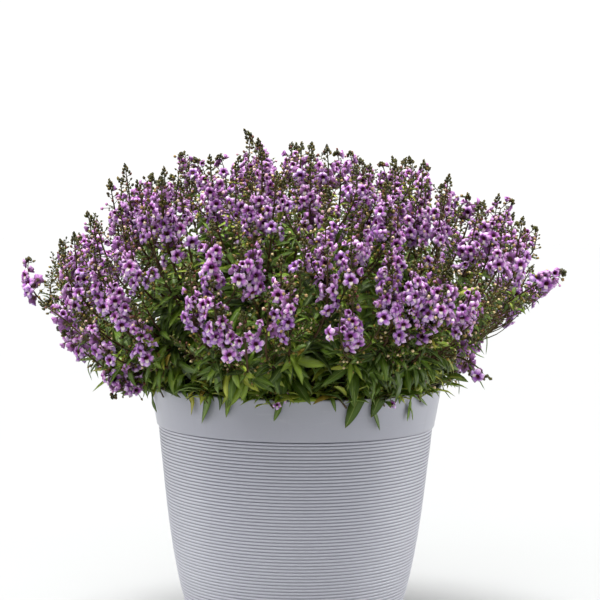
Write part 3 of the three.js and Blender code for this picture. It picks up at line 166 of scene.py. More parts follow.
    ([(-19.2, 83.2, 231), (-25.8, 111.9, 286.7), (-32.5, 140.6, 323.4)], [
      (-38.9, 180.2, 332.1, -45.7, 220, 368.2, -47.2, 227.2, 396.7, -48.9, 235.7, 430, 18.4),
      (-49, 168.6, 347.9, -69.2, 203.7, 394.5, -76.4, 216.6, 422.8, -84.2, 230.8, 454, 20),
      (-29.5, 169, 348.2, -29.2, 200.1, 397.3, -31.5, 208.2, 427.4, -34, 217.3, 460.9, 19.5)]),
    ([(-76.5, 31.5, 231), (-102.8, 42.3, 272.2), (-128.2, 52, 296.6)], [
      (-162.4, 80.6, 305.5, -201.1, 107.2, 342.1, -212.8, 111.5, 370, -226, 116.3, 401.6, 19.1),
      (-158.8, 66.3, 294.1, -203.9, 83.1, 313.9, -220.9, 87.9, 330.7, -244, 94.4, 353.5, 15.2),
      (-171.5, 62.5, 305, -212.5, 69.1, 342.9, -219.1, 68.1, 373.3, -226.4, 67, 407.2, 19.4),
      (-126.1, 50.7, 273.3, -147.1, 55.1, 272.8, -169.3, 61.2, 285.7, -195.4, 68.1, 306.7, 18.2)]),
    ([(-41.6, 64.4, 231), (-56, 86.6, 292.1), (-70.4, 108.8, 334.2)], [
      (-77.6, 146.5, 355.8, -94.8, 180.1, 401.1, -104.1, 182.3, 424, -116.6, 185.3, 454.5, 15.5),
      (-92.3, 123.6, 367.8, -113.5, 141.7, 424.5, -116.4, 146.8, 449.9, -120.1, 153.5, 482.5, 16.3)]),
    ([(-23.3, 31.3, 231), (-31.3, 42.1, 298.7), (-39.4, 52.9, 347.3)], [
      (-50.4, 54.1, 388.5, -62.1, 58.6, 451.8, -63.7, 60.9, 470.8, -60.1, 56, 488.4, 12),
      (-48.7, 75.7, 389.4, -54.4, 97.9, 453.6, -52.8, 101.1, 479.5, -50.6, 105.2, 512.7, 16.3)]),
    ([(74.4, 43.3, 231), (100.9, 56.9, 282.3), (125.8, 73.2, 314.8)], [
      (148.8, 98.6, 319.3, 176.4, 129.9, 349.8, 185.4, 140.6, 377.2, 195.5, 152.7, 408, 19.2),
      (157.5, 76.4, 331, 196.3, 81.9, 371.3, 210.5, 85.1, 401.2, 225.6, 88.3, 433, 20.8),
      (155.4, 90.5, 336.1, 185.4, 112.9, 381.8, 191.5, 121.4, 411.4, 198.1, 130.8, 444.3, 19.6)]),
    ([(-4.7, -91.3, 231), (-7.2, -121.7, 278.9), (-8.3, -155.3, 303.1)], [
      (11.2, -189, 317.4, 26.8, -230.5, 354.8, 26.8, -242.5, 379.6, 26.8, -257.2, 412.1, 17.2),
      (-24.9, -185.4, 323.6, -38.8, -223.7, 366.3, -38.8, -238.6, 397.8, -38.8, -253.9, 432.2, 21.8),
      (-19.2, -180.3, 296.5, -27, -219, 314.1, -25.3, -238.2, 341, -23.5, -258.7, 371.6, 20.7),
      (-6.6, -189.7, 306, -5.6, -233.7, 333.1, -5.6, -248.6, 358.5, -5.6, -265.8, 390.3, 18.4),
      (-11.1, -190.9, 316, -13.7, -234, 352.2, -13.7, -243.6, 372, -13.7, -257.8, 403.3, 13.8)]),
    ([(-82.7, -20, 231), (-111.5, -26.1, 281.1), (-139.8, -33.9, 312.3)], [
      (-171.1, -30.2, 327.9, -203, -29, 370, -208.6, -30.6, 396.6, -217.8, -26, 407, 17),
      (-177.5, -53.2, 319.4, -210.4, -71.2, 355.3, -212.8, -73.1, 380.9, -215.4, -75.6, 414.2, 16.2)]),
    ([(72.4, -51.8, 231), (97.4, -69.7, 285.6), (122.4, -87.5, 321.2)], [
      (138.3, -117, 342.3, 156.4, -150.3, 387.7, 161.2, -159.4, 415.2, 166.9, -170, 449.4, 18.4),
      (150.9, -100.3, 344, 178.3, -118.1, 391.4, 182.5, -125.9, 421.3, 187.1, -134.6, 456.7, 19.5),
      (156.4, -112.3, 331, 185.7, -141.1, 367.7, 187.1, -148.9, 394.1, 188.8, -158.6, 428.6, 17.2),
      (164.9, -95.3, 335.6, 203.7, -108.4, 376.4, 207.2, -114.2, 401.2, 211.7, -121.6, 435.5, 16.1)]),
    ([(-63.5, -65.8, 231), (-84.8, -88, 278.5), (-107.1, -111, 305.3)], [
      (-141.2, -130.9, 312.4, -174.9, -156.3, 346.4, -180.7, -165.4, 373.8, -187.5, -176.1, 407.7, 18.4),
      (-133.8, -138.7, 306.1, -160.6, -172.6, 334.4, -165.9, -184.5, 362.7, -171.8, -197.7, 396.4, 19.5),
      (-125.8, -143.1, 323.7, -144.9, -179.9, 366.9, -148.4, -189.7, 392.4, -152.9, -201.6, 425.8, 17.2),
      (-142.3, -125.8, 326.2, -176.8, -146.6, 371.6, -182.7, -155.3, 399.1, -189.6, -165.4, 433.2, 18.4),
      (-120.5, -133.1, 290.8, -136.8, -167.2, 303.9, -142.3, -182.9, 328.2, -148.7, -201.3, 358.5, 18.4)]),
    ([(-7.5, -53.2, 231), (-10.1, -71.6, 297.3), (-12.7, -89.9, 344.6)], [
      (-23.9, -117.4, 380.1, -33, -150.1, 437.2, -33, -159.5, 463.1, -33, -171.2, 496.9, 17.2),
      (-4.6, -111.6, 382.2, 5.8, -140.6, 440.5, 9, -150.3, 464.2, 13.1, -162.9, 494.8, 16.1),
      (-19.5, -95, 386.6, -29.3, -108.3, 449.2, -33.1, -116.4, 474.3, -38, -126.7, 506, 16.7)]),
    ([(-70.7, -19, 231), (-94.9, -26.1, 266.7), (-119.3, -32.6, 283.3)], [
      (-141.6, -30.9, 272, -181.1, -32.2, 281.3, -204.5, -34.8, 304.2, -229.5, -37.5, 328.8, 20.5),
      (-155.3, -50.2, 286.6, -199.6, -68.1, 315.2, -212.5, -70.7, 337.5, -229, -74, 366.4, 16.2),
      (-124.5, -33.3, 272.6, -149.4, -42.4, 272, -169.3, -50.1, 279.4, -192.8, -59.3, 302.3, 18)]),
    ([(12.8, 82, 231.2), (17.6, 110.4, 286.3), (23, 138.9, 322.3)], [
      (20.4, 167.7, 351.3, 18, 196.1, 404.5, 17.8, 200.6, 431.4, 17.6, 206.1, 464.7, 17),
      (48.3, 169.7, 339.9, 70.7, 205.2, 382.3, 72.5, 216.4, 412.4, 74.5, 228.5, 445.2, 20.1),
      (15.7, 175.6, 331.9, 13.4, 215.3, 368, 17.2, 225.4, 397.9, 21.5, 236.6, 430.8, 19.9)]),
    ([(20, 61.7, 231), (26.9, 83, 294.6), (33.8, 104.2, 339.2)], [
      (50.4, 143.3, 365.2, 66.5, 176.4, 416.4, 69.1, 177.4, 446.3, 72, 178.5, 480.7, 18.8),
      (30.2, 126.6, 372.2, 27.5, 157, 426.7, 27.7, 167.6, 451, 27.9, 181.1, 481.8, 16.6),
      (44.2, 110.9, 379, 55.9, 129.3, 438.4, 58.4, 139.7, 459.9, 61.9, 154.1, 489.4, 15)]),
    ([(34.4, -81.2, 231), (46.3, -108.8, 286.1), (58.1, -137.2, 321.8)], [
      (75.5, -161.5, 343.5, 89.8, -193, 389, 89.8, -205.8, 419.6, 89.8, -219.4, 454.1, 20.7),
      (71.3, -172.1, 336.2, 82.1, -212.8, 375.5, 82.1, -224.1, 400.6, 82.1, -238.1, 433.5, 17.2)]),
    ([(-13, 83, 231), (-17.8, 112, 270.3), (-23.3, 139.6, 290.7)], [
      (-21.6, 187.1, 302.3, -21.3, 235.7, 339.3, -21.4, 245.6, 366.5, -21.5, 257.3, 398.7, 18.1),
      (-20.5, 169, 281.3, -23.8, 208.5, 297.8, -27.8, 223.7, 321.3, -32.7, 242, 349.7, 17.7),
      (-25.3, 139.3, 273, -26.9, 159, 272.6, -26.4, 176.9, 280, -25.8, 198.8, 305.8, 17.4),
      (-38.4, 182, 299.6, -57.8, 226.8, 333.5, -62.6, 235.8, 356.7, -69.1, 247.6, 387.2, 15.8)]),
    ([(43.8, 3.9, 231), (58.9, 5.2, 298.2), (74, 6.6, 346.4)], [
      (84.4, 8, 386, 90.2, 9.7, 448.3, 88.3, 10.2, 470.6, 81.5, 6, 484.1, 14),
      (94.6, 18, 385.4, 114.1, 29.2, 447.2, 115.9, 30.5, 467.9, 111.5, 26, 490.4, 13),
      (100.8, -2.1, 387.9, 124.3, -9.8, 451.9, 125.3, -10.1, 471.1, 128.9, -6, 479.8, 12)]),
    ([(-34.2, 71.1, 231), (-45.9, 95.7, 268.6), (-57.7, 120.2, 287.2)], [
      (-77.8, 166.4, 296.8, -97.1, 212.3, 333.3, -99.8, 220, 360.6, -103.2, 229.1, 393.3, 17.8),
      (-73.8, 138.4, 274.5, -95.7, 171.7, 285.9, -102.9, 186.9, 304, -112.5, 207.3, 328.2, 15.4),
      (-62, 115.1, 272.9, -76, 132.8, 273.2, -86.2, 153.8, 277.8, -98.3, 178.7, 297.8, 18),
      (-65.6, 157, 279.1, -73.8, 193.8, 301.7, -73.6, 202, 330.7, -74.1, 210.9, 364.1, 18.9)]),
    ([(-91.1, 2.9, 231), (-121.4, 4.5, 280.4), (-153.7, 5, 308.5)], [
      (-206.8, -2.8, 314.5, -260.3, -9.7, 347.8, -268.5, -10.2, 370.4, -267.9, -6, 385.6, 15),
      (-192.7, 12.2, 316.4, -228.6, 19.3, 352.7, -232.4, 20.4, 379.6, -239.7, 16, 403, 17),
      (-182, 17.2, 335.1, -207.6, 29.1, 386.8, -209.7, 30.5, 410.6, -213.6, 26, 431.2, 15),
      (-173.7, -2.8, 305.6, -214.5, -9.7, 320.6, -236.8, -10.2, 336.1, -250.9, -6, 341.8, 17)]),
    ([(-8.2, -5.8, 231), (-11, -7.8, 298), (-13.9, -9.8, 346.1)], [
      (-22, -4.4, 393, -32.9, 0, 461.1, -36.9, 0, 489.6, -54.7, 0, 515.4, 18),
      (-11.5, -19.4, 390.4, -8.1, -29, 456.6, -6.7, -30.6, 483.7, -6.6, -26, 502.9, 17)]),
    ([(-64.3, 55.2, 231), (-86.4, 74.5, 284.4), (-108.6, 93.3, 318.9)], [
      (-136.4, 104.4, 340.5, -164.8, 121.7, 386.5, -170.9, 130.4, 416.4, -177.5, 139.9, 449.3, 19.8),
      (-118.2, 122.9, 340, -135.2, 154.4, 384.9, -143.2, 160.8, 409.4, -153.5, 168.9, 440.4, 16.6),
      (-143.4, 114.3, 326.2, -182.2, 138.2, 359.5, -191.3, 144.1, 383.8, -202.9, 151.6, 414.6, 16.7)]),
    ([(-60.9, 47.6, 231), (-82, 63.6, 267.1), (-103.6, 79.4, 284.2)], [
      (-105, 94, 272.9, -120.5, 118.9, 273.1, -132.2, 129.7, 281.9, -148.6, 144.1, 306.7, 15.2),
      (-122.4, 83.7, 272.4, -151, 99.8, 280.2, -164.3, 111.4, 304.4, -179.6, 124.7, 332.2, 18.7),
      (-141.1, 108.8, 286.4, -185.3, 137.7, 313.9, -199.5, 142.7, 341.4, -215.3, 148.1, 372, 19.6)]),
    ([(58.5, 62.9, 231), (78.7, 84.6, 274.7), (99, 106.3, 299.4)], [
      (120.1, 142.3, 309.1, 148.1, 182.9, 342.8, 158, 193.3, 366.8, 170, 206, 396, 17.5),
      (105.7, 112.6, 278.2, 121.5, 133.1, 283.9, 133.5, 149.1, 308.4, 146.7, 166.8, 335.5, 19.8),
      (125.2, 124.2, 294.5, 153.9, 148.6, 318, 159.7, 156.5, 340.4, 167.6, 167.1, 370.7, 15.3),
      (128.9, 134.1, 328.5, 161.5, 164.4, 380.3, 168.7, 171.1, 405.4, 177.7, 179.7, 436.8, 16.9)]),
]
# Flowerless side shoots: branch number, spike number, foot and tip.
GREENS = [
    (38, 0, -21.5, 209.5, 319.4, -8, 238.1, 354.1),
    (1, 3, 80.5, -170.8, 301, 102.6, -183.3, 309.8),
    (21, 4, 24.9, -221.2, 375.9, 53.5, -243.7, 412.6),
    (45, 1, 121.5, 133.1, 283.9, 115, 191.6, 321.5),
    (10, 2, -181.8, 56.3, 283, -194.8, 88.1, 317.1),
    (32, 0, -159.3, -144.6, 330.7, -184.7, -167.6, 365.3),
    (12, 2, -73.6, -211.5, 361.6, -101.2, -208.2, 396.3),
    (18, 1, 124.6, -150.7, 305.2, 138.5, -160.6, 323.6),
    (26, 1, -113.5, 141.7, 424.5, -110.8, 107.2, 477.3),
    (3, 0, -156.8, -82.4, 279.7, -185.1, -131.4, 313.9),
    (43, 2, -182.2, 138.2, 359.5, -181, 166.7, 397.4),
    (31, 2, 170.7, -126.3, 348.9, 203.1, -144.8, 383.1),
    (7, 0, -75.7, -149.9, 428.2, -82.1, -128.1, 481.8),
    (2, 2, 169.1, 85.1, 298.6, 205.6, 73.2, 332.8),
    (44, 0, -120.5, 118.9, 273.1, -149.3, 151.6, 318.4),
    (12, 4, -53.5, -173.1, 292.8, -113.2, -206.3, 327),
    (15, 1, 189.7, 8.1, 323.5, 247.1, -22.9, 358.2),
    (3, 1, -181.7, -100.7, 320, -214.6, -104.7, 354.5),
    (20, 2, -154.2, -104.7, 417.2, -141, -103.8, 467.1),
    (1, 4, 51.9, -189.7, 303.9, 43.2, -217, 317.5),
    (1, 1, 107.5, -204.8, 351.3, 129.6, -204.5, 411.4),
    (14, 2, 188, 0, 401, 210.2, 43.8, 435.3),
    (1, 3, 84.1, -177.4, 305.5, 92.8, -222.3, 339.6),
    (5, 2, 185.1, -63.9, 333.8, 227.5, -111.3, 368.6),
    (32, 4, -136.8, -167.2, 303.9, -138.7, -204, 356.2),
    (22, 0, 122.8, 193, 385, 129.2, 176.5, 432.2),
    (36, 0, 66.5, 176.4, 416.4, 94, 194.2, 451.2),
    (9, 2, -58.4, 134.4, 431.2, -82.4, 179.2, 465.7),
    (28, 2, 185.4, 112.9, 381.8, 193.2, 87, 444),
    (3, 0, -156.8, -82.4, 279.7, -152.1, -152.5, 313.7),
    (6, 0, 27.2, 178.7, 268.2, 1.8, 211.3, 313.5),
    (44, 2, -166, 125.1, 301.9, -183.4, 136.7, 336.6),
    (41, 3, -186.3, -4.9, 310.2, -224.9, 11.1, 344.3),
    (35, 1, 70.7, 205.2, 382.3, 50.8, 228.6, 423.3),
    (24, 2, -29.2, 195.3, 389.7, -7.3, 238.2, 424.2),
    (2, 4, 139.3, 95.6, 280.9, 161.3, 122, 315.2),
    (33, 1, 5.8, -140.6, 440.5, 40.1, -129.2, 485.3),
    (25, 0, -190.2, 99.7, 331.8, -236.1, 97.6, 366.7),
    (22, 1, 75.7, 208.6, 327.8, 61.9, 239.3, 361.9),
    (45, 2, 139.9, 136.7, 306.6, 151, 174.2, 340.8),
    (25, 2, -212.5, 69.1, 342.9, -246.2, 53.5, 384.1),
    (41, 2, -207.6, 29.1, 386.8, -209.6, 70.5, 427.7),
    (18, 2, 114.2, -181.9, 315.9, 132.9, -200.9, 350.4),
    (29, 1, -38.8, -223.7, 366.3, -53.8, -230.5, 433.1),
    (43, 1, -135.2, 154.4, 384.9, -152.5, 152.4, 444.6),
    (9, 1, 3.1, 133.9, 440.5, 24.8, 150.5, 484.5),
    (36, 2, 55.9, 129.3, 438.4, 62, 119, 489.3),
    (27, 1, -54.4, 97.9, 453.6, -33.4, 123.7, 492.9),
    (36, 1, 27.6, 155.4, 423.9, 7.6, 185.4, 458.8),
    (5, 2, 189, -65.5, 337.7, 238.5, -79.6, 372.1),
    (34, 1, -183.7, -61.7, 304.9, -228.8, -40.2, 339.1),
    (8, 0, -172.4, 8.9, 422.4, -174.9, 72.6, 457.6),
    (15, 1, 214.3, 3.6, 339.1, 256.3, 19.4, 373.1),
    (0, 2, -129.2, 198.3, 360.6, -101.5, 227.6, 407.1),
    (31, 0, 151.8, -141.8, 376.1, 169.1, -172.1, 411.2),
    (29, 3, -6, -214.5, 321.3, 13.7, -226.7, 355.8),
    (28, 0, 174.3, 127.5, 347.5, 189.2, 159.1, 381.6),
    (38, 1, -21.8, 184.2, 287.6, -56.3, 210, 321.9),
    (45, 3, 161.5, 164.4, 380.3, 177.6, 146.5, 428.5),
    (36, 2, 55.9, 129.3, 438.4, 84, 152.2, 475.7),
    (13, 4, 113.1, -129.3, 428.9, 96.2, -121.2, 477.8),
    (28, 1, 193.3, 81.5, 368.2, 215.9, 118.3, 402.3),
    (33, 2, -29.3, -108.3, 449.2, 2.2, -94.6, 497.2),
    (21, 4, 24.9, -221.2, 375.9, 4.2, -245.8, 416.7),
    (12, 3, -43.8, -170.7, 287.9, -74.3, -201.1, 322),
    (7, 0, -75.7, -149.9, 428.2, -104.5, -159.6, 463.4),
    (30, 1, -204.5, -68, 348.9, -238.5, -46.6, 383.5),
    (11, 2, 90.7, 107.4, 437, 109.8, 89.9, 487.5),
    (21, 1, 23.6, -201, 407.5, -3.7, -218.6, 442.4),
    (5, 0, 192.1, -46.8, 377.4, 224.4, -55.9, 412),
    (35, 1, 60.9, 189.7, 363.8, 89.2, 214.7, 398),
    (26, 1, -113, 141.2, 423, -150.9, 121.2, 457.3),
    (43, 1, -134.8, 153.6, 383.7, -123.4, 188.8, 418),
    (13, 2, 129.7, -140.8, 411.4, 152.3, -138.9, 446.4),
    (18, 3, 128.8, -132.4, 303.5, 167.5, -115.8, 318.8),
    (20, 1, -159.8, -112.5, 397, -191.3, -106.4, 431.1),
    (5, 2, 142.6, -45.7, 310.8, 211.7, -62.4, 344.9),
    (43, 0, -164.8, 121.7, 386.5, -200.9, 123.7, 431),
    (0, 3, -114, 168.3, 305.4, -125.9, 202.1, 339.7),
    (21, 2, 55.9, -161.4, 409.1, 52.5, -198.2, 444),
    (2, 0, 186.7, 102, 317, 209.3, 132.2, 351.2),
    (15, 4, 223.1, 79, 337.3, 229.3, 51.2, 386.1),
    (38, 3, -49.3, 207.3, 318.7, -51.3, 229.4, 353.4),
    (41, 0, -224.6, -5.1, 325.6, -253.9, 29.8, 360.4),
    (16, 0, -133.6, -151.4, 400.8, -136.1, -138.8, 455.3),
    (29, 1, -33.5, -209, 349.9, -42.6, -236.1, 383.9),
    (32, 3, -176.8, -146.6, 371.6, -206.6, -140.2, 411.6),
    (7, 1, -38.6, -181, 417.1, -68.6, -194.8, 453.8),
    (18, 3, 131.3, -133.7, 305.3, 187, -160.7, 339.8),
    (5, 0, 200.2, -48.2, 389.9, 205, -85.9, 424.1),
    (36, 0, 66.5, 176.4, 416.4, 54.4, 196, 452.1),
    (3, 0, -156, -82, 279.3, -208.7, -75.5, 313.6),
    (11, 0, 112.1, 146, 419, 139.8, 137.6, 454.1),
    (22, 0, 109.8, 177.6, 359.8, 129.3, 197.2, 393.8),
    (25, 0, -182.2, 94.2, 324.3, -213.9, 125, 358.7),
    (41, 0, -246.6, -7.9, 339.3, -240, -6.8, 385.2),
    (30, 1, -197.7, -64.3, 341.5, -239.6, -86.5, 376.3),
    (15, 0, 225.8, 19.3, 383.3, 239.1, -7.3, 418.6),
    (29, 2, -20.6, -187.2, 299.7, -18.6, -226.8, 334),
    (22, 4, 102.7, 186.2, 333.3, 112.1, 213, 367.4),
    (9, 1, 3.1, 133.9, 440.5, 11.9, 90.8, 501.9),
    (15, 2, 186.7, 29.2, 309.1, 229.8, 34.4, 343.3),
    (12, 0, -76.7, -192.5, 315.8, -91.3, -221.6, 349.9),
    (9, 0, -33.3, 161.7, 421.9, -53.6, 203.9, 456.9),
    (14, 2, 192.1, 0, 406.2, 206.1, -24.6, 441.4),
    (25, 0, -201.1, 107.2, 342.1, -217.2, 100.5, 403.4),
    (33, 1, 5.5, -139.9, 439, -6.1, -179, 474),
    (20, 0, -118.2, -57.9, 422.7, -111.9, -83.6, 486.8),
    (23, 1, 100.2, -29.1, 442.1, 110.4, -68, 486.5),
    (9, 2, -58.4, 134.4, 431.2, -88.9, 140.2, 483.3),
    (21, 0, 11.2, -177.2, 419, 38.8, -184.3, 472.3),
    (33, 2, -29.3, -108.3, 449.2, -5.6, -132.9, 495.4),
    (34, 0, -181.1, -32.2, 281.3, -217, -12.1, 321.8),
    (27, 1, -54.4, 97.9, 453.6, -38.8, 86, 499.4),
    (21, 2, 60, -166.4, 422.2, 76.4, -160, 476.8),
    (18, 3, 129.7, -132.8, 304.1, 196.1, -107.4, 338.1),
    (11, 1, 150.3, 122.9, 401.4, 158.1, 107.1, 455.9),
    (35, 2, 13.6, 212.2, 365.2, 5, 254.3, 399.9),
    (2, 0, 184.1, 100.6, 315.2, 231, 98.9, 350.1),
    (15, 2, 183.8, 28.7, 307.2, 223.1, -6.2, 341.6),
    (0, 1, -134, 151.4, 318.1, -169.6, 166.7, 352.3),
    (3, 1, -204.6, -112.8, 341, -192.5, -131.6, 375.9),
    (30, 1, -210.4, -71.2, 355.3, -223.3, -96.5, 399.6),
    (18, 1, 149.1, -178.3, 328.9, 190.9, -176.8, 379.4),
    (9, 0, -34.2, 166.4, 428.9, -27.7, 157.4, 485.6),
    (33, 0, -33, -150.1, 437.2, -47.8, -144.4, 483.4),
    (31, 1, 178.3, -118.1, 391.4, 168.3, -101.6, 447.4),
    (0, 2, -122.7, 184.8, 344.8, -126.7, 199.5, 379.1),
    (10, 0, -183.9, 19.9, 278.3, -219, 39.7, 312.5),
    (10, 3, -214.7, 45.5, 313.3, -218.5, 69.2, 347.9),
    (20, 2, -154.2, -104.7, 417.2, -169.4, -77.2, 454.5),
    (28, 1, 196.3, 81.9, 371.3, 227.6, 66.3, 419.7),
    (16, 4, -154, -159.5, 383.8, -164.1, -141.1, 424),
    (33, 2, -29.3, -108.3, 449.2, -41.5, -94.9, 500.6),
    (22, 1, 69.5, 175, 306.2, 83.5, 220.1, 340.3),
    (45, 3, 154, 157.4, 368.3, 161.7, 171.1, 403.4),
    (1, 4, 51.8, -191.9, 305, 55.3, -228.2, 339.1),
    (43, 0, -164.8, 121.7, 386.5, -186.5, 103.2, 456.6),
    (40, 1, -82.2, 151.2, 278.9, -109, 178.6, 313.1),
    (19, 0, -100.9, 36.1, 450, -115.9, 76, 485.3),
    (6, 0, 27.1, 177.2, 268.5, 52.9, 199.2, 308.9),
    (24, 0, -44.7, 213.9, 362.6, -48.5, 249.4, 397.1),
    (26, 1, -109.7, 138.5, 414.3, -122.2, 178.1, 449.3),
    (32, 2, -142, -174.2, 360.3, -128.7, -193.5, 394.5),
    (13, 4, 112.7, -128.9, 427.4, 137.2, -116.2, 462.6),
    (40, 0, -87.2, 188.8, 314.6, -90.2, 236.5, 348.8),
    (8, 0, -160.5, 6, 400.6, -187.8, 20, 435.7),
    (41, 1, -228.6, 19.3, 352.7, -248.2, 20, 389.5),
    (14, 2, 192.1, 0, 406.2, 182.6, 10, 446.2),
    (19, 2, -70.9, 9.5, 448.7, -98.3, 0, 484.1),
    (4, 0, 12.7, 19.3, 452.2, 23.6, 30, 492.4),
    (39, 0, 90.2, 9.7, 448.3, 91.3, 0, 483.3),
    (14, 1, 170, -9.7, 426.6, 132.2, -20, 463.2),
    (10, 3, -201.9, 41.9, 305.8, -249.5, 15, 340.2),
    (15, 2, 173.1, 26.9, 300.1, 223.9, 0, 334.7),
    (15, 3, 144.5, 21.9, 292, 206, -10, 326.3),
    (15, 3, 145.2, 22, 287.7, 191.2, -20, 322),
    (15, 2, 191.5, 30, 312.4, 236, 20, 346.4),
    (19, 0, -103.8, 37.8, 456.8, -115.1, 30, 491.9),
    (41, 1, -228.6, 19.3, 352.7, -232.9, 10, 405.3),
]
# Side shoots with a small flower head: branch number, foot, middle, centre of the flowers, tip, half length.
SIDE_HEADS = [
    (16, -147.2, -154.2, 375.4, -135.8, -156.2, 391.4, -126.5, -161, 436.8, -126.5, -164.9, 469.6, 13),
    (20, -138.9, -92, 387.2, -138.2, -102.3, 403.2, -137.6, -112, 443.7, -137.6, -113.7, 471.6, 8),
    (16, -94.6, -157, 379.4, -105.6, -168.1, 391.2, -117.5, -185, 426.8, -121.1, -195, 452.7, 8),
    (21, 51.4, -195.3, 377.2, 66.4, -179.5, 391, 78.8, -176, 434.1, 78.8, -187.6, 466.1, 14),
    (1, 93.2, -183.9, 328.3, 97.5, -204.2, 335.5, 102.3, -231, 370.6, 103.8, -243.7, 400, 12),
    (1, 89.6, -178.7, 322.5, 108, -193.5, 327.1, 126.5, -216, 360.9, 130.8, -228.7, 391, 13),
    (33, 2.1, -130.2, 419.6, 16.8, -140.7, 432.5, 27.6, -149.7, 471.5, 26.1, -150.3, 500.4, 9),
    (34, -171.2, -56.6, 296.9, -184.5, -65.2, 308.7, -213.4, -72.7, 336.5, -236.3, -73.3, 352.6, 8),
    (12, -71, -203.6, 352.4, -59.5, -220.3, 360.1, -50.1, -243, 390.9, -50.1, -254.6, 415.3, 7),
    (29, -12.2, -208.6, 330.9, -3.8, -224.4, 340.8, 3, -246, 372.3, 3, -257.4, 395.7, 6),
    (29, 21.2, -215.6, 341.4, 34.7, -224.9, 353.7, 46.8, -241, 388.4, 48.1, -252, 413, 7),
    (3, -156.8, -82.4, 279.7, -177.9, -93, 282.6, -209.5, -106, 307.7, -222.1, -109.8, 322.8, 9),
    (3, -174, -135.6, 302, -190.5, -127.3, 310.3, -221.1, -121, 334.6, -243.2, -121.5, 350.1, 7),
    (20, -165.7, -117.7, 405.6, -144, -113.1, 415.2, -126.3, -112, 450.4, -126.3, -115.3, 478.2, 8),
    (21, 24.6, -200.5, 360.3, 36.2, -213.5, 371.2, 46.8, -233, 405.6, 48.1, -244.4, 431.2, 8),
    (21, 49.8, -191.2, 372.9, 67.2, -193.6, 386.1, 81.4, -204, 422.5, 81.4, -214.8, 448.4, 8),
    (13, 116.9, -130, 386.5, 110, -150.9, 393.1, 106.3, -176, 425.3, 108.7, -186, 452.5, 9),
    (33, 1.8, -129.4, 418.1, 1.1, -139.9, 434.2, 1.7, -149.7, 474.9, 3.2, -151.4, 502.8, 8),
    (29, -37.7, -220.8, 363, -13.6, -227, 368.1, 6.2, -241, 396.7, 6.2, -252.5, 421.2, 7),
    (1, 50.8, -203.8, 310.9, 66.5, -213.2, 322.1, 79.4, -231, 356.2, 79.4, -243.9, 381, 8),
    (1, 83.2, -216.3, 333.8, 109.3, -211.5, 337.6, 133.6, -216, 366.4, 137.2, -226.8, 391.9, 8),
    (1, 51.3, -197.3, 307.7, 44.3, -217.7, 311.4, 38.6, -246, 337.4, 38.6, -260.9, 359.9, 7),
    (32, -140.5, -171.4, 356.9, -158.5, -166.3, 368.2, -177.2, -168, 401.6, -182.3, -175.7, 425.9, 6),
    (5, 198.8, -69.4, 347.3, 206.7, -92.3, 355.3, 235.1, -115, 376.3, 253.4, -118.2, 383.8, 10),
    (21, 23.5, -199.1, 404.9, 1.9, -191.2, 415.5, -14.2, -192, 447.2, -12.2, -201.5, 470.2, 5),
    (18, 132.9, -134.6, 306.5, 154.2, -145.6, 303.5, 173.5, -155.5, 291.8, 175.1, -156.3, 287.1, 3),
    (3, -147.8, -84.3, 299.1, -151.9, -106.8, 283.1, -156.1, -128, 281.2, -156.7, -129.7, 290, 12),
    (3, -134.9, -93.2, 286.5, -154.6, -105.9, 280.2, -175, -118, 277.9, -178.8, -119.4, 283.6, 5),
    (3, -152.6, -80.3, 277.9, -159.4, -104.5, 269.4, -163.8, -126, 267.6, -162.9, -127.3, 274.4, 6),
    (3, -147, -79.6, 286.7, -150.7, -102.1, 272.2, -151.8, -122, 264.4, -150.2, -123.3, 271.1, 5),
    (1, 79.2, -202.5, 323.8, 105.1, -201.1, 327.3, 129, -208, 354.9, 132.4, -218.4, 379.6, 7),
    (21, 51.4, -195.3, 377.2, 66.9, -196.5, 391.3, 79.5, -204, 426.1, 79.5, -212.5, 449.6, 5),
    (3, -182.2, -95.4, 290.4, -194.1, -81.9, 301.6, -213.4, -72.7, 332.6, -225.7, -75.2, 354.2, 5),
    (18, 110.1, -156.9, 307.6, 135.3, -155.1, 309.8, 157.3, -155.5, 316.7, 158.3, -157, 323.5, 6),
    (16, -112, -168.8, 387.4, -117.7, -181.7, 401.6, -122.3, -195, 441.5, -122.3, -198.5, 470.3, 9),
    (37, 89.1, -191.4, 386.7, 83.7, -194.8, 403.9, 79.2, -205, 444.1, 79.2, -214.5, 470.4, 8),
    (18, 118.3, -175.4, 323, 122, -198.2, 325.8, 127.8, -225, 352.7, 131.3, -235.4, 377.3, 7),
    (21, 11.5, -175.8, 416.2, 34.7, -182.5, 423.6, 52.6, -190, 456, 51.2, -192.7, 482.8, 7),
    (21, 22.7, -174.7, 372.9, 39.1, -192.2, 375.9, 53.5, -215, 403, 54.8, -226, 427.6, 7),
    (1, 95.6, -187.4, 332.1, 112.3, -200.9, 338.5, 128.8, -220, 368.4, 132.3, -230.4, 393, 7),
]
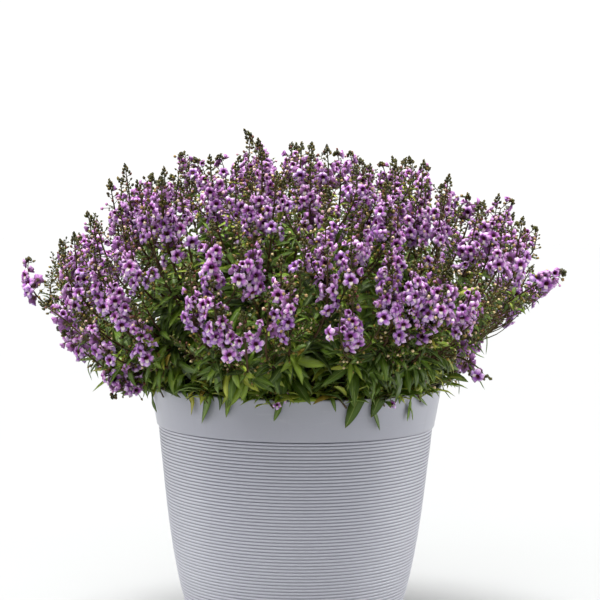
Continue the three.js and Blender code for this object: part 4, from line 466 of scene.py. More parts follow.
# Spots on the front of the mound with few open flowers: the slope across and down from the viewing
# point (times 2000), radius and share of flowers left out.
SPARSE = [
    (-154.7, 100.3, 12, 0.60),
    (-140.7, 98.1, 14, 0.70),
    (-61.3, 23.3, 10, 0.90),
    (-83.3, 21.6, 8, 0.80),
    (-141.2, 20.2, 8, 0.70),
    (-169.1, 22.5, 9, 0.80),
    (-194.9, 55.8, 14, 0.60),
    (-175.1, 34.6, 9, 0.60),
    (168.5, 36.6, 11, 0.60),
    (223.2, 76, 12, 0.80),
    (-112.8, 85.8, 16, 0.70),
    (-85.1, 39.5, 12, 0.45),
    (-57.2, 37.2, 17, 0.80),
    (-56.6, 99.2, 11, 0.40),
    (110.6, 39.3, 12, 0.50),
    (-29, 60.9, 12, 0.40),
    (1, 60.5, 12, 0.40),
    (-196.7, 108.8, 14, 0.50),
    (-196.6, 136.9, 13, 0.70),
    (-220.7, 139.2, 12, 0.60),
    (198, 121.4, 12, 0.50),
    (194.4, 138.5, 12, 0.60),
    (-166.2, 190.9, 12, 0.40),
    (224, 118, 12, 0.60),
    (250, 115.7, 9, 0.40),
    (-0.1, 138.7, 14, 0.65),
    (-28, 161.1, 13, 0.60),
    (28.2, 160.5, 13, 0.65),
    (2.1, 160.8, 10, 0.40),
    (0.4, 180.9, 12, 0.55),
    (-25.7, 181.2, 11, 0.50),
    (29.1, 66.2, 13, 0.45),
    (84.7, 180, 13, 0.75),
    (118.8, 179.6, 12, 0.50),
    (142.9, 179.3, 13, 0.75),
    (169.1, 187.1, 15, 0.60),
    (-196.4, 193.3, 14, 0.45),
    (-180.3, 203.2, 11, 0.40),
    (56.8, 198.5, 12, 0.50),
    (-83.8, 202.1, 13, 0.70),
    (-53.6, 211.8, 18, 0.75),
    (-27.6, 199.4, 11, 0.60),
    (-196.3, 221.6, 10, 0.50),
    (197.8, 217, 10, 0.80),
    (139.6, 99, 12, 0.70),
    (195.8, 108.3, 10, 0.40),
]
# Thin leaves that hang from a flowering branch: branch number, foot on a shoot, two more points, width, tone.
HANGING = [
    (3, [(-193.2, -82.9, 300.8), (-200.1, -86.9, 285.7), (-196, -88.9, 271.5)], 2.3, 0.35),
    (5, [(182.1, -62.8, 330.9), (185, -66.8, 312.4), (184.1, -68.8, 298.9)], 2.6, 0.40),
    (15, [(162, 29.4, 272.7), (166, 25.4, 260.4), (166, 23.4, 248.4)], 3, 0.40),
    (18, [(158.2, -147.6, 301.1), (167.4, -151.6, 288.5), (175.8, -153.6, 274.8)], 2.8, 0.45),
    (18, [(157.4, -155.6, 317.4), (166.3, -159.6, 308.9), (174.5, -161.6, 305.5)], 2.4, 0.50),
]
# Leafy shoots at the rim: foot, middle and top of the stem.
SHOOTS = [
    [(-90.1, -49.9, 231), (-102.3, -56.7, 262), (-116.3, -64.5, 282)],
    [(-57.6, -85.4, 231), (-65.4, -97, 262), (-74.4, -110.3, 282)],
    [(-14.3, -102, 231), (-16.3, -115.9, 262), (-18.5, -131.7, 282)],
    [(33.5, -97.4, 231), (38.1, -110.6, 262), (43.3, -125.8, 282)],
    [(59.1, -84.4, 231), (67.1, -95.8, 262), (76.3, -108.9, 282)],
    [(84.4, -59.1, 231), (95.8, -67.1, 262), (108.9, -76.3, 282)],
    [(102.2, 12.6, 231), (116.1, 14.3, 262), (132, 16.2, 282)],
    [(70.2, 75.3, 231), (79.8, 85.6, 262), (90.7, 97.3, 282)],
    [(0, 103, 231), (0, 117, 262), (0, 133, 282)],
    [(-68.9, 76.5, 231), (-78.3, 86.9, 262), (-89, 98.8, 282)],
    [(-102, 14.3, 231), (-115.9, 16.3, 262), (-131.7, 18.5, 282)],
]

# Leaves that hang over the rim: shoot number, three points from the foot to the tip, width, tone.
DRAPED = [
    (0, [(-141.6, -43.1, 259.9), (-141, -38, 247.4), (-136.3, -46.4, 235.6)], 5, 0.25),
    (1, [(-96.2, -101.6, 264.5), (-97.6, -109.7, 253), (-99.7, -105.1, 240.9)], 5.5, 0.90),
    (1, [(-78.5, -115.8, 275), (-82.8, -121.6, 254.7), (-89.1, -112.8, 234.3)], 10, 0.50),
    (1, [(-85.4, -110.9, 278.2), (-87, -116, 267.3), (-90.7, -116.1, 255.8)], 7, 0.99),
    (1, [(-69.7, -121.4, 266.2), (-70.2, -129.9, 257.8), (-71.7, -127.3, 248.9)], 4.5, 0.15),
    (1, [(-60.2, -126.4, 282.1), (-61.7, -132.7, 262), (-65.4, -129.7, 242.6)], 9, 0.60),
    (2, [(-46.7, -132, 271.5), (-46.5, -137.3, 264.6), (-47.3, -140, 258.8)], 4.5, 0.10),
    (2, [(-12.7, -139.4, 263.4), (-15.4, -146.2, 253.9), (-20.3, -143.5, 241.6)], 6, 0.45),
    (2, [(-7, -147.9, 260.8), (9.7, -144.6, 263.3), (25.6, -146, 261.8)], 6.5, 0.70),
    (3, [(32.2, -136.2, 269.2), (35, -144, 260.7), (37.9, -141.5, 250.7)], 4.5, 0.40),
    (3, [(61.5, -125.7, 272), (54.9, -136.5, 254.4), (46.7, -136.1, 234.9)], 12.5, 0.35),
    (4, [(80.8, -114.2, 270.9), (76.8, -126.1, 258), (71.3, -126.7, 243.8)], 12, 0.30),
    (4, [(71.1, -129, 255.5), (76.2, -123.6, 242.5), (80.3, -118.3, 230.4)], 6, 0.35),
    (5, [(110.3, -98.7, 259.8), (108.2, -97.9, 247.1), (107, -96.6, 236.3)], 4.5, 0.50),
    (5, [(108.5, -99.3, 254), (111.8, -93.1, 244.6), (113.1, -89.3, 236.4)], 3.5, 0.60),
    (5, [(114.1, -81.1, 263.5), (120.8, -84.4, 256.2), (128.2, -70.3, 248.6)], 5.5, 0.55),
    (3, [(47.2, -131.8, 274.5), (52, -135.3, 262.7), (56.8, -135.4, 253.3)], 9, 0.45),
    (0, [(-126.8, -59.3, 265.9), (-119, -88.3, 261.7), (-109.7, -98.6, 257.2)], 6, 0.30),
    (4, [(93.6, -104, 271.7), (97.4, -107.3, 262.6), (103.4, -104.9, 255.6)], 7, 0.40),
    (0, [(-115.9, -78.5, 272.2), (-104.9, -100.1, 263.2), (-102.6, -105.8, 256.3)], 7, 0.55),
    (2, [(-35.5, -135.4, 279.6), (-31.5, -141.5, 269.1), (-25.7, -145.8, 260.3)], 5, 0.20),
    (2, [(0.2, -139.9, 280.5), (4, -144.9, 269.9), (2.3, -147.8, 259)], 7, 0.50),
    (6, [(139.5, -18, 268.2), (147.6, -18, 258.2), (154.8, -18, 249.3)], 3.6, 0.40),
    (10, [(-143.4, -20, 265.1), (-149.3, -20, 257.1), (-152.3, -20, 247)], 4.5, 0.30),
    (6, [(143.7, -14, 271.8), (153.8, -14, 263.8), (163.9, -14, 260.9)], 4.5, 0.50),
]
# Low twigs at the rim: shoot number, three points, number of capsules.
TWIGS = [
    (2, [(-31.9, -132.2, 292.5), (-22.3, -140.2, 278.4), (-11.8, -146.5, 268)], 11),
    (5, [(98, -94.3, 264.9), (120.2, -75.5, 265.8), (145.1, -23.4, 266.8)], 12),
    (5, [(104.8, -86.5, 283.4), (117.6, -79.4, 290.5), (129.9, -68.8, 293.4)], 9),
    (1, [(-70, -116.5, 279), (-62, -127.7, 274.6), (-52.2, -137.4, 270.2)], 6),
]
# Single small flowers at the rim: shoot number, centre, scale.
STRAYS = [
    (2, (-17.2, -151, 258.2), 0.56),
    (2, (-10.3, -148.6, 263.6), 0.58),
    (2, (-5.3, -148.8, 268.4), 0.50),
    (4, (91.2, -121.3, 256.6), 0.56),
    (2, (-48.3, -140.9, 268.8), 0.46),
    (2, (-35.3, -144.7, 279.8), 0.52),
    (1, (-63.6, -134.7, 271.7), 0.46),
    (4, (104.1, -106.6, 265.5), 0.46),
]


def rng_for(*key):
    return np.random.default_rng([20817, *key])


# ---------------------------------------------------------------------------
# Small numeric helpers
# ---------------------------------------------------------------------------
def unit(v):
    v = np.asarray(v, float)
    n = np.linalg.norm(v, axis=-1, keepdims=True)
    return v / np.maximum(n, 1e-9)


def spline(points, step=1.5):
    """A smooth curve through the points, sampled about every step millimetres."""
    p = np.asarray(points, float)
    p = np.vstack([2 * p[0] - p[1], p, 2 * p[-1] - p[-2]])
    out = []
    for i in range(1, len(p) - 2):
        p0, p1, p2, p3 = p[i - 1:i + 3]
        n = max(2, int(np.linalg.norm(p2 - p1) / step))
        # centripetal knots keep the curve from looping where the points are uneven
        d = [max(np.linalg.norm(b - a), 1e-6) ** 0.5 for a, b in ((p0, p1), (p1, p2), (p2, p3))]
        t0, t1, t2, t3 = 0, d[0], d[0] + d[1], sum(d)
        t = np.linspace(t1, t2, n, endpoint=False)[:, None]
        a1 = (t1 - t) / (t1 - t0) * p0 + (t - t0) / (t1 - t0) * p1
        a2 = (t2 - t) / (t2 - t1) * p1 + (t - t1) / (t2 - t1) * p2
        a3 = (t3 - t) / (t3 - t2) * p2 + (t - t2) / (t3 - t2) * p3
        b1 = (t2 - t) / (t2 - t0) * a1 + (t - t0) / (t2 - t0) * a2
        b2 = (t3 - t) / (t3 - t1) * a2 + (t - t1) / (t3 - t1) * a3
        out.append((t2 - t) / (t2 - t1) * b1 + (t - t1) / (t2 - t1) * b2)
    out.append(p[-2][None])
    return np.vstack(out)


class Path:
    """A curve with its own length scale."""

    def __init__(self, points):
        self.p = points
        self.s = np.concatenate([[0], np.cumsum(np.linalg.norm(np.diff(points, axis=0), axis=1))])
        self.length = self.s[-1]

    def at(self, s):
        s = np.asarray(s, float)
        return np.stack([np.interp(s, self.s, self.p[:, k]) for k in range(3)], -1)

    def along(self, s):
        s = np.asarray(s, float)
        return unit(self.at(np.clip(s + 1.5, 0, self.length)) - self.at(np.clip(s - 1.5, 0, self.length)))

    def nearest(self, point):
        return self.s[np.argmin(np.linalg.norm(self.p - point, axis=1))]


def frames_about(direction, angle):
    """Unit vectors at right angles to direction, turned about it by angle."""
    d = unit(direction)
    ref = np.where(np.abs(d[..., 2:3]) < 0.9, [0.0, 0.0, 1.0], [0.0, 1.0, 0.0])
    e1 = unit(np.cross(ref, d))
    e2 = np.cross(d, e1)
    a = np.asarray(angle)[..., None]
    return e1 * np.cos(a) + e2 * np.sin(a)


def basis(forward, up):
    """Rotation matrices with local z along forward and local y near up."""
    f = unit(forward)
    x = unit(np.cross(up, f))
    y = np.cross(f, x)
    return np.stack([x, y, f], -1)


# ---------------------------------------------------------------------------
# Shapes as arrays: vertices, face corners, face sizes, a bake map and a
# four-number attribute on each vertex.
# ---------------------------------------------------------------------------
class Shape:
    def __init__(self, verts, faces, uv, att):
        self.v = np.asarray(verts, float)
        self.size = np.array([len(f) for f in faces])
        self.loop = np.concatenate([np.asarray(f) for f in faces])
        self.uv = np.asarray(uv, float)
        self.att = np.asarray(att, float)
        assert len(self.uv) == len(self.loop) and len(self.att) == len(self.v)


class Soup:
    def __init__(self):
        self.v, self.loop, self.size, self.uv, self.att, self.count = [], [], [], [], [], 0

    made = {}

    def add(self, shape, rot, scale, at, cell=None, cells=4, tone=None):
        """Adds copies of a shape. rot is (k,3,3), scale (k,) or (k,3), at (k,3), cell the square
        of the bake map that each copy uses, tone a number that goes in the attribute's alpha."""
        k = len(at)
        if k == 0:
            return
        tris = int((shape.size - 2).sum())
        Soup.made[tris] = Soup.made.get(tris, 0) + k
        scale = np.asarray(scale, float)
        scale = scale[:, None] * np.ones(3) if scale.ndim == 1 else scale
        v = shape.v[None] * scale[:, None, :]
        v = np.einsum("kij,knj->kni", rot, v) + np.asarray(at)[:, None, :]
        n = len(shape.v)
        self.v.append(v.reshape(-1, 3))
        self.loop.append((shape.loop[None] + (np.arange(k) * n)[:, None] + self.count).ravel())
        self.size.append(np.tile(shape.size, k))
        uv = np.tile(shape.uv, (k, 1)).reshape(k, -1, 2)
        if cell is not None:
            c = np.asarray(cell)
            corner = np.stack([c % cells, c // cells], -1)[:, None, :] / cells
            uv = (uv * 0.94 + 0.03) / cells + corner
        self.uv.append(uv.reshape(-1, 2))
        att = np.tile(shape.att, (k, 1)).reshape(k, n, 4)
        if tone is not None:
            att[:, :, 3] = np.asarray(tone)[:, None]
        self.att.append(att.reshape(-1, 4))
        self.count += k * n

    def add_one(self, shape):
        self.add(shape, np.eye(3)[None], np.ones(1), np.zeros((1, 3)))

    def tube(self, points, radii, sides, att, v_range=(0.0, 1.0), twist=0.0, square=0.0):
        """A closed tube along points. att is (rings, 4), v_range the part of the map it uses."""
        p = np.asarray(points, float)
        n = len(p)
        t = unit(np.gradient(p, axis=0))
        # carry one direction along the curve so that the tube doesn't twist
        e = np.zeros_like(p)
        e[0] = frames_about(t[0], np.array(twist))
        for i in range(1, n):
            w = e[i - 1] - t[i] * (e[i - 1] @ t[i])
            e[i] = w / max(np.linalg.norm(w), 1e-9)
        f = np.cross(t, e)
        a = np.arange(sides) / sides * 2 * np.pi
        r = np.asarray(radii, float)[:, None, None]
        ring = p[:, None] + r * (e[:, None] * np.cos(a)[None, :, None] + f[:, None] * np.sin(a)[None, :, None])
        v = ring.reshape(-1, 3)
        faces, uv = [], []
        vv = np.linspace(*v_range, n)
        for i in range(n - 1):
            for j in range(sides):
                k = (j + 1) % sides
                faces.append([i * sides + j, i * sides + k, (i + 1) * sides + k, (i + 1) * sides + j])
                u0, u1 = j / sides, (j + 1) / sides
                uv += [(u0, vv[i]), (u1, vv[i]), (u1, vv[i + 1]), (u0, vv[i + 1])]
        faces.append(list(range(sides))[::-1])
        uv += [((sides - 1 - j) / sides, vv[0]) for j in range(sides)]
        faces.append([(n - 1) * sides + j for j in range(sides)])
        uv += [(j / sides, vv[-1]) for j in range(sides)]
        self.add_one(Shape(v, faces, uv, np.repeat(np.asarray(att, float), sides, 0)))

    def build(self, name, material, smooth=True):
        v = np.concatenate(self.v) * MM
        loop = np.concatenate(self.loop).astype(np.int32)
        size = np.concatenate(self.size).astype(np.int32)
        me = bpy.data.meshes.new(name)
        me.vertices.add(len(v))
        me.vertices.foreach_set("co", v.astype(np.float32).ravel())
        me.loops.add(len(loop))
        me.loops.foreach_set("vertex_index", loop)
        me.polygons.add(len(size))
        start = np.concatenate([[0], np.cumsum(size)[:-1]]).astype(np.int32)
        me.polygons.foreach_set("loop_start", start)
        me.polygons.foreach_set("loop_total", size)
        me.update(calc_edges=True)
        layer = me.uv_layers.new(name="OFBake")
        layer.uv.foreach_set("vector", np.concatenate(self.uv).astype(np.float32).ravel())
        att = me.color_attributes.new("Pattern", "FLOAT_COLOR", "POINT")
        att.data.foreach_set("color", np.concatenate(self.att).astype(np.float32).ravel())
        me.polygons.foreach_set("use_smooth", np.full(len(size), smooth))
        me.materials.append(material)
        me.validate()
        me.update()
        ob = bpy.data.objects.new(name, me)
        bpy.context.scene.collection.objects.link(ob)
        return ob

    def __len__(self):
        return self.count


# ---------------------------------------------------------------------------
# Node materials
# ---------------------------------------------------------------------------
def lin(r, g, b):
    f = lambda c: c / 12.92 if c <= 0.04045 else ((c + 0.055) / 1.055) ** 2.4
    return (f(r / 255), f(g / 255), f(b / 255), 1.0)


class Nodes:
    def __init__(self, name):
        self.mat = bpy.data.materials.new(name)
        self.mat.use_nodes = True
        self.nt = self.mat.node_tree
        self.nt.nodes.clear()
        self.out = self.new("ShaderNodeOutputMaterial")

    def new(self, kind, **props):
        n = self.nt.nodes.new(kind)
        for k, v in props.items():
            setattr(n, k, v)
        return n

    def link(self, a, b):
        self.nt.links.new(a, b)

    def put(self, socket, value):
        if isinstance(value, bpy.types.NodeSocket):
            self.link(value, socket)
        else:
            socket.default_value = value

    def math(self, op, a, b=0.0, c=0.0, clamp=False):
        n = self.new("ShaderNodeMath", operation=op, use_clamp=clamp)
        for s, v in zip(n.inputs, (a, b, c)):
            self.put(s, v)
        return n.outputs[0]

    def mix(self, fac, a, b, mode="MIX"):
        n = self.new("ShaderNodeMix", data_type="RGBA", blend_type=mode)
        self.put(n.inputs[0], fac)
        self.put(n.inputs[6], a)
        self.put(n.inputs[7], b)
        return n.outputs[2]

    def ramp(self, fac, stops, kind="LINEAR"):
        n = self.new("ShaderNodeValToRGB")
        n.color_ramp.interpolation = kind
        e = n.color_ramp.elements
        while len(e) < len(stops):
            e.new(0.5)
        for x, (pos, col) in zip(e, sorted(stops, key=lambda s: s[0])):
            x.position, x.color = pos, col
        self.put(n.inputs[0], fac)
        return n.outputs[0]

    def step(self, value, low, high):
        n = self.new("ShaderNodeMapRange", interpolation_type="SMOOTHSTEP")
        self.put(n.inputs[0], value)
        n.inputs[1].default_value, n.inputs[2].default_value = low, high
        return n.outputs[0]

    def noise(self, vector, scale, detail=3.0, rough=0.55, stretch=None):
        if stretch is not None:
            m = self.new("ShaderNodeMapping")
            self.put(m.inputs["Vector"], vector)
            m.inputs["Scale"].default_value = stretch
            vector = m.outputs[0]
        n = self.new("ShaderNodeTexNoise")
        self.put(n.inputs["Vector"], vector)
        n.inputs["Scale"].default_value = scale
        n.inputs["Detail"].default_value = detail
        n.inputs["Roughness"].default_value = rough
        return n.outputs["Fac"]

    def uv(self):
        return self.new("ShaderNodeUVMap", uv_map="OFBake").outputs[0]

    def position(self):
        return self.new("ShaderNodeTexCoord").outputs["Object"]

    def pattern(self):
        a = self.new("ShaderNodeAttribute", attribute_name="Pattern")
        s = self.new("ShaderNodeSeparateColor")
        self.link(a.outputs["Color"], s.inputs[0])
        return s.outputs[0], s.outputs[1], s.outputs[2], a.outputs["Alpha"]

    def bump(self, height, strength, distance):
        n = self.new("ShaderNodeBump")
        n.inputs["Strength"].default_value = strength
        n.inputs["Distance"].default_value = distance
        self.put(n.inputs["Height"], height)
        return n.outputs[0]

    def finish(self, color, rough, normal=None, ior=1.45, translucent=0.0, glow=None, **more):
        b = self.new("ShaderNodeBsdfPrincipled")
        self.put(b.inputs["Base Color"], color)
        self.put(b.inputs["Roughness"], rough)
        b.inputs["IOR"].default_value = ior
        for k, v in more.items():
            self.put(b.inputs[k.replace("_", " ")], v)
        if normal is not None:
            self.link(normal, b.inputs["Normal"])
        shader = b.outputs[0]
        if translucent:
            t = self.new("ShaderNodeBsdfTranslucent")
            self.put(t.inputs["Color"], glow if glow is not None else color)
            m = self.new("ShaderNodeMixShader")
            m.inputs[0].default_value = translucent
            self.link(shader, m.inputs[1])
            self.link(t.outputs[0], m.inputs[2])
            shader = m.outputs[0]
        self.link(shader, self.out.inputs[0])
        return self.mat


def petal_material():
    """Mauve petals: maroon throat, pale spot under it, paler rims topped by a painted highlight, painted shade in the
    folds between the lobes, a painted highlight down each lobe, fine radial veins.
    Pattern: how far from the throat to the rim and over to the back, how low on the flower,
    freshness, shade."""
    m = Nodes("petals")
    t, low, fresh, shade = m.pattern()
    uv = m.uv()
    # in both ramps the near-white stop at 0.485 is a painted highlight along the petal rims
    color = m.ramp(t, [
        (0.00, lin(60, 14, 22)), (0.08, lin(84, 22, 36)), (0.155, lin(104, 32, 56)),
        (0.185, lin(120, 42, 118)), (0.24, lin(174, 86, 180)), (0.34, lin(214, 122, 214)), (0.43, lin(244, 172, 238)),
        (0.485, lin(255, 242, 254)), (0.52, lin(222, 164, 222)), (0.76, lin(176, 112, 178)),
        (0.83, lin(96, 72, 56)), (1.0, lin(70, 62, 34)),
    ])
    faded = m.ramp(t, [
        (0.00, lin(64, 18, 26)), (0.08, lin(90, 30, 40)), (0.155, lin(112, 48, 70)),
        (0.185, lin(118, 60, 144)), (0.24, lin(164, 102, 202)), (0.34, lin(200, 142, 234)), (0.43, lin(230, 190, 252)),
        (0.485, lin(255, 246, 254)), (0.52, lin(222, 172, 222)), (0.76, lin(180, 122, 182)),
        (0.83, lin(110, 84, 62)), (1.0, lin(78, 72, 38)),
    ])
    color = m.mix(fresh, faded, color)
    # the lower lobe is bluer and paler, the upper ones darker round the throat
    front = m.math("MULTIPLY", m.step(t, 0.20, 0.26), m.math("SUBTRACT", 1.0, m.step(t, 0.52, 0.6)))
    color = m.mix(m.math("MULTIPLY", m.math("MULTIPLY", m.step(low, 0.72, 0.95), front), 0.6), color, lin(196, 166, 232))
    dark = m.math("MULTIPLY", m.math("SUBTRACT", 1.0, m.step(low, 0.15, 0.5)), m.math("MULTIPLY", m.step(t, 0.17, 0.21), m.math("SUBTRACT", 1.0, m.step(t, 0.26, 0.38))))
    color = m.mix(m.math("MULTIPLY", dark, 0.55), color, lin(108, 44, 118))
    veins = m.noise(uv, 1.0, 2.0, 0.6, stretch=(150.0, 16.0, 1.0))
    on_petal = m.math("MULTIPLY", m.step(t, 0.19, 0.25), m.math("SUBTRACT", 1.0, m.step(t, 0.76, 0.80)))
    vein_fac = m.math("MULTIPLY", m.math("MULTIPLY", m.step(veins, 0.48, 0.66), 0.42), on_petal)
    color = m.mix(vein_fac, color, lin(128, 56, 150))
    # painted shade in the folds between the five lobes
    where = m.new("ShaderNodeSeparateXYZ")
    m.link(uv, where.inputs[0])
    turn = m.math("MULTIPLY", m.math("SUBTRACT", m.math("FRACT", m.math("MULTIPLY", where.outputs[0], 4.0)), 0.03), 5.0 / 0.94)
    off = m.math("ABSOLUTE", m.math("SUBTRACT", m.math("FRACT", turn), 0.5))
    gap = m.math("MULTIPLY", m.step(off, 0.26, 0.5), m.math("MULTIPLY", m.step(t, 0.18, 0.26), m.math("SUBTRACT", 1.0, m.step(t, 0.60, 0.78))))
    color = m.mix(m.math("MULTIPLY", gap, 0.72), color, lin(92, 34, 104))
    # painted highlight down the middle of each lobe
    crest = m.math("MULTIPLY", m.math("SUBTRACT", 1.0, m.step(off, 0.0, 0.26)), m.math("MULTIPLY", m.step(t, 0.30, 0.42), m.math("SUBTRACT", 1.0, m.step(t, 0.50, 0.53))))
    color = m.mix(m.math("MULTIPLY", crest, 0.55), color, lin(253, 228, 251))
    # the pale lip under the throat, with a brown line above it
    line = m.math("MULTIPLY", m.step(low, 0.86, 0.93), m.math("MULTIPLY", m.step(t, 0.10, 0.14), m.math("SUBTRACT", 1.0, m.step(t, 0.16, 0.185))))
    color = m.mix(m.math("MULTIPLY", line, 0.7), color, lin(150, 104, 56))
    spot = m.math("MULTIPLY", m.step(low, 0.86, 0.94), m.math("MULTIPLY", m.step(t, 0.16, 0.18), m.math("SUBTRACT", 1.0, m.step(t, 0.29, 0.34))))
    color = m.mix(m.math("MULTIPLY", spot, 0.96), color, lin(248, 238, 226))
    mottle = m.noise(uv, 34.0, 3.0)
    color = m.mix(m.math("MULTIPLY", m.step(mottle, 0.45, 0.70), 0.14), color, lin(246, 216, 246))
    color = m.mix(1.0, color, m.ramp(shade, [(0.0, (0.50, 0.38, 0.56, 1)), (0.45, (0.84, 0.76, 0.87, 1)), (0.8, (1.0, 1.0, 1.0, 1))]), "MULTIPLY")
    rough = m.math("ADD", 0.40, m.math("MULTIPLY", mottle, 0.22))
    normal = m.bump(m.math("ADD", veins, m.math("MULTIPLY", mottle, 0.6)), 0.35, 0.0004)
    return m.finish(color, rough, normal, ior=1.36, translucent=0.14)


def leaf_material():
    """Narrow leaves: paler midrib and side veins, darker rims, some of them olive or yellowing.
    Pattern: across the leaf (0.5 is the midrib), along it, underside, shade."""
    m = Nodes("leaves")
    across, along, under, shade = m.pattern()
    uv = m.uv()
    top = m.ramp(shade, [
        (0.0, lin(44, 62, 13)), (0.3, lin(70, 97, 19)), (0.55, lin(104, 137, 31)),
        (0.75, lin(158, 182, 54)), (0.88, lin(198, 200, 74)), (0.97, lin(176, 142, 46)), (1.0, lin(184, 122, 38)),
    ])
    mottle = m.noise(uv, 26.0, 4.0)
    top = m.mix(m.math("MULTIPLY", m.step(mottle, 0.40, 0.75), 0.35), top, lin(96, 118, 44))
    mid = m.math("ABSOLUTE", m.math("SUBTRACT", across, 0.5))
    rib = m.math("SUBTRACT", 1.0, m.step(mid, 0.015, 0.06))
    side = m.math("FRACT", m.math("ADD", m.math("MULTIPLY", along, 11.0), m.math("MULTIPLY", mid, -7.0)))
    side = m.math("SUBTRACT", 1.0, m.step(m.math("ABSOLUTE", m.math("SUBTRACT", side, 0.5)), 0.03, 0.14))
    color = m.mix(m.math("MULTIPLY", side, 0.26), top, lin(118, 144, 60))
    color = m.mix(m.math("MULTIPLY", rib, 0.62), color, lin(150, 168, 84))
    color = m.mix(m.math("MULTIPLY", m.step(mid, 0.40, 0.5), 0.35), color, lin(38, 52, 18))
    color = m.mix(m.math("MULTIPLY", under, 0.62), color, lin(124, 144, 76))
    tip = m.math("MULTIPLY", m.step(along, 0.86, 1.0), 0.30)
    color = m.mix(tip, color, lin(110, 86, 44))
    rough = m.math("ADD", 0.26, m.math("MULTIPLY", mottle, 0.26))
    height = m.math("ADD", m.math("MULTIPLY", rib, -0.8), m.math("ADD", m.math("MULTIPLY", side, -0.4), m.math("MULTIPLY", mottle, 0.3)))
    normal = m.bump(height, 0.5, 0.0006)
    return m.finish(color, rough, normal, translucent=0.14, glow=m.mix(0.5, color, lin(128, 168, 30)))


def bud_material():
    """Buds and seed capsules. Pattern: colour of the copy in three numbers, and how far it is
    from its foot to its tip."""
    m = Nodes("buds_and_capsules")
    att = m.new("ShaderNodeAttribute", attribute_name="Pattern")
    end = att.outputs["Alpha"]
    uv = m.uv()
    mottle = m.noise(uv, 42.0, 3.0)
    color = att.outputs["Color"]
    color = m.mix(m.math("MULTIPLY", m.math("SUBTRACT", 1.0, m.step(end, 0.10, 0.42)), 0.75), color, lin(72, 78, 24))
    color = m.mix(m.math("MULTIPLY", m.step(mottle, 0.42, 0.72), 0.30), color, lin(104, 88, 50))
    color = m.mix(m.math("MULTIPLY", m.step(end, 0.88, 1.0), 0.35), color, lin(128, 92, 70))
    rough = m.math("ADD", 0.22, m.math("MULTIPLY", mottle, 0.20))
    normal = m.bump(mottle, 0.4, 0.0004)
    return m.finish(color, rough, normal, ior=1.4, translucent=0.05)


def stem_material():
    """Stems and flower stalks: brown and woody below, red-brown, then green above.
    Pattern: woodiness, redness, unused, shade."""
    m = Nodes("stems")
    wood, red, _, shade = m.pattern()
    uv = m.uv()
    green = m.mix(shade, lin(50, 50, 13), lin(86, 83, 28))
    color = m.mix(m.math("MULTIPLY", red, 0.9), green, lin(74, 40, 32))
    bark = m.noise(uv, 1.0, 4.0, 0.65, stretch=(9.0, 60.0, 1.0))
    woody = m.mix(m.step(bark, 0.35, 0.65), lin(52, 38, 25), lin(98, 76, 50))
    color = m.mix(m.math("MULTIPLY", wood, 0.9), color, woody)
    streak = m.noise(uv, 1.0, 2.0, 0.5, stretch=(26.0, 7.0, 1.0))
    color = m.mix(m.math("MULTIPLY", m.step(streak, 0.5, 0.7), 0.3), color, lin(64, 58, 34))
    rough = m.math("ADD", 0.42, m.math("MULTIPLY", bark, 0.25))
    normal = m.bump(m.math("ADD", bark, m.math("MULTIPLY", streak, 0.5)), 0.5, 0.0005)
    return m.finish(color, rough, normal, ior=1.33)


def pot_material():
    """Pale grey moulded plastic: a faint mottle, painted shade in the grooves that deepens towards the band, light
    scuffs on the band, painted shade over the band, and painted light that pales the wall towards the foot.
    Pattern: depth in a groove, band, inside, how far down the wall."""
    m = Nodes("pot_plastic")
    groove, band, inside, low = m.pattern()
    p = m.position()
    base = lin(182, 183, 194)
    cloud = m.noise(p, 9.0, 4.0, 0.6)
    color = m.mix(m.math("MULTIPLY", m.step(cloud, 0.35, 0.7), 0.5), base, lin(176, 177, 189))
    speck = m.noise(p, 900.0, 2.0, 0.5)
    color = m.mix(m.math("MULTIPLY", m.step(speck, 0.62, 0.72), 0.10), color, lin(128, 128, 138))
    scuff = m.noise(p, 1.0, 3.0, 0.6, stretch=(30.0, 30.0, 260.0))
    color = m.mix(m.math("MULTIPLY", m.math("MULTIPLY", m.step(scuff, 0.60, 0.74), 0.22), band), color, lin(204, 204, 210))
    streak = m.noise(p, 1.0, 3.0, 0.6, stretch=(70.0, 70.0, 6.0))
    color = m.mix(m.math("MULTIPLY", m.step(streak, 0.56, 0.78), 0.12), color, lin(150, 147, 151))
    # painted light: the wall grows paler towards the foot, where light bounces up from the floor
    color = m.mix(m.math("MULTIPLY", low, 0.50), color, lin(198, 199, 209))
    # painted shade in the grooves, deepest near the band and lighter towards the foot
    groove_shade = m.math("SUBTRACT", 0.82, m.math("MULTIPLY", low, 0.30))
    color = m.mix(m.math("MULTIPLY", m.step(groove, 0.15, 0.95), groove_shade), color, lin(74, 74, 86))
    # painted shade: the band is darkened as if shadowed by the overhanging plant
    color = m.mix(m.math("MULTIPLY", band, 0.9), color, m.mix(1.0, color, (0.735, 0.735, 0.74, 1), "MULTIPLY"))
    color = m.mix(m.math("MULTIPLY", inside, 0.55), color, lin(120, 112, 104))
    rough = m.math("ADD", 0.31, m.math("ADD", m.math("MULTIPLY", cloud, 0.10), m.math("MULTIPLY", groove, 0.18)))
    grain = m.noise(p, 1500.0, 2.0, 0.5)
    normal = m.bump(m.math("ADD", m.math("MULTIPLY", grain, 0.35), m.math("MULTIPLY", scuff, 0.65)), 0.22, 0.0003)
    return m.finish(color, rough, normal, ior=1.56)


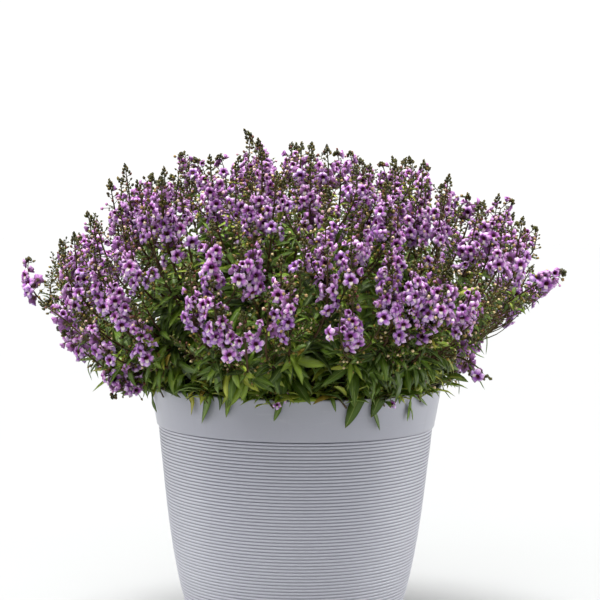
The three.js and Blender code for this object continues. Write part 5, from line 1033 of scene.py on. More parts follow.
def soil_material():
    """Dark moist potting mix of peat and bark with a few pale grains."""
    m = Nodes("potting_mix")
    kind, _, _, shade = m.pattern()
    p = m.position()
    crumb = m.noise(p, 190.0, 5.0, 0.7)
    color = m.ramp(crumb, [(0.30, lin(22, 16, 12)), (0.48, lin(50, 36, 26)), (0.62, lin(76, 56, 40)), (0.78, lin(104, 82, 60))])
    fibre = m.noise(p, 1.0, 3.0, 0.6, stretch=(420.0, 60.0, 200.0))
    color = m.mix(m.math("MULTIPLY", m.step(fibre, 0.62, 0.72), 0.5), color, lin(118, 92, 66))
    color = m.mix(m.math("MULTIPLY", kind, 0.85), color, m.mix(shade, lin(84, 58, 40), lin(214, 208, 196)))
    rough = m.math("ADD", 0.72, m.math("MULTIPLY", crumb, 0.2))
    normal = m.bump(m.math("ADD", crumb, m.math("MULTIPLY", fibre, 0.4)), 0.9, 0.002)
    return m.finish(color, rough, normal)


PETAL, LEAF, BUD, STEM, POT, SOIL = (
    petal_material(), leaf_material(), bud_material(), stem_material(), pot_material(), soil_material())


# ---------------------------------------------------------------------------
# Prototypes
# ---------------------------------------------------------------------------
def flower_shape(seed, small=1.0, closed=0.0, lobe=4):
    """An angelonia flower, about 16 mm across, facing +z with its lip down: two upper lobes, two
    side lobes, one lower lobe, a wide pouched throat and the calyx behind. Closed at the back."""
    r = rng_for(1, seed)
    n = 5 * lobe
    # 0 is straight up; the points of a lobe crowd a little towards its tip
    step = np.array([0, 15, 36, 57] if lobe == 4 else [0, 24, 48])
    th = np.radians(np.concatenate([72 * k + step for k in range(5)]))
    kind = np.arange(n) // lobe  # lobes: upper right, right, lower, left, upper left
    pos = np.arange(n) % lobe
    tip = {0: 7.5, 1: 8.3, 2: 8.9, 3: 8.3, 4: 7.5}
    back = {0: -2.0, 1: -0.6, 2: -0.7, 3: -0.6, 4: -2.0}
    rad, bend, belly = np.zeros(n), np.zeros(n), np.zeros(n)
    for j in range(n):
        k = kind[j]
        jig = 1 + 0.08 * r.normal()
        if pos[j] == 0:
            rad[j], bend[j], belly[j] = (6.3 if j == 0 else 5.6), -1.0, -0.6
        elif lobe == 4 and pos[j] == 2:
            rad[j], bend[j], belly[j] = tip[k] * jig, back[k] + 1.2 * r.normal(), 1.0 + 0.3 * r.normal()
        else:
            rad[j] = (tip[k] - (0.45 if lobe == 4 else 0.2)) * jig
            bend[j] = back[k] * 0.7 + 0.9 * r.normal()
            belly[j] = 0.6 if lobe == 4 else 0.8
    low = (1 - np.cos(th)) / 2
    # the lower lip bulges forward under the throat
    belly += 1.3 * np.clip((low - 0.8) / 0.2, 0, 1)

    def circle(radius, z, squash=1.0, dy=0.0):
        rr = radius * np.ones(n)
        return np.stack([rr * np.sin(th), rr * np.cos(th) * squash + dy, z * np.ones(n)], -1)

    fold = 1 - closed
    rings = [
        circle(1.9, -3.0, 0.9, -0.1),
        circle(2.35, 0.0, 0.95, 0.3),
        circle(0.60 * rad * (0.55 + 0.45 * fold), 0.35 + belly * (0.4 + 0.6 * fold) + closed * 3.0),
        circle(rad * (0.35 + 0.65 * fold), bend * fold + closed * 6.5),
        circle(2.9, -2.3, 0.95, -0.3),
    ]
    v = np.concatenate([np.array([[0, -0.2, -4.0]])] + rings + [np.array([[0, 0.6, -6.4]])]) * small
    tv = [0.0, 0.08, 0.17, 0.33, 0.50, 0.78, 1.0]
    tval = [tv[0]] + sum(([t] * n for t in tv[1:6]), []) + [tv[6]]
    lows = [0.5] + list(np.tile(low, 5)) + [0.5]
    first = lambda k: 1 + k * n
    faces, uv = [], []
    for j in range(n):
        k = (j + 1) % n
        u0, u1 = j / n, (j + 1) / n
        faces.append([0, first(0) + k, first(0) + j])
        uv += [((u0 + u1) / 2, 0.0), (u1, tv[1]), (u0, tv[1])]
        for q in range(4):
            faces.append([first(q) + j, first(q) + k, first(q + 1) + k, first(q + 1) + j])
            uv += [(u0, tv[q + 1]), (u1, tv[q + 1]), (u1, tv[q + 2]), (u0, tv[q + 2])]
        faces.append([first(4) + j, first(4) + k, len(v) - 1])
        uv += [(u0, tv[5]), (u1, tv[5]), ((u0 + u1) / 2, 1.0)]
    att = np.stack([tval, lows, np.full(len(v), 1.0), np.ones(len(v))], -1)
    return Shape(v, faces, uv, att)


def with_fresh(shape, fresh):
    s = Shape.__new__(Shape)
    s.v, s.loop, s.size, s.uv, s.att = shape.v, shape.loop, shape.size, shape.uv, shape.att.copy()
    s.att[:, 2] = fresh
    return s


def drop_shape(sides=5, rings=((-0.55, 0.80), (0.30, 0.86)), low=-1.0, high=1.0):
    """A small bud or capsule along z, one unit in radius, with its foot at low."""
    v = [[0, 0, low]]
    for z, r in rings:
        for j in range(sides):
            a = 2 * np.pi * (j + 0.5 * (z > 0)) / sides
            v.append([r * np.cos(a), r * np.sin(a), z])
    v.append([0, 0, high])
    v = np.array(v)
    n = sides
    hz = lambda z: (z - low) / (high - low)
    faces, uv = [], []
    for j in range(n):
        k = (j + 1) % n
        u0, u1 = j / n, (j + 1) / n
        faces.append([0, 1 + k, 1 + j])
        uv += [((u0 + u1) / 2, 0), (u1, hz(rings[0][0])), (u0, hz(rings[0][0]))]
        for q in range(len(rings) - 1):
            a, b = 1 + q * n, 1 + (q + 1) * n
            faces.append([a + j, a + k, b + k, b + j])
            za, zb = hz(rings[q][0]), hz(rings[q + 1][0])
            uv += [(u0, za), (u1, za), (u1, zb), (u0, zb)]
        a = 1 + (len(rings) - 1) * n
        faces.append([a + j, a + k, len(v) - 1])
        za = hz(rings[-1][0])
        uv += [(u0, za), (u1, za), ((u0 + u1) / 2, 1)]
    att = np.zeros((len(v), 4))
    att[:, 3] = hz(v[:, 2])
    return Shape(v, faces, uv, att)


def leaf_faces(rows, s):
    """Faces between the rows of a leaf: its foot, rows of four, and its tip."""
    faces, uv = [], []
    us = [0.0, 0.25, 0.5, 0.75, 1.0]
    for i in range(len(rows) - 1):
        a, b = rows[i], rows[i + 1]
        for q in range(4):
            k = (q + 1) % 4
            u0, u1 = us[q], us[q + 1]
            if len(a) == 1:
                faces.append([a[0], b[k], b[q]])
                uv += [((u0 + u1) / 2, s[i]), (u1, s[i + 1]), (u0, s[i + 1])]
            elif len(b) == 1:
                faces.append([a[q], a[k], b[0]])
                uv += [(u0, s[i]), (u1, s[i]), ((u0 + u1) / 2, s[i + 1])]
            else:
                faces.append([a[q], a[k], b[k], b[q]])
                uv += [(u0, s[i]), (u1, s[i]), (u1, s[i + 1]), (u0, s[i + 1])]
    return [f[::-1] for f in faces], flipped(uv, faces)


def leaf_shape(seed, droop=0.5, fold=0.35, wide=1.0, steps=6, twist=0.0):
    """A lance-shaped leaf, one unit long along +z from its foot, its upper side to +y, bending
    towards -y. Closed, with a sharp rim."""
    r = rng_for(2, seed)
    s = np.linspace(0, 1, steps + 1)
    s = s ** 0.92
    w = 0.118 * wide * np.array([np.sin(np.pi * min(1, x ** 0.80)) ** 0.85 if 0 < x < 1 else 0 for x in s])
    w[1] = max(w[1] * 0.75, 0.02)
    ang = -droop * s ** 1.3
    ds = np.diff(s)
    z = np.concatenate([[0], np.cumsum(ds * np.cos(ang[1:]))])
    y = np.concatenate([[0], np.cumsum(ds * np.sin(ang[1:]))])
    x = 0.03 * np.sin(s * 3.0 + r.uniform(0, 6)) * s
    v, att, rows = [], [], []
    th = 0.013
    for i in range(steps + 1):
        c = np.array([x[i], y[i], z[i]])
        nrm = np.array([0, np.cos(ang[i]), -np.sin(ang[i])])
        side = np.array([1.0, 0, 0])
        tw = twist * s[i]
        side, nrm = side * np.cos(tw) + nrm * np.sin(tw), nrm * np.cos(tw) - side * np.sin(tw)
        if i in (0, steps):
            rows.append([len(v)])
            v.append(c)
            att.append([0.5, s[i], 0.0, 0])
            continue
        f = fold * (1 + 0.1 * r.normal())
        lift = w[i] * f
        rows.append([len(v) + q for q in range(4)])
        v += [c - side * w[i] + nrm * lift, c + nrm * th * 0.6, c + side * w[i] + nrm * lift, c - nrm * th]
        att += [[0.0, s[i], 0.0, 0], [0.5, s[i], 0.0, 0], [1.0, s[i], 0.0, 0], [0.5, s[i], 1.0, 0]]
    faces, uv = leaf_faces(rows, s)
    return Shape(np.array(v), faces, uv, att)


def flipped(uv, faces):
    out, i = [], 0
    for f in faces:
        out += uv[i:i + len(f)][::-1]
        i += len(f)
    return out


FLOWERS = [flower_shape(k) for k in range(6)]
REAR = [flower_shape(10 + k, lobe=3) for k in range(6)]
HALF_OPEN = [flower_shape(20 + k, 0.86, 0.45, 3) for k in range(3)]
LEAVES = [leaf_shape(k, droop=d, fold=f, wide=w, twist=t, steps=4) for k, (d, f, w, t) in enumerate([
    (0.25, 0.45, 1.0, 0.1), (0.6, 0.35, 0.95, -0.2), (1.0, 0.30, 1.05, 0.25), (1.4, 0.40, 0.9, -0.1),
    (0.45, 0.25, 1.15, 0.3), (0.8, 0.5, 0.85, -0.35)])]
BRACT = leaf_shape(40, droop=0.5, fold=0.4, wide=1.6, steps=3)
ROUND = drop_shape(5, ((-0.45, 0.94), (0.45, 0.90)), -1.0, 1.05)
YOUNG = drop_shape(4, ((-0.6, 0.80), (0.35, 0.85)), -1.1, 1.25)
STALK_SIDES = 3


def stalks(soup, a, b, ra, rb, red, rng):
    """Short flower stalks from a to b: closed three-sided tubes."""
    k = len(a)
    if k == 0:
        return
    t = unit(b - a)
    e = frames_about(t, rng.uniform(0, 2 * np.pi, k))
    f = np.cross(t, e)
    n = STALK_SIDES
    ang = np.arange(n) / n * 2 * np.pi
    v = np.concatenate([
        c[:, None] + r * (e[:, None] * np.cos(ang)[None, :, None] + f[:, None] * np.sin(ang)[None, :, None])
        for c, r in ((a, ra), (b, rb))], 1)
    loops, uv = [], []
    for j in range(n):
        q = (j + 1) % n
        loops += [j, q, n + q, n + j]
        u0, u1 = j / n, (j + 1) / n
        uv += [(u0, 0), (u1, 0), (u1, 1), (u0, 1)]
    sizes = [4] * n + [3, 3]
    loops += [2, 1, 0, n, n + 1, n + 2]
    uv += [(0.66, 0), (0.33, 0), (0, 0), (0, 1), (0.33, 1), (0.66, 1)]
    base = (np.arange(k) * 2 * n)[:, None] + soup.count
    soup.v.append(v.reshape(-1, 3))
    soup.loop.append((np.array(loops)[None] + base).ravel())
    soup.size.append(np.tile(sizes, k))
    uv = np.array(uv) * (0.25, 0.06) + (0.74, 0.93)
    soup.uv.append(np.tile(uv, (k, 1)))
    att = np.zeros((k, 2 * n, 4))
    att[:, :, 1] = np.asarray(red)[:, None]
    att[:, :, 3] = 0.6
    soup.att.append(att.reshape(-1, 4))
    soup.count += k * 2 * n


# ---------------------------------------------------------------------------
# Keeping clear of the pot
# ---------------------------------------------------------------------------
PROFILE = np.array([
    [0, 86], [2.5, 90.5], [12, 97.5], [32, 107.5], [57, 114.8], [74, 118.42], [90.2, 121.6], [106.5, 124.32],
    [122.7, 126.69], [139, 128.81], [155.2, 130.73], [171.4, 132.55], [187.6, 134.37], [203.7, 136.25], [219.8, 137.7]])
BAND = np.array([[220.9, 138.9], [224.0, 139.75], [236.0, 141.9], [248.0, 143.9], [257.0, 145.3], [260.2, 145.9], [262.0, 146.1]])
OUTSIDE = np.vstack([PROFILE, BAND])


def samples_of(shape):
    """Points on the faces' edges, close enough together not to miss the pot's wall."""
    pts, i = [], 0
    for n in shape.size:
        f = shape.loop[i:i + n]
        i += n
        for a, b in zip(f, np.roll(f, -1)):
            if a < b:
                pts += [shape.v[a] + (shape.v[b] - shape.v[a]) * t for t in (0, 0.25, 0.5, 0.75)]
    return np.array(pts)


def clear_of_pot(points, gap=0.9):
    """Whether none of the points of each copy lies in the pot's wall or rim."""
    r = np.hypot(points[..., 0], points[..., 1])
    z = points[..., 2]
    out = np.interp(z, OUTSIDE[:, 0], OUTSIDE[:, 1])
    hit = (z > -1) & (z < 262.4 + gap) & (r > out - 3.6 - gap) & (r < out + gap)
    hangs = (z < 257) & (r > out)
    return ~(hit | hangs).any(-1)


LEAF_SAMPLES = [samples_of(s) for s in LEAVES]
FLOWER_SAMPLES = samples_of(FLOWERS[0])


# ---------------------------------------------------------------------------
# A branch and its spikes
# ---------------------------------------------------------------------------
BUD_TONES = {
    "tip": [lin(50, 54, 11), lin(72, 75, 15), lin(38, 40, 8), lin(88, 78, 23)],
    "side": [lin(76, 75, 17), lin(106, 90, 33), lin(57, 47, 18), lin(108, 58, 46)],
    "pale": [lin(232, 186, 196), lin(226, 200, 168), lin(200, 140, 190), lin(164, 136, 86)],
    # the fourth capsule tone, a near-white cream, is a painted highlight standing in for glints on shiny capsules
    "capsule": [lin(104, 92, 28), lin(150, 128, 52), lin(72, 54, 26), lin(230, 208, 156)],
}
BUD_ROW = {"tip": 0, "side": 1, "pale": 2, "capsule": 3}


def put_buds(soup, kind, at, direction, size, rng, shape=None):
    """Buds or capsules of one kind. Each takes one of four tones, and its square of the map."""
    k = len(at)
    if k == 0:
        return
    shape = shape or (ROUND if kind == "pale" else YOUNG)
    tone = rng.choice(4, k, p=(0.25, 0.25, 0.25, 0.25) if kind != "capsule" else (0.34, 0.22, 0.30, 0.14))
    up = frames_about(direction, rng.uniform(0, 2 * np.pi, k))
    rot = basis(direction, up)
    for c in range(4):
        w = tone == c
        if not w.any():
            continue
        s = Shape.__new__(Shape)
        s.v, s.loop, s.size, s.uv, s.att = shape.v, shape.loop, shape.size, shape.uv, shape.att.copy()
        s.att[:, :3] = BUD_TONES[kind][c][:3]
        soup.add(s, rot[w], np.asarray(size)[w], np.asarray(at)[w], cell=np.full(w.sum(), BUD_ROW[kind] * 4 + c))


def put_leaves(leaves, at, outward, up, length, rng, shade, shapes=None, width=None):
    """Leaves with their foot at at, pointing along outward, their upper side to up. A leaf that
    would cut the pot is lifted, and left out where that doesn't help."""
    k = len(at)
    if k == 0:
        return
    pick = rng.integers(0, len(LEAVES), k) if shapes is None else np.asarray(shapes)
    outward, up = np.array(outward, float), np.array(up, float)
    length = np.asarray(length, float)
    level = np.clip((np.asarray(shade) * 16).astype(int), 0, 15)
    width = np.ones(k) if width is None else np.asarray(width)
    scale = np.stack([length * width, length, length], -1)
    good = np.zeros(k, bool)
    for turn in range(6):
        rot = basis(outward, up)
        for c in range(len(LEAVES)):
            w = (pick == c) & ~good
            if w.any():
                p = np.einsum("kij,knj->kni", rot[w], LEAF_SAMPLES[c][None] * scale[w][:, None]) + at[w][:, None]
                good[np.flatnonzero(w)] = clear_of_pot(p)
        if good.all():
            break
        outward[~good] = unit(outward[~good] + UP * 0.30)
    for c in range(len(LEAVES)):
        w = (pick == c) & good
        if w.any():
            leaves.add(LEAVES[c], rot[w], scale[w], at[w], cell=level[w], tone=(level[w] + 0.5) / 16)


def outside_radius(z):
    return np.interp(z, OUTSIDE[:, 0], OUTSIDE[:, 1])


def over_rim(p, gap=1.7):
    """Moves the points of a curve out to lie on the pot's lip and band where they would cut it."""
    p = np.array(p)
    r = np.hypot(p[:, 0], p[:, 1])
    low = p[:, 2] < 262.0 + gap
    need = outside_radius(np.clip(p[:, 2], 0, 262)) + gap
    f = np.where(low & (r < need), need / np.maximum(r, 1), 1.0)
    p[:, :2] *= f[:, None]
    return p


def ribbon_leaf(leaves, points, width, shade, fold=0.28, n=9):
    """One leaf along its own curve, its upper side outwards and up."""
    c = Path(over_rim(spline(points, 2.0)))
    s = np.linspace(0, 1, n + 1)
    p = c.at(s * c.length)
    t = unit(np.gradient(p, axis=0))
    er = outward_of(p)
    ref = unit(er * 0.8 + UP * 0.6)
    nrm = unit(ref - (ref * t).sum(-1, keepdims=True) * t)
    side = np.cross(nrm, t)
    w = width / 2 * np.sin(np.pi * np.minimum(1, s ** 0.85)) ** 0.8
    w[1] *= 0.8
    v, att, rows = [], [], []
    for i in range(n + 1):
        if i in (0, n):
            rows.append([len(v)])
            v.append(p[i])
            att.append([0.5, s[i], 0.0, 0])
            continue
        rows.append([len(v) + q for q in range(4)])
        lift = nrm[i] * w[i] * fold
        v += [p[i] - side[i] * w[i] + lift, p[i] + nrm[i] * 0.3, p[i] + side[i] * w[i] + lift, p[i] - nrm[i] * 0.5]
        att += [[0.0, s[i], 0.0, 0], [0.5, s[i], 0.0, 0], [1.0, s[i], 0.0, 0], [0.5, s[i], 1.0, 0]]
    faces, uv = leaf_faces(rows, s)
    shape = Shape(np.array(v), faces, uv, att)
    level = int(np.clip(shade * 16, 0, 15))
    leaves.add(shape, np.eye(3)[None], np.ones(1), np.zeros((1, 3)), cell=np.array([level]), tone=np.array([(level + 0.5) / 16]))


def leaf_shades(rng, k, lift=0.0):
    s = rng.normal(0.44 + lift, 0.22, k)
    odd = rng.uniform(size=k)
    s = np.where(odd > 0.985, rng.uniform(0.88, 0.98, k), np.minimum(s, 0.87))
    return np.clip(s, 0.02, 0.99)


total = {}
pieces = []


def close_piece(soup, name, material, node):
    if not len(soup):
        return None
    ob = soup.build(name, material)
    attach(ob, "root")
    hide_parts(node)
    tris = int((np.concatenate(soup.size) - 2).sum())
    total[material.name] = total.get(material.name, 0) + tris
    pieces.append(ob)
    return ob


greens_of = {}
for gi, g in enumerate(GREENS):
    greens_of.setdefault(g[0], []).append((gi, g))

def outward_of(p):
    o = np.array(p, float)
    o[..., 2] = 0
    return unit(o + 1e-6)


def above_skirt(p):
    """Whether points lie above the open underside of the mound, which rises from the rim outwards
    and is higher on the right than on the left."""
    span = 2000 + p[:, 1]
    slope = np.interp(2000 * p[:, 0] / span, [-277, -259, -236, -212, -182, -150, 150, 170, 185, 206, 226, 241, 255], [0.066, 0.074, 0.0995, 0.1097, 0.125, 0.2, 0.2, 0.1090, 0.0905, 0.0812, 0.0770, 0.0727, 0.0680])
    return p[:, 2] > 494 - slope * span


def in_sparse_spot(p, rng):
    """Whether a flower at each point is one of those left out of the sparse spots of the front."""
    span = 2000 + p[:, 1]
    across, down = 2000 * p[:, 0] / span, 2000 * (494 - p[:, 2]) / span
    out = np.zeros(len(p), bool)
    for u, v, radius, share in SPARSE:
        near = np.hypot(across - u, down - v) < radius
        out |= near & (p[:, 1] < 40) & (rng.uniform(size=len(p)) < share)
    return out


def head(path, s_mid, half, rng, stems, leaves, flowers, buds, low):
    """The flower head on a spike: buds at the tip, open flowers, then capsules on stalks."""
    L = path.length
    top, foot = s_mid + half + 1.0, s_mid - half - 2.0
    tight = min(8.5, 0.42 * (L - top))
    # bud cluster at the very tip, then single buds on short stalks
    n = int(rng.integers(10, 14))
    s = L - np.linspace(0.2, tight, n)
    ang = np.arange(n) * GOLDEN + rng.uniform(0, 6)
    axis = path.along(s)
    rad = frames_about(axis, ang)
    size = np.linspace(1.0, 1.8, n) * rng.uniform(0.9, 1.1, n)
    at = path.at(s) + rad * np.linspace(0.2, 3.1, n)[:, None]
    put_buds(buds, "tip", at, unit(axis * 1.3 + rad * 0.6), size, rng)
    s0, s1 = L - tight, top
    n = max(3, int((s0 - s1) / 1.9))
    s = np.linspace(s0, s1, n)
    ang = np.arange(n) * GOLDEN + rng.uniform(0, 6)
    axis = path.along(s)
    rad = frames_about(axis, ang)
    reach = np.linspace(2.2, 5.8, n) * rng.uniform(0.7, 1.25, n)
    foot_at = path.at(s)
    at = foot_at + rad * reach[:, None] + axis * (reach * 0.55)[:, None]
    stalks(stems, foot_at, at, 0.36, 0.34, rng.uniform(0.1, 0.7, n), rng)
    d = unit(rad * 0.8 + axis * 0.7)
    late = (np.arange(n) > n * 0.66) & (rng.uniform(size=n) < 0.6)
    size = np.linspace(1.35, 1.9, n) * rng.uniform(0.85, 1.15, n)
    put_buds(buds, "side", (at + d * 0.8)[~late], d[~late], size[~late], rng)
    put_buds(buds, "pale", (at + d * 1.0)[late], d[late], size[late] * 0.88, rng)
    # a pointed bract under each
    rot = basis(unit(rad * 0.9 + axis * 0.5), axis)
    pick = rng.uniform(size=n) < 0.6
    bl = rng.uniform(4.0, 6.5, n)
    lvl = rng.integers(2, 9, n)
    leaves.add(BRACT, rot[pick], bl[pick], foot_at[pick], cell=lvl[pick], tone=(lvl[pick] + 0.5) / 16)
    # open flowers
    step = rng.uniform(2.6, 3.0)
    n = max(5, int((top - foot) / step))
    s = np.linspace(top - 1.0, foot, n) + rng.normal(0, 0.7, n)
    ang = np.arange(n) * GOLDEN + rng.uniform(0, 6) + rng.normal(0, 0.25, n)
    axis = path.along(s)
    rad = frames_about(axis, ang)
    reach = rng.uniform(5.0, 10.4, n) * np.interp(np.arange(n) / n, [0, 0.35], [0.78, 1.0])
    foot_at = path.at(s)
    c = foot_at + rad * reach[:, None] + axis * rng.uniform(0.5, 4.0, n)[:, None]
    face = unit(rad + outward_of(c) * 0.38 + axis * rng.normal(0.0, 0.2, n)[:, None] + UP * 0.10 + rng.normal(0, 0.32, (n, 3)))
    upv = unit(axis * 0.75 + UP * 0.5 + rng.normal(0, 0.32, (n, 3)))
    rot = basis(face, upv)
    size = rng.uniform(0.80, 1.02, n) * np.interp(np.arange(n) / n, [0, 0.35], [0.78, 1.0]) * np.interp(c[:, 2], [360, 440], [1.0, 0.92])
    keep = (rng.uniform(size=n) < 0.92) & ~in_sparse_spot(c, rng_for(11, int(abs(path.p[-1, 0]) * 7 + abs(path.p[-1, 2]) * 13)))
    keep &= clear_of_pot(np.einsum("kij,nj->kni", rot, FLOWER_SAMPLES) + c[:, None])
    back = c - face * (6.2 * size)[:, None]
    stalks(stems, foot_at[keep], back[keep], 0.42, 0.5, rng.uniform(0.5, 1.0, n)[keep], rng)
    age = np.linspace(1.0, 0.35, n) + rng.normal(0, 0.12, n)
    shade = rng.integers(0, 4, n)
    fresh = np.clip((age * 4).astype(int), 0, 3)
    kind = rng.integers(0, len(FLOWERS), n)
    half_open = (np.arange(n) < 3) & (rng.uniform(size=n) < 0.55) | (rng.uniform(size=n) < 0.06)
    for a in range(4):
        for q in range(len(FLOWERS)):
            for shapes, sel in ((FLOWERS, ~half_open & (c[:, 1] < -30)), (REAR, ~half_open & (c[:, 1] >= -30)), (HALF_OPEN, half_open)):
                w = (fresh == a) & (kind == q) & keep & sel
                if w.any():
                    flowers.add(with_fresh(shapes[q % len(shapes)], a / 3), rot[w], size[w], c[w], cell=a * 4 + shade[w], tone=0.12 + 0.88 * (shade[w] + 0.5) / 4)
    # a few pale young buds and spent flowers among the open ones
    few = np.flatnonzero(rng.uniform(size=n) < 0.14)
    if len(few):
        side = frames_about(axis[few], ang[few] + 1.2)
        at = foot_at[few] + side * rng.uniform(9.0, 12.5, len(few))[:, None] + axis[few] * 3.0
        ok = clear_of_pot(at[:, None], 2.5) & above_skirt(at)
        stalks(stems, foot_at[few][ok], at[ok], 0.38, 0.34, rng.uniform(0.3, 0.9, int(ok.sum())), rng)
        put_buds(buds, "pale", (at + side)[ok], unit(side + axis[few] * 0.4)[ok], rng.uniform(1.3, 1.9, int(ok.sum())), rng)
    # capsules below the flowers, thinning out downwards
    end = max(4.0, foot - rng.uniform(40, 58) * (1 - 0.6 * low))
    n = max(0, int((foot - end) / 3.1))
    s = np.linspace(foot + 3.0, end, n) + rng.normal(0, 0.5, n)
    ang = np.arange(n) * GOLDEN + rng.uniform(0, 6)
    axis = path.along(s)
    rad = frames_about(axis, ang)
    reach = rng.uniform(4.5, 9.5, n)
    foot_at = path.at(s)
    at = foot_at + rad * reach[:, None] + axis * (reach * rng.uniform(0.2, 0.8, n))[:, None]
    keep = clear_of_pot(at[:, None], 2.5) & above_skirt(at)
    foot_at, at, axis, rad, n = foot_at[keep], at[keep], axis[keep], rad[keep], int(keep.sum())
    stalks(stems, foot_at, at, 0.42, 0.40, rng.uniform(0.5, 1.0, n), rng)
    d = unit(at - foot_at) if n else at
    size = rng.uniform(1.2, 1.8, n)
    put_buds(buds, "capsule", at + d * 1.2, d, size, rng)
    pick = rng.uniform(size=n) < 0.7
    lvl = rng.integers(2, 11, n)
    leaves.add(BRACT, basis(unit(rad + axis * 0.45), axis)[pick], rng.uniform(8, 15, n)[pick], foot_at[pick], cell=lvl[pick], tone=(lvl[pick] + 0.5) / 16)
    return end


def leafy(path, s_from, s_to, rng, leaves, every, length, low, bias=0.0, droop=0.0):
    """Pairs of leaves along a shoot between two lengths."""
    if s_to - s_from < 3:
        return
    n = max(1, int((s_to - s_from) / every))
    s = np.linspace(s_from, s_to, n) + rng.uniform(-1, 1, n)
    turn = np.arange(n) * (np.pi / 2) + rng.uniform(0, 6) + rng.normal(0, 0.25, n)
    for half in (0, np.pi):
        axis = path.along(s)
        rad = frames_about(axis, turn + half)
        at = path.at(s)
        o = outward_of(at)
        d = unit(rad + axis * rng.uniform(0.35, 1.0, n)[:, None] + o * bias - UP * droop * rng.uniform(0.2, 1.2, n)[:, None])
        # the upper side faces the shoot's tip
        upv = unit(axis + UP * 0.35 + rng.normal(0, 0.15, (n, 3)))
        # long leaves low and inside the mound, short ones out on the flowering spikes
        inner = np.clip((240 - np.hypot(at[:, 0], at[:, 1])) / 70, 0.15, 1) * np.clip((450 - at[:, 2]) / 80, 0.3, 1)
        ln = rng.uniform(*length, n) * (0.40 + 0.60 * inner)
        keep = (rng.uniform(size=n) < 0.93) & above_skirt(at) & (above_skirt(at + d * ln[:, None]) | (rng.uniform(size=n) < 0.12))
        pick = rng.integers(0, len(LEAVES), n)
        put_leaves(leaves, at[keep], d[keep], upv[keep], ln[keep], rng, leaf_shades(rng, n, 0.10 * low - 0.08 * (1 - low))[keep], pick[keep])


# Side shoots that fill the middle of the mound, each from the nearest stem.
inner_of = {}
rng = rng_for(7)
for k in range(34):
    r_ = 104 * math.sqrt((k + 0.5) / 34)
    a_ = k * GOLDEN
    end = np.array([r_ * math.cos(a_) + rng.normal(0, 4), r_ * math.sin(a_) + rng.normal(0, 4), 470 - 0.0032 * r_ * r_ + rng.normal(0, 9)])
    best, where = None, None
    for bi, (stem, spikes) in enumerate(BRANCHES):
        st = np.array(stem, float)
        for t in (0.35, 0.6, 0.85):
            q = st[1] * (1 - t) + st[2] * t
            dist = math.hypot(*(q - end)[:2]) + 14 * len(inner_of.get(bi, [])) + max(0, 262 - q[2]) * 2
            if best is None or dist < best:
                best, where = dist, (bi, q)
    inner_of.setdefault(where[0], []).append((k, where[1], end))

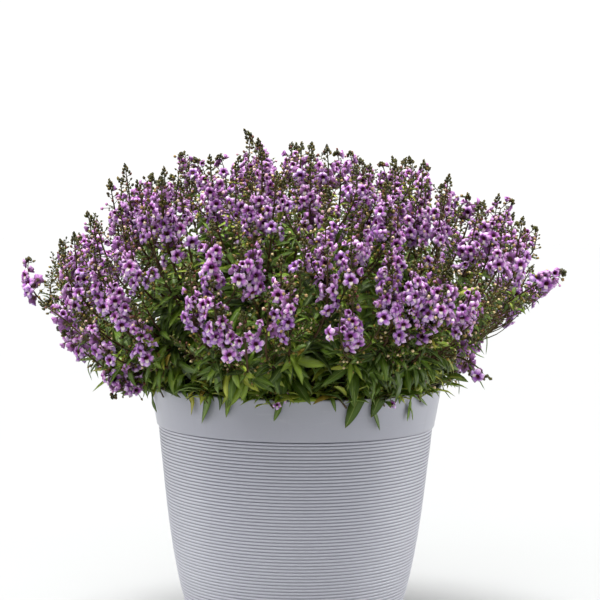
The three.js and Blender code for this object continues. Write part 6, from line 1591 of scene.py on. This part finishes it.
for bi, (stem, spikes) in enumerate(BRANCHES):
    rng = rng_for(3, bi)
    stems, leaves, flowers, buds = Soup(), Soup(), Soup(), Soup()
    name = f"flowering_branch_{bi + 1:02d}"
    stem = np.array(stem, float)
    fork = stem[2]
    base = spline([stem[0], stem[1], stem[2]], 4.0)
    n = len(base)
    wood = np.linspace(1.0, 0.45, n)
    att = np.stack([wood, np.full(n, 0.9), np.zeros(n), np.full(n, 0.5)], -1)
    stems.tube(base, np.linspace(2.2, 1.7, n), 5, att, (0.0, 0.45), twist=rng.uniform(0, 6))
    trunk = Path(base)
    leafy(trunk, 14.0, trunk.length - 2, rng, leaves, 9.0, (38, 54), 1.0)
    for si, sp in enumerate(spikes):
        sp = np.array(sp[:12], float).reshape(4, 3)
        half = float(spikes[si][12])
        pts = np.vstack([stem[1], stem[2], sp])
        curve = spline(pts, 1.6)
        begin = np.argmin(np.linalg.norm(curve - fork, axis=1))
        curve = curve[begin:]
        path = Path(curve)
        n = max(14, int(path.length / 7.5))
        ss = np.linspace(0, path.length, n)
        ring = path.at(ss)
        f = ss / path.length
        radius = np.interp(f, [0, 0.5, 0.85, 1.0], [1.35, 1.1, 0.75, 0.3])
        wood = np.clip(0.45 - f * 1.1, 0, 1)
        red = np.clip(1.0 - f * 0.55, 0, 1)
        att = np.stack([wood, red, np.zeros(n), np.full(n, 0.5)], -1)
        stems.tube(ring, radius, 4, att, (0.45, 0.92), twist=rng.uniform(0, 6))
        centre = sp[2] - unit(sp[2] - sp[1]) * 0.6 * half
        s_mid = path.nearest(centre)
        low = float(np.clip((360 - centre[2]) / 90, 0, 1))
        end = head(path, s_mid, half, rng, stems, leaves, flowers, buds, low)
        leafy(path, 6.0, min(end + 14, path.length), rng, leaves, 6.4, (27, 44), low, bias=0.25, droop=0.15 + 0.5 * low)
    for gi, (b_, s_, gx, gy, gz, tx, ty, tz) in greens_of.get(bi, []):
        r2 = rng_for(4, gi)
        foot, top = np.array([gx, gy, gz]), np.array([tx, ty, tz])
        # leaves its parent shoot at a slant, then rises
        mid = foot * 0.45 + top * 0.55 + outward_of(top) * 3 - UP * 6
        curve = spline([foot, mid, top], 1.6)
        path = Path(curve)
        n = max(8, int(path.length / 7.5))
        ss = np.linspace(0, path.length, n)
        f = ss / path.length
        att = np.stack([np.zeros(n), np.clip(0.8 - f, 0, 1), np.zeros(n), np.full(n, 0.6)], -1)
        stems.tube(path.at(ss), np.interp(f, [0, 1], [0.95, 0.28]), 4, att, (0.45, 0.92), twist=1.0)
        L = path.length
        cut = max(8.0, L - 46)
        n = int((L - cut) / 1.9)
        s = L - np.linspace(0.3, L - cut, n) * 1.0
        axis = path.along(s)
        rad = frames_about(axis, np.arange(n) * GOLDEN + r2.uniform(0, 6))
        grow = np.linspace(0, 1, n)
        reach = 0.6 + 8.4 * grow ** 0.8
        foot_at = path.at(s)
        at = foot_at + rad * reach[:, None] + axis * (reach * 0.5)[:, None]
        ripe = grow > 0.45
        high = above_skirt(at) & clear_of_pot(at[:, None], 2.5)
        m_ = (grow > 0.12) & high
        stalks(stems, foot_at[m_], at[m_], 0.36, 0.36, r2.uniform(0.1, 0.8, m_.sum()), r2)
        d = unit(rad * 0.8 + axis * 0.7)
        size = 1.0 + 0.75 * grow
        m_ = (grow <= 0.2) & (high | (grow <= 0.12))
        put_buds(buds, "tip", at[m_], d[m_], size[m_], r2)
        m_ = (grow > 0.2) & ~ripe & high
        put_buds(buds, "side", at[m_], d[m_], size[m_], r2)
        put_buds(buds, "capsule", at[ripe & high], d[ripe & high], size[ripe & high], r2)
        pick = (r2.uniform(size=n) < 0.6) & above_skirt(foot_at)
        bl = np.interp(grow, [0, 1], [4, 11]) * r2.uniform(0.8, 1.2, n)
        lvl = r2.integers(4, 11, n)
        leaves.add(BRACT, basis(unit(rad + axis * 0.5), axis)[pick], bl[pick], foot_at[pick], cell=lvl[pick], tone=(lvl[pick] + 0.5) / 16)
        leafy(path, 5.0, max(6.0, cut + 6), r2, leaves, 8.0, (22, 34), 0.5, bias=0.2, droop=0.2)
    for k, foot, end in inner_of.get(bi, []):
        r2 = rng_for(8, k)
        path = Path(spline([foot, foot * [0.45, 0.45, 0.5] + end * [0.55, 0.55, 0.5] - UP * 4, end], 2.0))
        n = max(8, int(path.length / 10))
        ss = np.linspace(0, path.length, n)
        f = ss / path.length
        att = np.stack([np.clip(0.5 - f, 0, 1), np.clip(0.9 - f, 0, 1), np.zeros(n), np.full(n, 0.5)], -1)
        stems.tube(path.at(ss), np.interp(f, [0, 0.8, 1], [1.2, 0.8, 0.3]), 4, att, (0.45, 0.92))
        if k % 3:
            head(path, path.length - 38, 12, r2, stems, leaves, flowers, buds, 0.0)
            leafy(path, 8.0, path.length - 44, r2, leaves, 7.5, (32, 46), 1.0)
        else:
            leafy(path, 8.0, path.length - 2, r2, leaves, 7.5, (32, 46), 1.0)
    for k, row in enumerate(SIDE_HEADS):
        if row[0] != bi:
            continue
        r2 = rng_for(9, k)
        foot, mid, centre, tip = np.array(row[1:13], float).reshape(4, 3)
        path = Path(spline([foot, mid, centre, tip], 1.6))
        n = max(8, int(path.length / 8))
        ss = np.linspace(0, path.length, n)
        f = ss / path.length
        att = np.stack([np.zeros(n), np.clip(0.8 - f, 0, 1), np.zeros(n), np.full(n, 0.5)], -1)
        stems.tube(path.at(ss), np.interp(f, [0, 0.8, 1], [1.1, 0.8, 0.3]), 4, att, (0.45, 0.92))
        end = head(path, path.nearest(centre), row[13], r2, stems, leaves, flowers, buds, 0.5)
        leafy(path, 5.0, max(8.0, end + 10), r2, leaves, 7.5, (24, 40), 0.5, bias=0.2, droop=0.2)
    for h, pts, width, tone in HANGING:
        if h == bi:
            pts = np.array(pts, float)
            ribbon_leaf(leaves, pts, width, tone, fold=0.2)
    close_piece(stems, name + "_stems", STEM, name)
    close_piece(leaves, name + "_leaves", LEAF, name)
    close_piece(flowers, name + "_flowers", PETAL, name)
    close_piece(buds, name + "_buds", BUD, name)

# ---------------------------------------------------------------------------
# Leafy shoots at the rim
# ---------------------------------------------------------------------------
for hi, stem in enumerate(SHOOTS):
    rng = rng_for(5, hi)
    stems, leaves, flowers, buds = Soup(), Soup(), Soup(), Soup()
    name = f"leafy_shoot_{hi + 1:02d}"
    stem = np.array(stem, float)
    az = math.atan2(stem[2][0], -stem[2][1])
    er = np.array([math.sin(az), -math.cos(az), 0])
    et = np.array([math.cos(az), math.sin(az), 0])
    top = stem[2] + er * 9 + UP * 9
    curve = spline([stem[0], stem[1], stem[2], top], 2.0)
    path = Path(curve)
    n = max(8, int(path.length / 6))
    ss = np.linspace(0, path.length, n)
    f = ss / path.length
    att = np.stack([np.clip(0.8 - f * 1.2, 0, 1), np.clip(0.9 - f * 0.7, 0, 1), np.zeros(n), np.full(n, 0.4)], -1)
    stems.tube(path.at(ss), np.interp(f, [0, 1], [1.7, 0.7]), 5, att, (0.0, 0.9))

    def twig(points, r0=1.0, r1=0.5, n=7):
        c = Path(over_rim(spline(points, 2.0), r0 + 0.9))
        ss = np.linspace(0, c.length, n)
        att = np.stack([np.zeros(n), np.linspace(0.6, 0.2, n), np.zeros(n), np.full(n, 0.5)], -1)
        stems.tube(c.at(ss), np.linspace(r0, r1, n), 4, att, (0.5, 0.9))
        return c

    # side twigs spread the leaves along the rim
    twigs = [path]
    for k, (da, dz) in enumerate(((-17, 4), (15, 6), (-8, 17), (9, 20))):
        start = path.at(path.length * (0.35 + 0.12 * k))
        end = start + et * da * 1.15 + er * (12 + 3 * k) + UP * (12 + dz)
        twigs.append(twig([start, (start + end) / 2 + UP * 5, end]))
    for k, tw in enumerate(twigs):
        s0 = 0.45 * tw.length if k == 0 else 5.0
        n = 6
        s = np.linspace(s0, tw.length, n)
        for q in range(n):
            at = tw.at(s[q])
            for side in (-1, 1):
                spread = rng.normal(side * 0.75, 0.45)
                drop = rng.uniform(-0.9, 0.5)
                d = unit(er * rng.uniform(0.5, 1.0) + et * spread - UP * drop)
                ln = rng.uniform(20, 44)
                pick = int(rng.integers(1, 4)) if drop > 0 else int(rng.integers(0, 6))
                put_leaves(leaves, at[None], d[None], unit(UP + er * 0.2 + rng.normal(0, 0.25, 3))[None], np.array([ln]), rng, leaf_shades(rng, 1, 0.24), [pick], [rng.uniform(0.62, 1.1)])
        # small young leaves and capsules between the long ones
        n = 6
        s = rng.uniform(s0, tw.length, n)
        foot_at = tw.at(s)
        rad = unit(er * rng.uniform(0.3, 1.0, (n, 1)) + et * rng.normal(0, 0.8, (n, 1)) + UP * rng.uniform(-0.2, 0.9, (n, 1)))
        at = foot_at + rad * rng.uniform(9, 17, (n, 1))
        ok = clear_of_pot(at[:, None], 2.5)
        foot_at, at, rad = foot_at[ok], at[ok], rad[ok]
        stalks(stems, foot_at, at, 0.45, 0.38, rng.uniform(0.1, 0.6, len(at)), rng)
        ripe = rng.uniform(size=len(at)) < 0.4
        put_buds(buds, "capsule", (at + rad)[ripe], rad[ripe], rng.uniform(1.3, 1.9, int(ripe.sum())), rng)
        for fan in (-0.6, 0.6):
            put_leaves(leaves, at, unit(rad + et * fan + UP * rng.uniform(-0.5, 0.5, (len(at), 1))), np.repeat(unit(UP + er * 0.3)[None], len(at), 0), rng.uniform(8, 16, len(at)), rng, np.clip(leaf_shades(rng, len(at), 0.30), 0, 0.86), None, rng.uniform(0.9, 1.2, len(at)))
    for h, pts, width, tone in DRAPED:
        if h == hi:
            pts = np.array(pts, float)
            start = path.at(path.length * rng.uniform(0.45, 0.75))
            twig([start, (start + pts[0]) / 2 + UP * 4, pts[0]], 0.8, 0.5, 5)
            ribbon_leaf(leaves, pts, width, tone)
    for h, pts, count in TWIGS:
        if h == hi:
            pts = np.array(pts, float)
            start = path.at(path.length * 0.6)
            twig([start, (start + pts[0]) / 2 + UP * 4, pts[0]], 1.0, 0.8, 5)
            c = twig(pts, 0.8, 0.4, 8)
            s = np.linspace(2, c.length, count)
            axis = c.along(s)
            rad = frames_about(axis, np.arange(count) * GOLDEN + rng.uniform(0, 6))
            rad = unit(rad + outward_of(c.at(s)) * 0.4 + UP * 0.3)
            foot_at = c.at(s)
            at = foot_at + rad * rng.uniform(4, 7.5, count)[:, None]
            keep = clear_of_pot(at[:, None], 2.5)
            foot_at, at, rad = foot_at[keep], at[keep], rad[keep]
            stalks(stems, foot_at, at, 0.4, 0.38, rng.uniform(0.4, 1.0, len(at)), rng)
            kind = rng.uniform(size=len(at)) < 0.3
            size = rng.uniform(1.3, 2.0, len(at))
            put_buds(buds, "capsule", (at + rad)[~kind], rad[~kind], size[~kind], rng)
            put_buds(buds, "pale", (at + rad)[kind], rad[kind], size[kind], rng)
            put_leaves(leaves, foot_at, unit(rad + axis[keep] * 0.5), np.repeat(UP[None], len(at), 0), rng.uniform(10, 22, len(at)), rng, leaf_shades(rng, len(at), 0.15))
    for h, at, scale in STRAYS:
        if h == hi:
            at = np.array(at, float)
            face = unit(outward_of(at) * 0.8 + rng.normal(0, 0.35, 3) + UP * 0.1)
            start = path.at(path.length * rng.uniform(0.55, 0.85))
            back = at - face * 6.2 * scale
            twig([start, (start + back) / 2 + UP * 5, back], 0.6, 0.45, 6)
            q = int(rng.integers(0, 3))
            flowers.add(with_fresh(HALF_OPEN[q] if scale < 0.5 else REAR[q], 0.5), basis(face[None], (UP + rng.normal(0, 0.5, 3))[None]), np.array([scale]), at[None], cell=np.array([q + 4]), tone=np.array([0.85]))
    close_piece(stems, name + "_stems", STEM, name)
    close_piece(leaves, name + "_leaves", LEAF, name)
    close_piece(flowers, name + "_flowers", PETAL, name)
    close_piece(buds, name + "_buds", BUD, name)

# ---------------------------------------------------------------------------
# Pot
# ---------------------------------------------------------------------------
def wall_radius(z):
    """Outside of the ribbed wall over its crests, smoothed through the measured heights."""
    zs = np.linspace(0, 219.8, 441)
    r = np.interp(zs, PROFILE[:, 0], PROFILE[:, 1])
    k = np.ones(25) / 25
    pad = np.pad(r, 12, mode="reflect", reflect_type="odd")
    r = np.where(zs > 14, np.convolve(pad, k, "valid"), r)
    return np.interp(z, zs, r)


def lathe(rows, segments, name, material, node, slot, closed=True):
    """rows: radius, height, pattern in three numbers. Turned round z, closed on the axis."""
    soup = Soup()
    rows = np.asarray(rows, float)
    n = segments
    a = np.arange(n) / n * 2 * np.pi
    on_axis = rows[:, 0] < 1e-6
    v, att, first = [], [], []
    for (r, z, *pat), ax in zip(rows, on_axis):
        first.append(len(v))
        low = float(np.clip((195 - z) / 115, 0, 1))
        if ax:
            v.append([0, 0, z])
            att.append([*pat, low])
        else:
            v += [[r * np.cos(t), r * np.sin(t), z] for t in a]
            att += [[*pat, low]] * n
    run = np.concatenate([[0], np.cumsum(np.hypot(*np.diff(rows[:, :2], axis=0).T))])
    run /= run[-1]
    faces, uv = [], []
    for i in range(len(rows) - 1):
        A, B = first[i], first[i + 1]
        for j in range(n):
            k = (j + 1) % n
            u0, u1 = j / n, (j + 1) / n
            if on_axis[i]:
                faces.append([A, B + k, B + j])
                uv += [((u0 + u1) / 2, run[i]), (u1, run[i + 1]), (u0, run[i + 1])]
            elif on_axis[i + 1]:
                faces.append([A + j, A + k, B])
                uv += [(u0, run[i]), (u1, run[i]), ((u0 + u1) / 2, run[i + 1])]
            else:
                faces.append([A + j, A + k, B + k, B + j])
                uv += [(u0, run[i]), (u1, run[i]), (u1, run[i + 1]), (u0, run[i + 1])]
    soup.add_one(Shape(np.array(v), faces, uv, np.array(att)))
    return soup


rows = [(0, 1.6, 0, 0, 0), (70, 1.6, 0, 0, 0), (80, 1.2, 0, 0, 0), (84, 0.0, 0, 0, 0), (87.5, 0.0, 0, 0, 0), (90.0, 1.4, 0, 0, 0), (91.2, 3.4, 0, 0, 0)]
PITCH, TOP_GROOVE = 3.257, 220.5
DEPTH = 1.05
z = TOP_GROOVE
grooves = []
while z > 8:
    grooves.append(z)
    z -= PITCH
grooves = grooves[::-1]
for g in grooves[:-1]:
    for dz, dr, pat in ((0.0, DEPTH, 1.0), (0.62, 0.30, 0.5), (1.50, 0.0, 0.0), (2.62, 0.24, 0.45)):
        zz = g + dz
        rows.append((float(wall_radius(min(zz, 219.0))) - dr, zz, pat, 0, 0))
rows += [(136.3, 220.3, 1.0, 0, 0), (137.4, 220.9, 1, 0.2, 0), (138.9, 221.0, 0.3, 1, 0), (139.35, 221.5, 0, 1, 0),
         (139.75, 224.0, 0, 1, 0), (141.9, 236.0, 0, 1, 0), (143.9, 248.0, 0, 1, 0), (145.3, 257.0, 0, 1, 0), (145.9, 260.2, 0, 1, 0),
         (146.1, 261.3, 0, 1, 0), (145.7, 262.0, 0, 1, 0), (144.6, 262.2, 0, 1, 0), (143.4, 261.9, 0, 1, 0), (142.9, 261.0, 0, 1, 0.2),
         (141.9, 255.0, 0, 0.5, 0.5), (139.5, 241.0, 0, 0, 0.8), (136.0, 221.0, 0, 0, 1), (132.8, 203.0, 0, 0, 1), (125.2, 139.0, 0, 0, 1),
         (118.0, 90.0, 0, 0, 1), (111.0, 57.0, 0, 0, 1), (94.0, 12.0, 0, 0, 1), (85.0, 4.6, 0, 0, 1), (0, 4.6, 0, 0, 1)]
pot = lathe(rows, 80, "pot_body", POT, "pot", "pot")
close_piece(pot, "pot_body", POT, "pot")

# ---------------------------------------------------------------------------
# Soil
# ---------------------------------------------------------------------------
rng = rng_for(6)
seg = 84
radii = [0, 8, 18, 28, 38, 48, 58, 68, 78, 88, 97, 106, 114, 121, 127, 132, 135.6]
srows = [(0, 5.2, 0, 0, 0), (84, 5.2, 0, 0, 0), (93, 12.5, 0, 0, 0), (110, 57, 0, 0, 0), (117, 90, 0, 0, 0), (124.4, 139, 0, 0, 0), (132, 203, 0, 0, 0), (135.2, 221, 0, 0, 0)]
srows += [(r, 236 + 5 * (1 - (r / 138) ** 2), 0, 0, 0) for r in radii[::-1]]
soil = lathe(srows, seg, "soil_mix", SOIL, "soil", "soil")
v = soil.v[0]
top = v[:, 2] > 230
w = np.zeros(len(v))
for k in range(26):
    f = rng.uniform(0.03, 0.32, 2) * rng.choice([-1, 1], 2)
    w += np.sin(v[:, 0] * f[0] + v[:, 1] * f[1] + rng.uniform(0, 6)) * 0.42 / (1 + 3 * np.hypot(*f))
edge = np.clip((137 - np.hypot(v[:, 0], v[:, 1])) / 12, 0.15, 1)
v[:, 2] += np.where(top, w * edge, 0)
# crumbs of bark and a few pale grains
n = 420
r_, a_ = 132 * np.sqrt(rng.uniform(0, 1, n)), rng.uniform(0, 2 * np.pi, n)
at = np.stack([r_ * np.cos(a_), r_ * np.sin(a_), 236 + 5 * (1 - (r_ / 138) ** 2) + 0.6], -1)
crumb = drop_shape(5, ((-0.5, 0.8), (0.4, 0.7)), -0.8, 0.8)
crumb.att[:, 0] = 1.0
rot = basis(unit(rng.normal(0, 1, (n, 3))), unit(rng.normal(0, 1, (n, 3)) + UP))
pale = rng.uniform(size=n) < 0.12
size = np.stack([rng.uniform(1.0, 2.6, n), rng.uniform(0.8, 1.8, n), rng.uniform(1.2, 3.8, n)], -1)
soil.add(crumb, rot, size * np.where(pale, 0.6, 1.0)[:, None], at, tone=np.where(pale, 1.0, rng.uniform(0, 0.25, n)))
close_piece(soil, "soil_mix", SOIL, "soil")

# ---------------------------------------------------------------------------
# Floor, light and camera
# ---------------------------------------------------------------------------
floor_mesh = bpy.data.meshes.new("floor")
floor_mesh.from_pydata([(-9, -9, 0), (9, -9, 0), (9, 9, 0), (-9, 9, 0)], [], [(0, 1, 2, 3)])
floor = bpy.data.objects.new("floor", floor_mesh)
bpy.context.scene.collection.objects.link(floor)
fm = Nodes("floor_white")
grain = fm.noise(fm.position(), 3.0, 2.0)
floor_mesh.materials.append(fm.finish(fm.mix(grain, (0.265, 0.27, 0.268, 1), (0.28, 0.284, 0.282, 1)), 0.9, Emission_Color=(1, 1, 1, 1), Emission_Strength=0.225))

world = bpy.data.worlds.new("studio")
bpy.context.scene.world = world
world.use_nodes = True
nt = world.node_tree
nt.nodes.clear()
out = nt.nodes.new("ShaderNodeOutputWorld")
coord = nt.nodes.new("ShaderNodeTexCoord")
sep = nt.nodes.new("ShaderNodeSeparateXYZ")
nt.links.new(coord.outputs["Generated"], sep.inputs[0])
# y runs from the camera side (-1) to the back (+1); z is up
front = nt.nodes.new("ShaderNodeMapRange")
front.interpolation_type = "SMOOTHSTEP"
front.inputs[1].default_value, front.inputs[2].default_value = -0.85, 0.3
front.inputs[3].default_value, front.inputs[4].default_value = 0.03, 0.60
nt.links.new(sep.outputs[1], front.inputs[0])
upper = nt.nodes.new("ShaderNodeMapRange")
upper.inputs[1].default_value, upper.inputs[2].default_value = 0.0, 0.9
upper.inputs[3].default_value, upper.inputs[4].default_value = 0.0, -0.16
nt.links.new(sep.outputs[2], upper.inputs[0])
add = nt.nodes.new("ShaderNodeMath")
nt.links.new(front.outputs[0], add.inputs[0])
nt.links.new(upper.outputs[0], add.inputs[1])
# two upright panels, left and right, that light the pot's edges
across = nt.nodes.new("ShaderNodeMath")
across.operation = "ABSOLUTE"
nt.links.new(sep.outputs[0], across.inputs[0])
panel = nt.nodes.new("ShaderNodeMapRange")
panel.interpolation_type = "SMOOTHSTEP"
panel.inputs[1].default_value, panel.inputs[2].default_value = 0.70, 0.96
nt.links.new(across.outputs[0], panel.inputs[0])
low_part = nt.nodes.new("ShaderNodeMapRange")
low_part.interpolation_type = "SMOOTHSTEP"
low_part.inputs[1].default_value, low_part.inputs[2].default_value = 0.10, 0.55
low_part.inputs[3].default_value, low_part.inputs[4].default_value = 4.9, 0.0
nt.links.new(sep.outputs[2], low_part.inputs[0])
# the right panel is a little brighter than the left one
lean = nt.nodes.new("ShaderNodeMath")
lean.operation = "MULTIPLY_ADD"
lean.inputs[1].default_value, lean.inputs[2].default_value = 0.14, 1.06
nt.links.new(sep.outputs[0], lean.inputs[0])
uneven = nt.nodes.new("ShaderNodeMath")
uneven.operation = "MULTIPLY"
nt.links.new(panel.outputs[0], uneven.inputs[0])
nt.links.new(lean.outputs[0], uneven.inputs[1])
# the panels stand beside the pot, not in front of it
beside = nt.nodes.new("ShaderNodeMapRange")
beside.interpolation_type = "SMOOTHSTEP"
beside.inputs[1].default_value, beside.inputs[2].default_value = -0.55, -0.05
nt.links.new(sep.outputs[1], beside.inputs[0])
placed = nt.nodes.new("ShaderNodeMath")
placed.operation = "MULTIPLY"
nt.links.new(uneven.outputs[0], placed.inputs[0])
nt.links.new(beside.outputs[0], placed.inputs[1])
side = nt.nodes.new("ShaderNodeMath")
side.operation = "MULTIPLY"
nt.links.new(placed.outputs[0], side.inputs[0])
nt.links.new(low_part.outputs[0], side.inputs[1])
both = nt.nodes.new("ShaderNodeMath")
nt.links.new(add.outputs[0], both.inputs[0])
nt.links.new(side.outputs[0], both.inputs[1])
lit = nt.nodes.new("ShaderNodeBackground")
lit.inputs["Color"].default_value = (1.0, 1.0, 1.0, 1)
nt.links.new(both.outputs[0], lit.inputs["Strength"])
white = nt.nodes.new("ShaderNodeBackground")
white.inputs["Color"].default_value = (1, 1, 1, 1)
white.inputs["Strength"].default_value = 1.05
path_ = nt.nodes.new("ShaderNodeLightPath")
mixer = nt.nodes.new("ShaderNodeMixShader")
nt.links.new(path_.outputs["Is Camera Ray"], mixer.inputs[0])
nt.links.new(lit.outputs[0], mixer.inputs[1])
nt.links.new(white.outputs[0], mixer.inputs[2])
nt.links.new(mixer.outputs[0], out.inputs[0])


def softbox(name, toward, strength, spread):
    """A large, far softbox: even light from one direction over the whole floor."""
    light = bpy.data.lights.new(name, "SUN")
    light.energy, light.angle = strength, math.radians(spread)
    ob = bpy.data.objects.new(name, light)
    bpy.context.scene.collection.objects.link(ob)
    ob.rotation_euler = Vector(toward).to_track_quat("-Z", "Y").to_euler()
    return ob


softbox("overhead", (0.10, 0.06, -0.99), 5.4, 25)
softbox("ceiling", (0.13, 0.55, -0.82), 2.2, 54)

cam_data = bpy.data.cameras.new("camera")
cam_data.sensor_fit, cam_data.sensor_width, cam_data.lens = "HORIZONTAL", 36.0, 120.0
cam_data.clip_start, cam_data.clip_end = 0.05, 60.0
cam = bpy.data.objects.new("camera", cam_data)
bpy.context.scene.collection.objects.link(cam)
turn = Matrix.Rotation(math.radians(90 - 4.253), 4, "X") @ Matrix.Rotation(math.radians(0.653), 4, "Z")
cam.matrix_world = Matrix.Translation((0.00306, -2.0, 0.49395)) @ turn
bpy.context.scene.camera = cam
bpy.context.scene.view_settings.view_transform = "Standard"

print("COPIES", Soup.made)
print("TRIANGLES", total, sum(total.values()), "pieces", len(pieces), "largest", max(sum(len(p.vertices) - 2 for p in ob.data.polygons) for ob in pieces))
